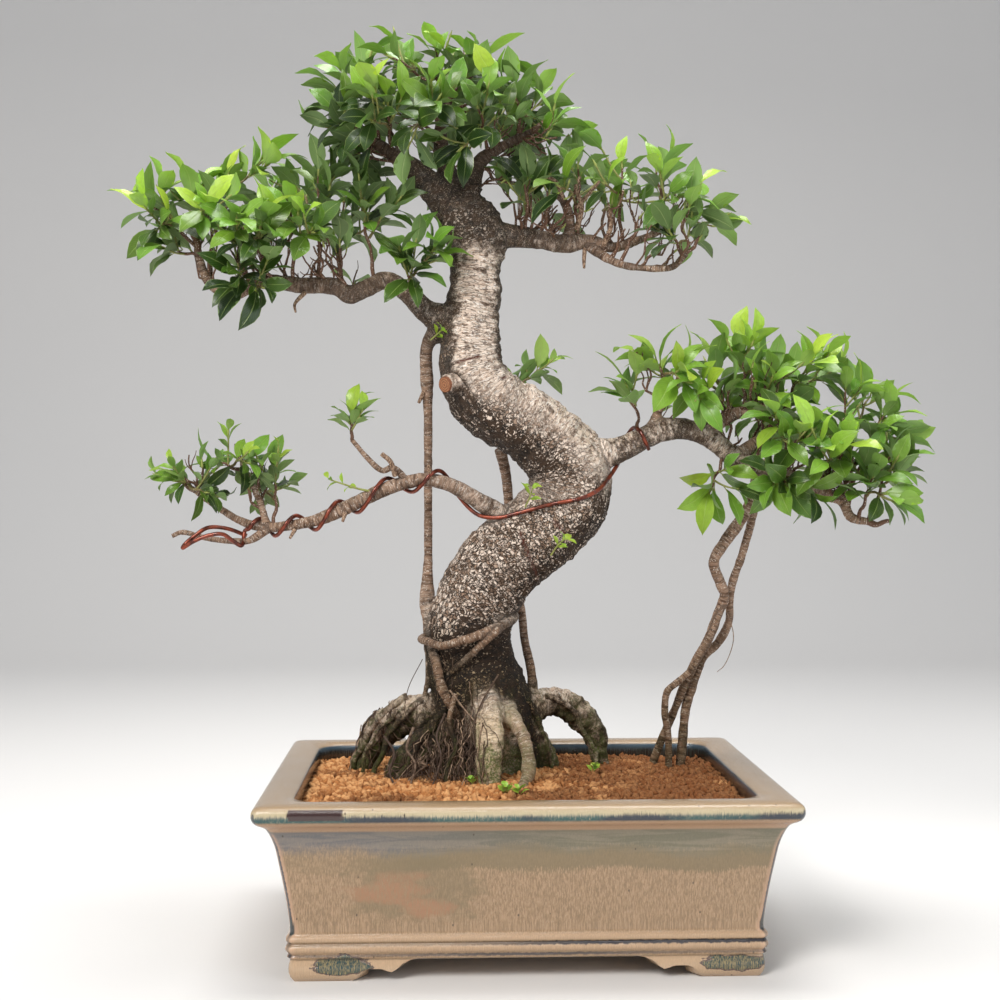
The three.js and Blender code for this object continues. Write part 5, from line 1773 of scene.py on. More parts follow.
    def build(self) -> bpy.types.Object:
        """Builds the skin, roughens it and stores what its finish needs.

        Returns:
            The skin as an object.
        """
        mesh = self.grown_together()
        places = spread_out(mesh, coordinates(mesh), self.rounds)
        rooted = eased(places[:, 2] / MM, 300, 250)[:, None]
        places = places + rooted * (spread_out(mesh, places, self.root_rounds) - places)
        grain, girth, zone = self.nearest(places)
        depth = 0.8 * MM * self.scar_depth(places)
        move_points(mesh, places)
        rise = self.relief(grain, girth, zone, places[:, 2] / MM) - depth
        places = places + coordinates(mesh, "normal") * rise[:, None]
        move_points(mesh, places)
        self.mark(mesh)
        smooth_shaded(mesh)
        self.surface = BVHTree.FromPolygons([Vector(p) for p in places],
                                            [tuple(f.vertices) for f in mesh.polygons])
        return next(o for o in bpy.data.objects if o.data == mesh)

    def dress(self, finish: BarkFinish) -> None:
        """Builds the wood, covers it and ties it to the frame.

        Args:
            finish: what it is covered with.
        """
        wood = self.build()
        wood.data.materials.append(finish.material())
        finish_piece(wood, "bark", "tree")


@dataclass
class ThinLimbs:
    """Aerial roots and thin branches, swept along their lines with small knots."""

    sides: int = 10
    knot: float = 0.14
    rootlets: tuple[tuple[Sequence[float], ...], ...] = (
        ((-92, 40, 212, 3.2), (-112, 34, 196, 3.2), (-126, 34, 172, 2.8), (-136, 36, 150, 2.6),
         (-142, 34, 130, 2.4)),
        ((-108, 52, 214, 3.6), (-130, 48, 196, 3.4), (-148, 50, 172, 3.2), (-160, 52, 148, 2.8),
         (-168, 50, 130, 2.6)),
        ((-72, 20, 214, 3.2), (-86, 8, 192, 3.0), (-98, 0, 172, 2.8), (-108, -6, 150, 2.4),
         (-116, -10, 130, 2.2)),
        ((-58, 2, 222, 2.8), (-64, -6, 198, 2.4), (-60, -12, 174, 2.2), (-68, -18, 150, 2.0),
         (-64, -22, 130, 1.8)),
        ((-118, 40, 204, 2.2), (-134, 30, 184, 2.0), (-146, 30, 160, 2.0), (-150, 30, 130, 1.8)),
        ((26, 46, 214, 3.0), (50, 54, 202, 2.8), (66, 62, 180, 2.6), (74, 64, 154, 2.4), (82, 62, 130, 2.2)),
        ((8, 36, 212, 2.8), (24, 42, 184, 2.6), (34, 44, 158, 2.2), (38, 42, 130, 2.0)),
        ((-44, 4, 236, 2.4), (-42, -6, 206, 2.2), (-44, -14, 176, 2.0), (-38, -24, 150, 1.8),
         (-42, -30, 130, 1.6)))

    def paths(self) -> list[tuple[str, Path]]:
        """The thin limbs' paths, a little uneven in thickness.

        Returns:
            One path for each limb.
        """
        found = []
        for number, name in enumerate(SWEPT_LIMBS):
            path = Path.through(LIMBS[name], 2.5)
            bumps = knots_along(path, (5.3 * number, 0), 0.11)
            rings = knots_along(path, (1.7 * number, 9), 0.42)
            path.radii = path.radii * (1 + self.knot * bumps + 0.05 * rings)
            sway = sway_along(path, (3.1 * number, 4), 0.035)
            ease = np.minimum(1, 5 * np.minimum(np.linspace(0, 1, len(sway)),
                                                np.linspace(1, 0, len(sway))))[:, None]
            path.points = path.points + sway * ease * 1.2 * MM
            found.append((name, path))
        return found

    def clinging(self, surface: BVHTree) -> list[Path]:
        """Rootlets that cling to the bark, and stand free below it.

        Args:
            surface: the skin of the wood.

        Returns:
            One path for each rootlet.
        """
        found = []
        for rows in self.rootlets:
            path = Path.through(rows, 3.0)
            sway = sway_along(path, (rows[0][0], 7), 0.06)
            spots = path.points + sway * 3.5 * MM
            for i, radius in enumerate(path.radii):
                near, normal, _, away = surface.find_nearest(Vector(spots[i]))
                if away < 12 * MM or (Vector(spots[i]) - near).dot(normal) < 0:
                    spots[i] = near + normal * 0.35 * radius
            spots[1:-1] = 0.25 * spots[:-2] + 0.5 * spots[1:-1] + 0.25 * spots[2:]
            found.append(Path(spots, path.radii))
        return found

    def dress(self, finish: BarkFinish, wood: Wood) -> None:
        """Sweeps the limbs and covers them with the same bark.

        Args:
            finish: what it is covered with.
            wood: the thick limbs, whose marks the bark needs.
        """
        named = self.paths()
        paths = [path for _, path in named] + self.clinging(wood.surface)
        piece = swept("aerial_roots", paths, self.sides, finish.material())
        wood.mark(piece.data, scarred=False)
        finish_piece(piece, "bark")


@dataclass
class DeadStubs:
    """Dry ends of pruned twigs, and the sawn stub on the trunk's left with its fresh face."""

    sides: int = 8
    collar: tuple[tuple[float, ...], ...] = (
        (-46, 40, 518, 12), (-58, 26, 516, 11), (-65, 18, 515, 10), (-68.5, 14, 514.5, 9.6),
                                             (-69.5, 12.8, 514.3, 8.6))
    cut_face: tuple[tuple[float, ...], ...] = (
        (-66, 17, 515, 7.6), (-69.8, 12.4, 514.2, 7.7), (-70.6, 11.4, 514.1, 7.3), (-70.9, 11.1, 514.0, 6.6))

    def dress(self, finish: DeadWoodFinish, bark: BarkFinish, sawn: SawnFinish, wood: Wood) -> None:
        """Sweeps the stubs, the collar and the sawn face, and covers them.

        Args:
            finish: what it is covered with.
            bark: the finish of the bark.
            sawn: the finish of the sawn faces.
            wood: the thick limbs, whose marks the bark needs.
        """
        paths = [Path.through(rows, 2.0) for rows in DEAD_STUBS]
        finish_piece(swept("dead_stubs", paths, self.sides, finish.material()), "bark")
        collar = swept("sawn_stub", [Path.through(self.collar, 1.2)], 22, bark.material())
        wood.mark(collar.data, scarred=False)
        finish_piece(collar, "bark")
        finish_piece(swept("sawn_face", [Path.through(self.cut_face, 0.8)], 22, sawn.material()), "bark")


@dataclass
class HairRoots:
    """Fibrous roots: a mat that hangs from the left root to the soil, creeping threads and loose hairs."""

    hanging: int = 150
    creeping: int = 70
    sides: int = 4
    floor: float = 138.0
    crest: tuple[tuple[float, ...], ...] = (
        (-112, 16, 152), (-100, 12, 170), (-88, 8, 184), (-74, 4, 196), (-60, 0, 208), (-48, -4, 214),
                                            (-42, -8, 196))
    foot: tuple[tuple[float, ...], ...] = (
        (-118, 2, 138), (-104, -6, 138), (-92, -10, 138), (-80, -12, 138), (-66, -14, 138), (-54, -18, 138),
                                           (-42, -22, 138))
    threads: tuple[tuple[Sequence[float], ...], ...] = (
        ((-92, 44, 250, 0.5), (-106, 30, 222, 0.5), (-108, 24, 200, 0.5), (-100, 22, 190, 0.4),
         (-96, 26, 214, 0.4)),
        ((205, 50, 300, 0.5), (212, 44, 270, 0.5), (203, 44, 243, 0.4), (196, 46, 236, 0.3)),
        ((-66, -4, 226, 1.0), (-50, -8, 206, 0.9), (-36, -10, 190, 0.8), (-24, -16, 178, 0.6)),
        ((-20, -2, 240, 0.9), (-36, -6, 214, 0.8), (-44, -12, 190, 0.7), (-40, -22, 160, 0.6),
         (-48, -30, 138, 0.5)),
        ((-70, -2, 204, 1.4), (-78, -10, 184, 1.2), (-74, -18, 166, 1.1), (-82, -24, 140, 0.9)),
        ((-128, 14, 180, 1.6), (-118, 2, 166, 1.4), (-122, -6, 150, 1.2), (-116, -14, 136, 1.0)),
        ((-100, 4, 190, 1.8), (-106, -6, 172, 1.5), (-98, -14, 158, 1.3), (-104, -22, 136, 1.0)))

    def pushed_out(self, spot: Vector, surface: BVHTree, gap: float) -> Vector:
        """The spot, moved out of the bark where it lies inside it.

        Args:
            spot: a place.
            surface: the skin of the wood.
            gap: how far it stays off the bark, in metres.

        Returns:
            The place, moved or not.
        """
        near, normal, _, _ = surface.find_nearest(spot)
        if near is None or (spot - near).dot(normal) > gap:
            return spot
        return near + normal * gap

    def hang(self, random: np.random.Generator, surface: BVHTree) -> Path:
        """One fibre that hangs from the left root's crest and wanders down to the soil.

        Args:
            random: source of random numbers.
            surface: the bark.

        Returns:
            Its path.
        """
        share, drop = random.uniform(0, 1), random.uniform(0, 0.55)
        crest, foot = (catmull_rom(np.array(line, float), np.array([share]))[0]
                       for line in (self.crest, self.foot))
        start = crest + (foot - crest) * drop
        end = foot + random.normal(0, (14, 6, 0))
        start, end = place([start, end])
        steps = max(6, int(np.linalg.norm(end - start) / (4 * MM)))
        sway, points = np.zeros(3), []
        for k in range(steps + 1):
            sway = 0.82 * sway + random.normal(0, (2.9, 1.5, 1.6)) * MM
            ease = math.sin(math.pi * min(1.0, (k + 1) / steps))
            spot = Vector(start + (end - start) * k / steps + sway * ease)
            points.append(tuple(self.pushed_out(spot, surface, random.uniform(0.4, 3.0) * MM)))
        thick = random.choice([0.32, 0.45, 0.7, 1.1], p=[0.45, 0.33, 0.15, 0.07]) * MM
        return Path(np.array(points), np.linspace(thick, 0.55 * thick, len(points)))

    def creep(self, random: np.random.Generator, surface: BVHTree) -> Path:
        """One thread that creeps down over the bark of the trunk's foot.

        Args:
            random: source of random numbers.
            surface: the bark.

        Returns:
            Its path.
        """
        angle, height = math.radians(random.uniform(150, 258)), random.uniform(146, 250)
        spot = Vector(place([[-38 + 120 * math.cos(angle), 48 + 120 * math.sin(angle), height]])[0])
        drift, points = random.normal(0, 1.2), []
        for _ in range(int(random.uniform(7, 26))):
            near, normal, _, _ = surface.find_nearest(spot)
            spot = near + normal * random.uniform(0.5, 1.6) * MM
            points.append(tuple(spot))
            if spot.z < self.floor * MM:
                break
            drift = 0.85 * drift + random.normal(0, 0.9)
            spot = spot + Vector((drift, random.normal(0, 1.0), -abs(random.normal(3.2, 1.4)))) * MM
        points.append((points[-1][0], points[-1][1], points[-1][2] - 2.5 * MM))
        thick = random.uniform(0.3, 0.8) * MM
        return Path(np.array(points), np.linspace(thick, 0.5 * thick, len(points)))

    def dress(self, finish: RootFinish, surface: BVHTree) -> None:
        """Grows the fibres and covers them.

        Args:
            finish: what it is covered with.
            surface: the skin of the wood.
        """
        random = np.random.default_rng(SEED)
        paths = [self.hang(random, surface) for _ in range(self.hanging)]
        paths += [self.creep(random, surface) for _ in range(self.creeping)]
        paths += [Path.through(rows, 3.0) for rows in self.threads]
        tones = random.uniform(0, 1, len(paths)) ** 2.4
        finish_piece(swept("hair_roots", paths, self.sides, finish.material(), {"tone": tones}), "bark")


@dataclass
class TrainingWire:
    """Copper training wire: hook, turns round the low branch, way over the trunk, turn at the right."""

    radius: float = 2.0
    clearance: float = 1.0
    swell: float = 1.04
    steps_per_turn: int = 6
    last_turn: tuple[float, float, float, float] = (0.125, 0.24, 1.1, -0.55)

    def reach(self, limb: str, share: float) -> float:
        """Distance of the wire's middle line from a limb's, in millimetres."""
        return limb_radius(limb, share) * self.swell + self.radius + self.clearance

    def turns(self) -> list[list[float]]:
        """Turns round the low branch, in millimetres of the pot's frame.

        Returns:
            Places along the turns.
        """
        places = limb_curve("lower_left", np.linspace(0, 1, 401))
        points = []
        for start, end in zip(WIRE_TURNS_X, WIRE_TURNS_X[1:]):
            for step in range(self.steps_per_turn):
                turn = step / self.steps_per_turn
                x = start + (end - start) * turn
                i = int(np.argmax(places[:, 0] < x))
                reach, angle = self.reach("lower_left", i / 401), 2 * math.pi * turn
                points.append([x, places[i][1] - reach * math.sin(angle),
                               places[i][2] - reach * math.cos(angle)])
        return points

    def over_trunk(self, surface: BVHTree) -> list[list[float]]:
        """The stretch that lies on the front of the trunk, in millimetres of the pot's frame.

        Args:
            surface: the skin of the wood.

        Returns:
            Places along the stretch.
        """
        line = catmull_rom(np.array([[x, -200, z] for x, z in WIRE_TRUNK]), np.linspace(0, 1, 13))
        points = []
        for start in line:
            hit = surface.ray_cast(Vector(place([start])[0]), Vector((0, 1, 0)))[0]
            points.append([start[0], hit.y / MM - self.radius - 0.5, start[2]])
        return points

    def end_turn(self) -> list[list[float]]:
        """The last turn, round the right branch, in millimetres of the pot's frame.

        Returns:
            Places along the turn.
        """
        first, last, turns, start = self.last_turn
        points = []
        for k in range(1, 9):
            share = first + (last - first) * k / 8
            middle, reach = limb_curve("middle_right", [share])[0], self.reach("middle_right", share)
            angle = start - 2 * math.pi * turns * k / 8
            points.append([middle[0], middle[1] - reach * math.cos(angle),
                           middle[2] + reach * math.sin(angle)])
        return points

    def dress(self, finish: WireFinish, surface: BVHTree) -> None:
        """Sweeps the wire and covers it.

        Args:
            finish: what it is covered with.
            surface: the skin of the wood.
        """
        route = [*WIRE_HOOK, *self.turns(), WIRE_LEAD, *self.over_trunk(surface), *self.end_turn()]
        path = Path.through([[*point, self.radius] for point in route], 2.0)
        finish_piece(swept("copper_wire", [path], 14, finish.material()), "wire", "training_wire")


@dataclass
class LeafShapes:
    """Leaves of unit length along +X: a stalk, then a blade with a drawn-out tip, arched and folded."""

    count: int = 8
    stalk: float = 0.15
    half_width: float = 0.204
    thickness: float = 0.014
    stations: tuple[tuple[float, float], ...] = (
        (0.05, 0.30), (0.17, 0.68), (0.34, 0.94), (0.52, 1.0), (0.70, 0.83), (0.86, 0.43), (0.945, 0.14))

    def mesh(self, number: int) -> bpy.types.Mesh:
        """One leaf, closed, with the attribute `blade` on its corners.

        Args:
            number: which of the shapes it is.

        Returns:
            The mesh.
        """
        random = np.random.default_rng(SEED + number)
        arch, fold = random.uniform(0.22, 0.62), random.uniform(0.02, 0.24)
        curl, twist, bend = random.uniform(0.0, 0.30), random.uniform(-0.5, 0.5), random.uniform(-0.05, 0.05)
        wave, fullness = random.uniform(0.0, 0.03), random.uniform(0.84, 1.10)

        def spot(share: float, across: float, sheet: float) -> tuple[float, float, float]:
            """A place on the blade.

            Args:
                share: share of the blade's length.
                across: share of its half width.
                sheet: 1 on its upper side, -1 on its underside.

            Returns:
                The x, y and z of the place.
            """
            s = self.stalk + (1 - self.stalk) * share
            width = np.interp(share, *zip((0, 0.03), *self.stations, (1, 0))) * self.half_width * fullness
            y = across * width + bend * math.sin(math.pi * share)
            z = arch * s * (1 - s) - 0.05 * s - curl * max(0.0, share - 0.6) ** 2
            z += fold * (0.5 * abs(across)
                         + 0.5 * across ** 2) * width + wave * math.sin(9 * share + 2) * abs(across)
            z += twist * across * width * share + sheet * self.thickness / 2 * (1 - across ** 2)
            return (s, y, z)

        points, marks, faces, under = [], [], [], []
        for s, thick in ((0.0, 0.017), (self.stalk * 0.6, 0.013)):
            middle = arch * s * (1 - s) - 0.05 * s
            points += [(s, thick, middle), (s, 0, middle + thick), (s, -thick, middle),
                       (s, 0, middle - thick)]
            marks += [(s - self.stalk, 0.0)] * 4
        ring = len(points)
        for share, _ in self.stations:
            across = [1, 0.5, 0, -0.5, -1]
            points += [spot(share, a, 1) for a in across] + [spot(share, a, -1) for a in (-0.5, 0, 0.5)]
            marks += [(share, a) for a in (*across, -0.5, 0, 0.5)]
        tip = len(points)
        points.append(spot(1.0, 0, 0))
        marks.append((1.0, 0.0))
        faces += [[3, 2, 1, 0]] + [[j, (j + 1) % 4, 4 + (j + 1) % 4, 4 + j] for j in range(4)]
        under += [0] * 5
        faces += [[4, 5, ring + 1, ring], [5, ring + 2, ring + 1], [5, ring + 3, ring + 2],
                  [5, 6, ring + 4, ring + 3],
                  [6, 7, ring + 5, ring + 4], [7, ring + 6, ring + 5], [7, ring + 7, ring + 6],
                  [7, 4, ring, ring + 7]]
        under += [0, 0, 0, 0, 1, 1, 1, 1]
        faces += ring_quads(ring, len(self.stations), 8)
        last = tip - 8
        faces += [[last + j, last + (j + 1) % 8, tip] for j in range(8)]
        under += [int(j >= 4) for _ in self.stations for j in range(8)]
        mesh = mesh_from(f"leaf_shape_{number}", points, faces)
        corners = [(*marks[v], under[face.index]) for face in mesh.polygons for v in face.vertices]
        set_attribute(mesh, "blade", np.array(corners, float), "CORNER")
        rim = {ring + 8 * k + j for k in range(len(self.stations)) for j in (0, 4)} | {tip}
        sharp = [edge.vertices[0] in rim and edge.vertices[1] in rim for edge in mesh.edges]
        mesh.attributes.new("sharp_edge", "BOOLEAN", "EDGE").data.foreach_set("value", sharp)
        return smooth_shaded(mesh)

    def collection(self) -> bpy.types.Collection:
        """All the shapes, for geometry nodes to choose from."""
        return shape_collection("leaf_shapes", [self.mesh(number) for number in range(self.count)])


@dataclass
class Leaf:
    """A leaf: its frame with the blade along X and facing Z, its length, and which spray it belongs to."""

    frame: Matrix
    length: float
    spray: int
    youth: float

    def at(self, along: float, across: float = 0.0) -> Vector:
        """A place on the leaf."""
        return self.frame @ Vector((along * self.length, across * self.length, 0.065 * self.length))


def pad_of(spray: int) -> str:
    """The pad that a spray belongs to: the first word of its name."""
    return SPRAYS[spray][0].split("_")[0]


def leaf_frame(root: Vector, along: Vector, facing: Vector) -> Matrix:
    """A frame at a place with X along a direction and Z as near as possible to another.

    Args:
        root: the place.
        along: where X points.
        facing: where Z should point.

    Returns:
        The frame.
    """
    x = along.normalized()
    y = facing.cross(x).normalized()
    z = x.cross(y)
    turn = Matrix((x, y, z)).transposed().to_4x4()
    return Matrix.Translation(root) @ turn


def leaves_of_node(obj: bpy.types.Object, spray: int, thickness: float = 1.8 * MM) -> list[Leaf]:
    """Finds the leaves of a packed spray by the two middle points of each blade.

    Args:
        obj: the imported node.
        spray: its number.
        thickness: distance between a blade's two middle points.

    Returns:
        Its leaves.
    """
    places, index = np.unique(np.round(coordinates(obj.data), 5), axis=0, return_inverse=True)
    index = index.ravel()
    near: dict[int, set[int]] = {}
    for face in obj.data.polygons:
        spots = [int(index[v]) for v in face.vertices]
        for a, b in zip(spots, spots[1:] + spots[:1]):
            near.setdefault(a, set()).add(b)
            near.setdefault(b, set()).add(a)
    found = []
    for top in near:
        rivals = {c for b in near[top] for c in near[b]} - near[top] - {top}
        for bottom in rivals:
            gap = places[top] - places[bottom]
            rim = near[top] & near[bottom]
            if abs(np.linalg.norm(gap) - thickness) > 0.06 * MM or len(rim) < 4 or top > bottom:
                continue
            rest = list((near[top] | near[bottom]) - rim)
            if not rest:
                continue
            root, middle = places[rest].mean(axis=0), (places[top] + places[bottom]) / 2
            tip = places[max(rim, key=lambda v: np.linalg.norm(places[v] - root))]
            up = Vector(gap).normalized()
            along = Vector(tip - middle)
            if along.dot(up) > 0:
                up = -up
            along -= up * along.dot(up)
            length = along.length / 0.5
            origin = Vector(middle) - along.normalized() * 0.5 * length - up * 0.065 * length
            found.append(Leaf(leaf_frame(origin, along, up), length, spray, 0.0))
    return found


@dataclass
class Foliage:
    """Sprays of leaves on forking twigs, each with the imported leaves' places and finer ones between them."""

    root_gap: float = 9.0
    fork_start: float = 0.45
    leaf_length: float = 43.0
    crowd: float = 11.5
    fullness: dict[str, float] = field(default_factory=lambda: {
        "apex": 0.62, "left": 0.76, "right": 0.34, "middle": 0.66, "lower": 1.0, "trunk": 0.7})
    light: dict[str, float] = field(default_factory=lambda: {
        "apex": 0.84, "left": 1.12, "right": 0.92, "middle": 1.12})
    small: float = 0.60
    clearing: tuple[tuple[float, ...], tuple[float, ...]] = ((26, -60, 664), (94, 42, 724))
    random: np.random.Generator = field(default_factory=lambda: np.random.default_rng(SEED))
    leaves: list[Leaf] = field(default_factory=list)
    twigs: list[Path] = field(default_factory=list)
    ages: list[float] = field(default_factory=list)
    buds: list[Path] = field(default_factory=list)
    middles: list[Vector] = field(default_factory=list)

    def stems(self) -> list[list[np.ndarray]]:
        """Middle lines of each spray's stem and fork, in millimetres of the pot's frame.

        Returns:
            The lines of each spray.
        """
        used, found = [], []
        for name, limb, *tips in SPRAYS:
            spots = limb_curve(limb, np.arange(12, 101) / 100)
            free = [p for p in spots if all(np.linalg.norm(p - u) >= self.root_gap for u in used)]
            target = np.array(tips[0], float)
            root = min(free, key=lambda p: np.linalg.norm(p - target) + 0.35 * abs(p[0] - target[0]))
            used.append(root)
            attempt, lines = STEM_BOWS.get(name, 0), []
            for tip in tips:
                reach = np.linalg.norm(np.array(tip) - root)
                size, swing = 0.012 * attempt * reach, attempt * GOLDEN_ANGLE
                bow = np.array([size * math.cos(swing), size * math.sin(swing), 0.06 * reach])
                rows = np.array([root, (root + np.array(tip)) / 2 + bow, tip])
                lines.append(catmull_rom(rows, np.linspace(0, 1, 15)))
                root, attempt = catmull_rom(rows, np.array([self.fork_start]))[0], 0
            found.append(lines)
        return found

    def fits(self, leaf: Leaf, surface: BVHTree) -> bool:
        """Whether a leaf stays in the part's box, out of the wood and clear of the others.

        Args:
            leaf: the leaf to try.
            surface: the skin of the wood.

        Returns:
            True if it does.
        """
        spots = [leaf.at(1.0), leaf.at(0.5, 0.24), leaf.at(0.5, -0.24)]
        if not all(self.in_box(spot, 2 * MM) for spot in spots):
            return False
        middle = leaf.at(0.55)
        x, y, z = (middle - POT_CENTRE) / MM
        low, high = self.clearing
        if all(a < v < b for a, v, b in zip(low, (x, y, z), high)):
            return False
        near = surface.find_nearest(middle, 12 * MM)
        if near[0] is not None:
            return False
        gap = self.crowd * MM * min(1.0, leaf.length / (30 * MM))
        return all((middle - other).length > gap for other in self.middles)

    def add(self, leaf: Leaf) -> None:
        """Keeps a leaf."""
        self.leaves.append(leaf)
        self.middles.append(leaf.at(0.55))

    def whorl(self, path: Path, spray: int, shares: Sequence[float], surface: BVHTree, youth: float) -> None:
        """Leaves round a twig by the golden angle, that open less towards its tip.

        Args:
            path: the twig.
            spray: its spray's number.
            shares: where along it the leaves grow.
            surface: the bark, which they stay clear of.
            youth: added to how new they look.
        """
        start = self.random.uniform(0, 2 * math.pi)
        tangents, sides = path.tangents(), path.sides()
        for k, share in enumerate(shares):
            i = min(int(share * (len(path.points) - 1)), len(path.points) - 1)
            tangent, side = Vector(tangents[i]), Vector(sides[i])
            up = tangent.cross(side)
            if self.random.uniform() > self.fullness[pad_of(spray)]:
                continue
            scale = self.small if pad_of(spray) in ("lower", "trunk") else 1.0
            for attempt in range(4):
                angle = start + (k + 0.35 * attempt) * GOLDEN_ANGLE
                radial = side * math.cos(angle) + up * math.sin(angle)
                spread = math.radians(self.random.uniform(50, 80) - 38 * share)
                droop = Vector((0, 0, self.random.uniform(-0.25, 0.1)))
                along = tangent * math.cos(spread) + radial * math.sin(spread) + droop
                facing = tangent * math.sin(spread) - radial * math.cos(spread) + Vector((0, 0, 0.9))
                length = scale * self.leaf_length * MM * self.random.uniform(0.72, 1.14) * (1 - 0.18 * youth)
                leaf = Leaf(leaf_frame(Vector(path.points[i]), along, facing), length, spray, youth)
                if self.fits(leaf, surface):
                    self.add(leaf)
                    break

    def bud(self, path: Path) -> None:
        """A pointed bud at a twig's end.

        Args:
            path: the twig.
        """
        end, along = path.points[-1], path.tangents()[-1]
        reach = self.random.uniform(6, 10) * MM
        steps = np.linspace(-0.15, 1, 7)
        radii = np.interp(steps, (-0.15, 0.15, 0.6, 1.0), (1.0, 1.25, 0.75, 0.12)) * MM
        self.buds.append(Path(end + steps[:, None] * reach * along, radii))

    def side_twig(self, path: Path, share: float, spray: int, surface: BVHTree) -> None:
        """A short twig from the side of a stem, with its own whorl and bud.

        Args:
            path: the stem.
            share: where along it the twig starts.
            spray: the spray's number.
            surface: the bark.
        """
        i = int(share * (len(path.points) - 1))
        tangent, side = path.tangents()[i], path.sides()[i]
        up = np.cross(tangent, side)
        angle = self.random.uniform(0, 2 * math.pi)
        radial = side * math.cos(angle) + up * math.sin(angle)
        aim = tangent * 0.6 + radial * 0.8 + np.array([0, 0, 0.15])
        aim /= np.linalg.norm(aim)
        reach = self.random.uniform(16, 30) * MM
        steps = np.linspace(0, 1, 9)[:, None]
        points = path.points[i] + steps * reach * aim + steps ** 2 * np.array([0, 0, 0.22 * reach])
        if not self.in_box(points[-1], 8 * MM):
            return
        twig = Path(points, np.linspace(1.15, 0.8, 9) * MM)
        self.twigs.append(twig)
        self.ages.append(0.25)
        self.bud(twig)
        self.whorl(twig, spray, np.linspace(0.35, 1.0, 5), surface, 0.5)

    def grow(self, surface: BVHTree) -> None:
        """Collects all leaves, twigs and buds.

        Args:
            surface: the skin of the wood.
        """
        for number, (name, *_) in enumerate(SPRAYS):
            for leaf in leaves_of_node(frame["nodes"][name], number):
                low = pad_of(number) in ("lower", "trunk")
                leaf.length *= 0.82 if low else self.random.uniform(0.90, 1.08)
                while not self.in_box(leaf.at(1.04), 1.5 * MM):
                    leaf.length *= 0.96
                self.add(leaf)
        LOG.info("leaves found in the packed sprays: %d", len(self.leaves))
        for number, lines in enumerate(self.stems()):
            for order, line in enumerate(lines):
                radii = np.linspace(2.0 if order == 0 else 1.5, 1.0, len(line)) * MM
                path = self.gnarled(Path(place(line), radii), 6.5 * MM)
                self.twigs.append(path)
                self.ages.append(1.0 if order == 0 else 0.7)
                self.bud(path)
                self.whorl(path, number, (0.98, 0.88, 0.78, 0.66, 0.54), surface, 0.25)
                for share in (0.84, 0.58):
                    self.side_twig(path, share, number, surface)
        self.tangle(surface)

    def gnarled(self, path: Path, reach: float) -> Path:
        """The path, bent this way and that between its ends, and uneven in thickness.

        Args:
            path: the path to bend.
            reach: how far it bends at most, in metres.

        Returns:
            The bent path.
        """
        offset = self.random.uniform(0, 900)
        sway, knots = sway_along(path, (offset, 3.0), 0.06), knots_along(path, (offset, 8.0), 0.22)
        ease = np.sin(np.linspace(0, math.pi, len(sway)))[:, None]
        return Path(path.points + sway * ease * reach, path.radii * (1 + 0.28 * knots))

    def bare_twig(self, root: np.ndarray, aim: np.ndarray, reach: float, thick: float) -> Path:
        """A leafless twig that turns upwards as it grows.

        Args:
            root: where it starts.
            aim: the way it leaves.
            reach: its length in metres.
            thick: its first radius in metres.

        Returns:
            The twig's path.
        """
        aim = aim / np.linalg.norm(aim)
        steps = np.linspace(0, 1, 11)[:, None]
        points = root + steps * reach * aim + steps ** 2 * np.array([0, 0, 0.30 * reach])
        return self.gnarled(Path(points, np.linspace(thick, 0.5 * thick, 11)), 0.24 * reach)

    def in_box(self, spot: Sequence[float], margin: float) -> bool:
        """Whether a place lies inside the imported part's box by a margin."""
        low, high = CAD_BOX
        return all(low[i] + margin < spot[i] < high[i] - margin for i in range(3))

    def tangle(self, surface: BVHTree) -> None:
        """Forking twigs on the branches, some bare and some leafy, and a thin end on each cut-off branch.

        Args:
            surface: the skin of the wood.
        """
        for limb, start, count, spray, leafy, rise in TWIGGY_LIMBS:
            path = Path.through(LIMBS[limb], 2.0)
            tangents = path.tangents()
            end = self.bare_twig(path.points[-1] - 2 * MM * tangents[-1], tangents[-1], 24 * MM,
                                 0.94 * path.radii[-1])
            ends = [end] if self.in_box(end.points[-1], 4 * MM) else []
            for _ in range(count):
                i = int(self.random.uniform(start, 0.99) * len(path.points))
                aim = tangents[i] * 0.7 + self.random.normal(0, 0.6, 3)
                aim[2] = abs(aim[2]) + rise
                reach = self.random.uniform(22, 52) * MM * (self.small if spray.startswith("lower") else 1.0)
                twig = self.bare_twig(path.points[i], aim, reach, self.random.uniform(1.2, 2.0) * MM)
                if not self.in_box(twig.points[-1], 10 * MM):
                    continue
                ends.append(twig)
                for fork in self.random.uniform(0.35, 0.85, 2):
                    j = int(fork * 10)
                    turn = aim / np.linalg.norm(aim) * 0.7 + self.random.normal(0, 0.55, 3)
                    turn += np.array([0, 0, 0.3])
                    side = self.bare_twig(twig.points[j], turn, 0.55 * reach, 0.75 * twig.radii[j])
                    if self.in_box(side.points[-1], 10 * MM):
                        ends.append(side)
            number = [name for name, *_ in SPRAYS].index(spray)
            for twig in ends:
                self.twigs.append(twig)
                self.ages.append(1.0)
                if self.random.uniform() < leafy:
                    self.bud(twig)
                    self.whorl(twig, number, (1.0, 0.88, 0.74), surface, 0.4)

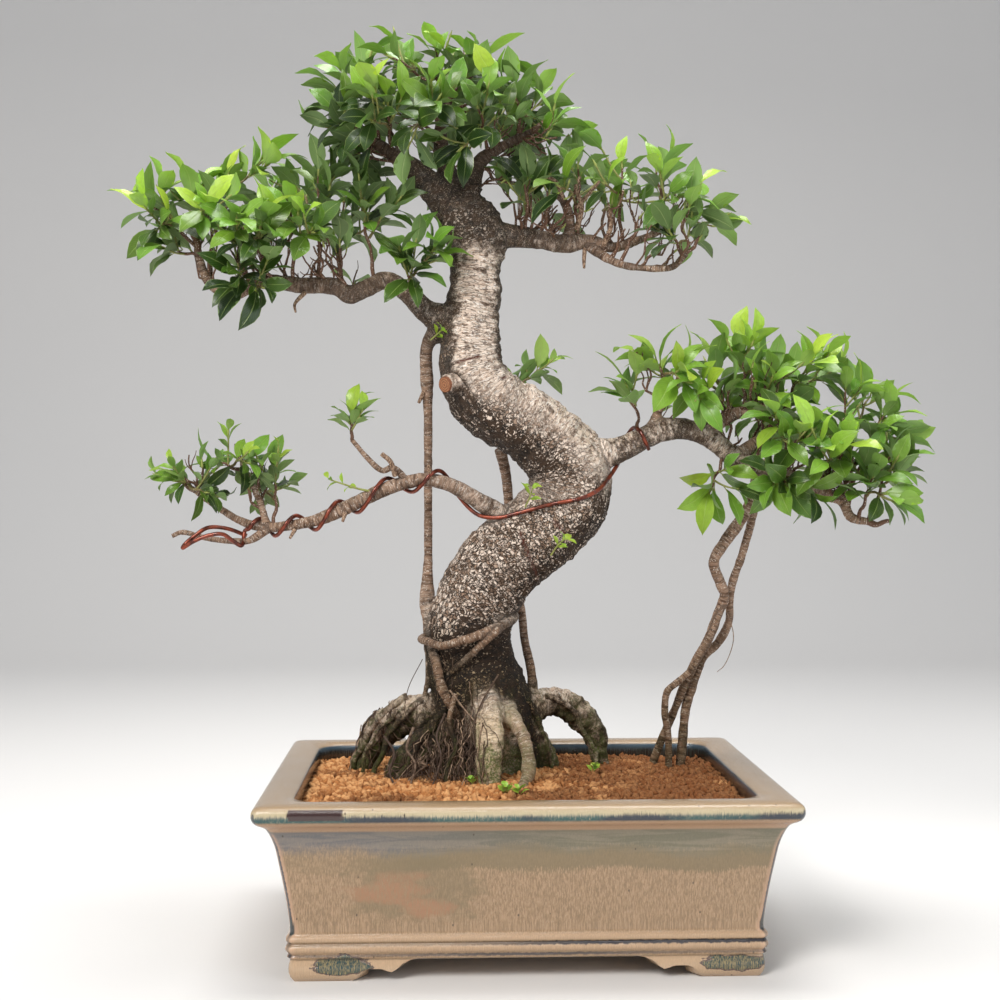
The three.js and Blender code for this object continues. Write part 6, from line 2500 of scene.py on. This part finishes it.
    def tones(self) -> np.ndarray:
        """How new and sunlit each leaf looks, from the leaves that stand above it and in front of it.

        Returns:
            One number for each leaf, from 0 for old and shaded to 1 for new and lit.
        """
        middles = np.array([tuple(m) for m in self.middles]) / MM
        tones = np.empty(len(middles))
        for i, middle in enumerate(middles):
            away = middles - middle
            above = (np.hypot(away[:, 0], away[:, 1]) < 34) & (away[:, 2] > 7) & (away[:, 2] < 90)
            before = (np.hypot(away[:, 0], away[:, 2]) < 26) & (away[:, 1] < -10)
            shade = above.sum() + 0.5 * before.sum()
            pad = pad_of(self.leaves[i].spray)
            shade *= 1.5 if pad in ("apex", "right") else 1.0
            tones[i] = (0.06 + 0.94 * math.exp(-shade / 8.5)) * self.light.get(pad, 1.0)
        # The middle pad's extra tone is painted light, added to the leaves' youth
        youth = np.array([leaf.youth + (pad_of(leaf.spray) == "middle") for leaf in self.leaves])
        return np.clip(tones + 0.14 * youth + self.random.normal(0, 0.09, len(tones)), 0, 1)

    def dress(self, leaf_finish: LeafFinish, twig_finish: TwigFinish, surface: BVHTree) -> None:
        """Grows the foliage: a piece of leaves for each spray, one of the twigs and one of the buds.

        Args:
            leaf_finish: the finish of the leaves.
            twig_finish: the finish of the twigs.
            surface: the skin of the wood.
        """
        self.grow(surface)
        shapes, material, tones = LeafShapes().collection(), leaf_finish.material(), self.tones()
        hues, widths = self.random.uniform(0, 1, len(tones)), self.random.uniform(0.88, 1.12, len(tones))
        kinds = self.random.integers(0, LeafShapes().count, len(tones))
        twig_material = twig_finish.material()
        finish_piece(swept("twigs", self.twigs, 7, twig_material, {"age": self.ages}), "bark")
        finish_piece(swept("bud_tips", self.buds, 6, twig_material, {"age": [0.0] * len(self.buds)}), "bark")
        for number, (name, *_) in enumerate(SPRAYS):
            chosen = [i for i, leaf in enumerate(self.leaves) if leaf.spray == number]
            leaves = [self.leaves[i] for i in chosen]
            sizes = np.array([[leaf.length, leaf.length * widths[i], leaf.length] for i,
                              leaf in zip(chosen, leaves)])
            marks = {"tone": tones[chosen], "hue": hues[chosen]}
            piece = placed_shapes(f"leaves_{name}", shapes, [leaf.frame for leaf in leaves], sizes,
                                  kinds[chosen], marks, material)
            finish_piece(piece, "leaf", name)
        LOG.info("leaves in all: %d", len(self.leaves))


@dataclass
class Pot:
    """Rectangular pot with a rolled rim, a belt above its bracket feet, and two drain holes."""

    profile: tuple[tuple[float, float], ...] = (
        (192, 17), (199.5, 18.5), (203.0, 21), (202.0, 23.4), (203.7, 25.6), (204.5, 28.2), (203.4, 30.8),
                                                (202.2, 32.3),
        (203.9, 34.6), (203.8, 37.4), (201.6, 39.8), (200.9, 42.5), (202.3, 58), (205.6, 80),
        (209.4, 101), (212.8, 117), (219.5, 132), (227.5, 137.5), (230, 143), (229, 149), (224, 152),
        (200, 151), (198, 147), (198, 134), (205, 126), (200, 100), (193, 58), (188, 27))
    outer_count: int = 21
    depth_step: float = 55.0
    corner: float = 7.0
    opening_corner: float = 24.0
    drain_x: float = 92.0
    drain_radius: float = 14.0
    foot_face: float = 202.0
    foot_thickness: float = 13.0
    foot_top: float = 21.0
    foot_under: tuple[tuple[float, float], ...] = (
        (0, 0), (52, 0), (54, 0.3), (57, 2.0), (60, 6.0), (63, 9.6), (67, 11), (76, 11), (79, 10.8),
        (83, 9.3), (87, 8.2), (91, 10.5), (96, 15.0), (103, 18.0), (112, 19.5))

    def ring(self, half: np.ndarray, radius: np.ndarray) -> np.ndarray:
        """Points round the pot at some half widths, with straight sides and round corners.

        Args:
            half: half width at each point of the profile, in millimetres.
            radius: radius of the corners at each point of the profile, in millimetres.

        Returns:
            For each half width, the x and y of each point round it.
        """
        half, radius = (np.asarray(v, float)[:, None] for v in (half, radius))
        wide, deep = half - radius, half - self.depth_step - radius
        rows = []
        for sx, sy in ((1, 1), (-1, 1), (-1, -1), (1, -1)):
            start = {(1, 1): 0, (-1, 1): 90, (-1, -1): 180, (1, -1): 270}[(sx, sy)]
            turn = np.radians(start + np.linspace(0, 90, 8))[None, :]
            rows.append(np.stack([sx * wide + radius * np.cos(turn), sy * deep + radius * np.sin(turn)],
                                 axis=2))
            share = np.linspace(0, 1, 30 if sx == sy else 24)[None, 1:-1]
            if sx == sy:
                line = np.stack([sx * wide * (1 - 2 * share), sy * (deep + radius) + 0 * share], axis=2)
            else:
                line = np.stack([sx * (wide + radius) + 0 * share, sy * deep * (1 - 2 * share)], axis=2)
            rows.append(line)
        return np.concatenate(rows, axis=1)

    def body(self) -> bpy.types.Object:
        """The pot's wall, rim and floor with its drain holes.

        Returns:
            The body as an object.
        """
        rows = np.array([(half, z, 0) for half, z in self.profile], float)
        fine = catmull_rom(rows, np.linspace(0, 1, 3 * (len(rows) - 1) + 1))
        half, z = np.minimum(fine[:, 0], 230), fine[:, 1]
        inward = np.linspace(0, 1, len(half)) > (self.outer_count - 0.6) / (len(rows) - 1)
        radius = np.where(inward, np.interp(half, (200, 224), (self.opening_corner, self.corner)),
                          self.corner)
        rings = self.ring(half, radius)
        count, around = rings.shape[:2]
        points = [(x, y, z[i]) for i in range(count) for x, y in rings[i]]
        faces = ring_quads(0, count, around)
        faces += [list(range(around))[::-1], [(count - 1) * around + j for j in range(around)]]
        body = new_object("pot_source", mesh_from("pot_source", place(points), faces))
        drills = []
        for side in (-1, 1):
            bpy.ops.mesh.primitive_cylinder_add(
                vertices=40, radius=self.drain_radius * MM, depth=30 * MM,
                                                location=place([(side * self.drain_x, 0, 22)])[0])
            drill = bpy.context.object
            cut = body.modifiers.new("drain", "BOOLEAN")
            cut.operation, cut.object, cut.solver = "DIFFERENCE", drill, "EXACT"
            drills.append(drill)
        made = baked(body, "pot_wall")
        for drill in drills:
            bpy.data.objects.remove(drill)
        return made

    def foot(self, sx: int, sy: int, shift: int) -> tuple[list[Sequence[float]], list[list[int]]]:
        """One bracket foot round a corner of the pot, in millimetres.

        Args:
            sx: which end of the pot, -1 or 1.
            sy: back or front, 1 or -1.
            shift: number of the first point.

        Returns:
            Its points and faces.
        """
        reach = self.foot_face
        ends = np.array([s for s, _ in self.foot_under])
        straight = np.concatenate([-ends[::-1][:-1], np.linspace(-9, 9, 7)[1:-1], ends[1:]])
        straight = np.sort(np.unique(np.concatenate([straight, -straight])))
        levels = np.linspace(0, 1, 7)
        under = np.interp(np.abs(straight), ends, [z for _, z in self.foot_under])
        points = []
        for s, low in zip(straight, under):
            z = low + (self.foot_top - low) * levels
            bulge = np.interp(z, (0, 4, 9, 15, 21), (-4.5, -1.0, 0.3, -0.6, -2.2))
            for inner in (False, True):
                for height, out in zip(z[::-1] if inner else z, bulge[::-1] if inner else bulge):
                    away = out - (self.foot_thickness if inner else 0)
                    x, y = self.round_corner(s, reach + away, self.corner + away)
                    points.append((sx * x, sy * y, height))
        across = 2 * len(levels)
        faces = ring_quads(shift, len(straight), across)
        faces.append([shift + j for j in range(across)][::-1])
        faces.append([shift + (len(straight) - 1) * across + j for j in range(across)])
        if sx * sy > 0:
            faces = [face[::-1] for face in faces]
        return points, faces

    def round_corner(self, s: float, reach: float, radius: float) -> tuple[float, float]:
        """A place on the foot's plan, at a distance along it from the corner, which is rounded.

        Args:
            s: distance along the foot from its corner.
            reach: half width of the pot there.
            radius: the corner's radius.

        Returns:
            The x and y, all in millimetres.
        """
        radius = max(radius, 0.5)
        arc = self.corner
        if abs(s) <= arc:
            angle = math.radians(45 + 45 * s / arc)
            return (reach - radius + radius * math.cos(angle), reach - self.depth_step - radius
                    + radius * math.sin(angle))
        if s > 0:
            return (reach - radius - (s - arc), reach - self.depth_step)
        return (reach, reach - self.depth_step - radius - (-s - arc))

    def dress(self, finish: GlazeFinish) -> None:
        """Builds the pot, stores what its glaze needs and covers it.

        Args:
            finish: what it is covered with.
        """
        body = self.body()
        points, faces = [], []
        for sx in (-1, 1):
            for sy in (-1, 1):
                more, sides = self.foot(sx, sy, len(points))
                points += more
                faces += sides
        feet = mesh_from("feet", place(points), faces)
        joined = bmesh.new()
        joined.from_mesh(body.data)
        joined.from_mesh(feet)
        joined.to_mesh(body.data)
        joined.free()
        mesh = body.data
        places = (coordinates(mesh) - np.array(POT_CENTRE)) / MM
        outer = np.array(self.profile[:self.outer_count])
        half = np.interp(places[:, 2], outer[:, 1], outer[:, 0])
        edge = half - self.corner * (1 - math.sqrt(0.5))
        away = np.hypot(np.abs(places[:, 0]) - edge, np.abs(places[:, 1]) - (edge - self.depth_step))
        inner = np.maximum(np.abs(places[:, 0]) - 200.6, np.abs(places[:, 1]) - (200.6 - self.depth_step))
        inside = (inner <= 0) & (places[:, 2] > 24)
        set_attribute(mesh, "corner", away)
        set_attribute(mesh, "inside", inside.astype(float))
        smooth_shaded(mesh)
        mesh.set_sharp_from_angle(angle=math.radians(48))
        mesh.materials.append(finish.material())
        body.name = "glazed_pot"
        finish_piece(body, "glaze", "pot")


def loose_leaves(name: str, frames: Sequence[Matrix], sizes: Sequence[float], shapes: bpy.types.Collection,
                 tone: float, random: np.random.Generator, finish: LeafFinish) -> None:
    """New leaves that belong to no spray, as one piece.

    Args:
        name: the piece's name.
        frames: where each leaf goes.
        sizes: length of each leaf in millimetres.
        shapes: the shapes to choose from.
        tone: the lowest tone; new leaves are near 1.
        random: source of random numbers.
        finish: the leaves' finish.
    """
    count = len(frames)
    marks = {"tone": random.uniform(tone, 1.0, count), "hue": random.uniform(0, 1, count)}
    kinds = random.integers(0, len(shapes.objects), count)
    scales = np.repeat(np.array(sizes)[:, None] * MM, 3, axis=1)
    piece = placed_shapes(name, shapes, frames, scales, kinds, marks, finish.material())
    finish_piece(piece, "leaf")


@dataclass
class SoilBed:
    """Loose clay grains over the soil's relief, and small weeds among them."""

    half_width: float = 195.0
    half_depth: float = 140.0
    spacing: float = 4.6
    grain: float = 3.9
    shapes: int = 8

    @staticmethod
    def height(x: np.ndarray, y: np.ndarray) -> np.ndarray:
        """Height of the soil's surface, by the same rule as in the solids.

        Args:
            x: places across, in millimetres.
            y: places in depth, in millimetres.

        Returns:
            Heights in millimetres.
        """
        mound = 4 * np.exp(-np.hypot((x + 20) / 190, (y - 40) / 130) ** 2)
        corner = 3 * np.minimum(1, np.hypot(x / 200, y / 145) ** 4 / 2)
        grain = np.sin(0.31 * x + 2 * np.sin(0.13 * y)) * np.cos(0.37 * y + 1.5 * np.sin(0.11 * x))
        return 137 + mound - corner + 1.3 * grain

    def grain_shapes(self) -> bpy.types.Collection:
        """Angular grains as convex hulls of a few points.

        Returns:
            The shapes in a collection.
        """
        random, meshes = np.random.default_rng(SEED + 7), []
        for number in range(self.shapes):
            solid = bmesh.new()
            for k in range(10):
                z = 1 - (2 * k + 1) / 10
                flat, angle = math.sqrt(1 - z * z), k * GOLDEN_ANGLE + random.uniform(-0.4, 0.4)
                radius = self.grain * MM * random.uniform(0.72, 1.15)
                solid.verts.new((radius * flat * math.cos(angle) * 1.15, radius * flat * math.sin(angle),
                                 radius * z * 0.82))
            bmesh.ops.convex_hull(solid, input=solid.verts)
            mesh = bpy.data.meshes.new(f"grain_shape_{number}")
            solid.to_mesh(mesh)
            solid.free()
            meshes.append(mesh)
        return shape_collection("grain_shapes", meshes)

    def surface(self, wood: BVHTree) -> bpy.types.Mesh:
        """The ground that the grains lie on, marked where wood stands on it.

        Args:
            wood: the skin of the wood.

        Returns:
            The ground's mesh.
        """
        xs = np.linspace(-self.half_width, self.half_width, 99)
        ys = np.linspace(-self.half_depth, self.half_depth, 71)
        x, y = (v.ravel() for v in np.meshgrid(xs, ys))
        spots = place(np.stack([x, y, self.height(x, y) + 0.4], axis=1))
        faces = [[j * 99 + i, j * 99 + i + 1, (j + 1) * 99 + i + 1, (j + 1) * 99 + i] for j in range(70)
                 for i in range(98)]
        mesh = mesh_from("ground", spots, faces)
        down = [wood.ray_cast(Vector((*spot[:2], 0.30)), Vector((0, 0, -1)), 0.30 - spot[2] + 0.002)[0]
                for spot in spots]
        low = np.array([1.0 if hit is None or hit.z - spot[2] > 9 * MM else 0.0 for hit,
                        spot in zip(down, spots)])
        set_attribute(mesh, "cover", low)
        return mesh

    def weeds(self, leaf_finish: LeafFinish) -> None:
        """Seedlings of a few round leaves each.

        Args:
            leaf_finish: the finish of the leaves.
        """
        random, frames, sizes = np.random.default_rng(SEED + 11), [], []
        for x, y in WEED_PLACES:
            for k in range(7):
                angle, lean = k * GOLDEN_ANGLE, random.uniform(0.3, 1.0)
                along = Vector((math.cos(angle) * lean, math.sin(angle) * lean, 0.6))
                z = float(self.height(np.array(x), np.array(y))) + 2 + k * 0.7
                root = Vector(place([(x + random.uniform(-2, 2), y + random.uniform(-2, 2), z)])[0])
                frames.append(leaf_frame(root, along, Vector((0, 0, 1)) - along * 0.2))
                sizes.append(random.uniform(6.5, 11))
        narrow = LeafShapes(half_width=0.36)
        shapes = shape_collection("weed_leaf_shapes", [narrow.mesh(n + 20) for n in range(3)])
        loose_leaves("soil_seedlings", frames, sizes, shapes, 0.7, random, leaf_finish)

    def dress(self, finish: GrainFinish, leaf_finish: LeafFinish, wood: BVHTree) -> None:
        """Covers the packed soil, scatters the grains and grows the seedlings.

        Args:
            finish: what it is covered with.
            leaf_finish: the finish of the leaves.
            wood: the skin of the wood.
        """
        material = finish.material()
        soil = frame["nodes"]["soil"]
        set_attribute(soil.data, "tone", np.full(len(soil.data.vertices), 0.3))
        soil.data.materials.clear()
        soil.data.materials.append(material)
        values = {"Shapes": self.grain_shapes(), "Spacing": self.spacing * MM, "Seed": SEED,
                  "Material": material}
        finish_piece(run_tree("clay_grains", self.surface(wood), scatter_tree(), values), "soil")
        self.weeds(leaf_finish)


@dataclass
class TrunkShoots:
    """Small new shoots that break from the old bark."""

    def dress(self, leaf_finish: LeafFinish, twig_finish: TwigFinish) -> None:
        """Builds the shoots' stems and leaves.

        Args:
            leaf_finish: the finish of the leaves.
            twig_finish: the finish of the twigs.
        """
        random, frames, sizes = np.random.default_rng(SEED + 17), [], []
        paths = [Path.through(rows, 2.0) for rows in TRUNK_SHOOTS]
        for path in paths:
            tangents, sides = path.tangents(), path.sides()
            for k in range(6):
                i = min(len(path.points) - 1, int((0.35 + 0.13 * k) * len(path.points)))
                side = Vector(sides[i])
                radial = Matrix.Rotation(k * GOLDEN_ANGLE, 3, Vector(tangents[i])) @ side
                along = Vector(tangents[i]) * 0.6 + radial
                frames.append(leaf_frame(Vector(path.points[i]), along, Vector(tangents[i])
                                         + Vector((0, -0.4, 0.8))))
                sizes.append(random.uniform(9, 16))
        stems = swept("shoot_stems", paths, 6, twig_finish.material(), {"age": [0.1] * len(paths)})
        finish_piece(stems, "bark")
        shapes = shape_collection("shoot_leaf_shapes", [LeafShapes().mesh(n + 30) for n in range(3)])
        loose_leaves("shoot_leaves", frames, sizes, shapes, 0.75, random, leaf_finish)


@dataclass
class DrainScreens:
    """The mesh squares over the drain holes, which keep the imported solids."""

    def dress(self, finish: MeshFinish) -> None:
        """Covers both screens.

        Args:
            finish: what it is covered with.
        """
        material = finish.material()
        for name in ("drain_screen_left", "drain_screen_right"):
            mesh = frame["nodes"][name].data
            mesh.materials.clear()
            mesh.materials.append(material)


@dataclass
class Studio:
    """Pale floor, soft light and the photograph's camera."""

    eye: tuple[float, float, float] = (-71.0, -1368.0, 402.6)
    yaw: float = 2.2
    lens: float = 52.3

    def area(self, name: str, spot: Sequence[float], aim: Sequence[float], size: float, power: float,
             tint: Colour) -> None:
        """A soft square light.

        Args:
            name: its name.
            spot: where it hangs, in metres.
            aim: what it faces.
            size: its width in metres.
            power: its strength in watts.
            tint: its colour.
        """
        data = bpy.data.lights.new(name, "AREA")
        data.energy, data.size, data.color = power, size, tint
        light = new_object(name, data)
        light.location = spot
        light.rotation_euler = (Vector(aim) - Vector(spot)).to_track_quat("-Z", "Y").to_euler()

    def floor(self, finish: FloorFinish) -> None:
        """A floor that curves up into a back wall.

        Args:
            finish: what it is covered with.
        """
        outline = [(-4.0, 0.0), (2.2, 0.0)]
        outline += [(2.2 + 1.2 * math.sin(a), 1.2 - 1.2 * math.cos(a))
                    for a in np.linspace(0, math.pi / 2, 14)[1:]]
        outline.append((3.4, 5.0))
        points = [(x, y, z) for x in (-6.0, 6.0) for y, z in outline]
        n = len(outline)
        faces = [[i, n + i, n + i + 1, i + 1] for i in range(n - 1)]
        floor = new_object("studio_floor", smooth_shaded(mesh_from("studio_floor", points, faces)))
        floor.data.materials.append(finish.material())

    def dress(self, finish: FloorFinish) -> None:
        """Sets up floor, lights, sky and camera.

        Args:
            finish: what it is covered with.
        """
        self.floor(finish)
        self.area("key", (-1.2, -1.9, 2.0), (0, 0, 0.4), 1.0, 64, (1.0, 0.97, 0.93))
        self.area("fill", (1.9, -1.6, 1.2), (0, 0, 0.4), 1.8, 18, (0.93, 0.97, 1.0))
        self.area("top", (0.1, 0.3, 2.3), (0, 0, 0.4), 1.2, 50, (1.0, 0.99, 0.97))
        world = bpy.data.worlds.new("sky")
        world.use_nodes = True
        background = world.node_tree.nodes["Background"]
        background.inputs["Color"].default_value = (0.92, 0.95, 1.0, 1.0)
        background.inputs["Strength"].default_value = 0.40
        bpy.context.scene.world = world
        bpy.context.scene.view_settings.view_transform = "Standard"
        camera = bpy.data.cameras.new("camera")
        camera.lens, camera.clip_start, camera.shift_y = self.lens, 0.05, 0.002
        holder = new_object("camera", camera)
        holder.location = place([self.eye])[0]
        holder.rotation_euler = (math.radians(90), 0, math.radians(-self.yaw))
        bpy.context.scene.camera = holder


def main() -> None:
    """Builds every piece."""
    logging.basicConfig(level=logging.INFO, format="%(name)s %(message)s")
    # noise_vector's offsets follow the clock until a seed is set.
    noise.seed_set(SEED)
    wood = Wood()
    wood.dress(BarkFinish())
    ThinLimbs().dress(BarkFinish(), wood)
    DeadStubs().dress(DeadWoodFinish(), BarkFinish(), SawnFinish(), wood)
    HairRoots().dress(RootFinish(), wood.surface)
    TrainingWire().dress(WireFinish(), wood.surface)
    Foliage().dress(LeafFinish(), TwigFinish(), wood.surface)
    TrunkShoots().dress(LeafFinish(), TwigFinish())
    Pot().dress(GlazeFinish())
    SoilBed().dress(GrainFinish(), LeafFinish(), wood.surface)
    DrainScreens().dress(MeshFinish())
    Studio().dress(FloorFinish())


if __name__ == "__main__":
    main()
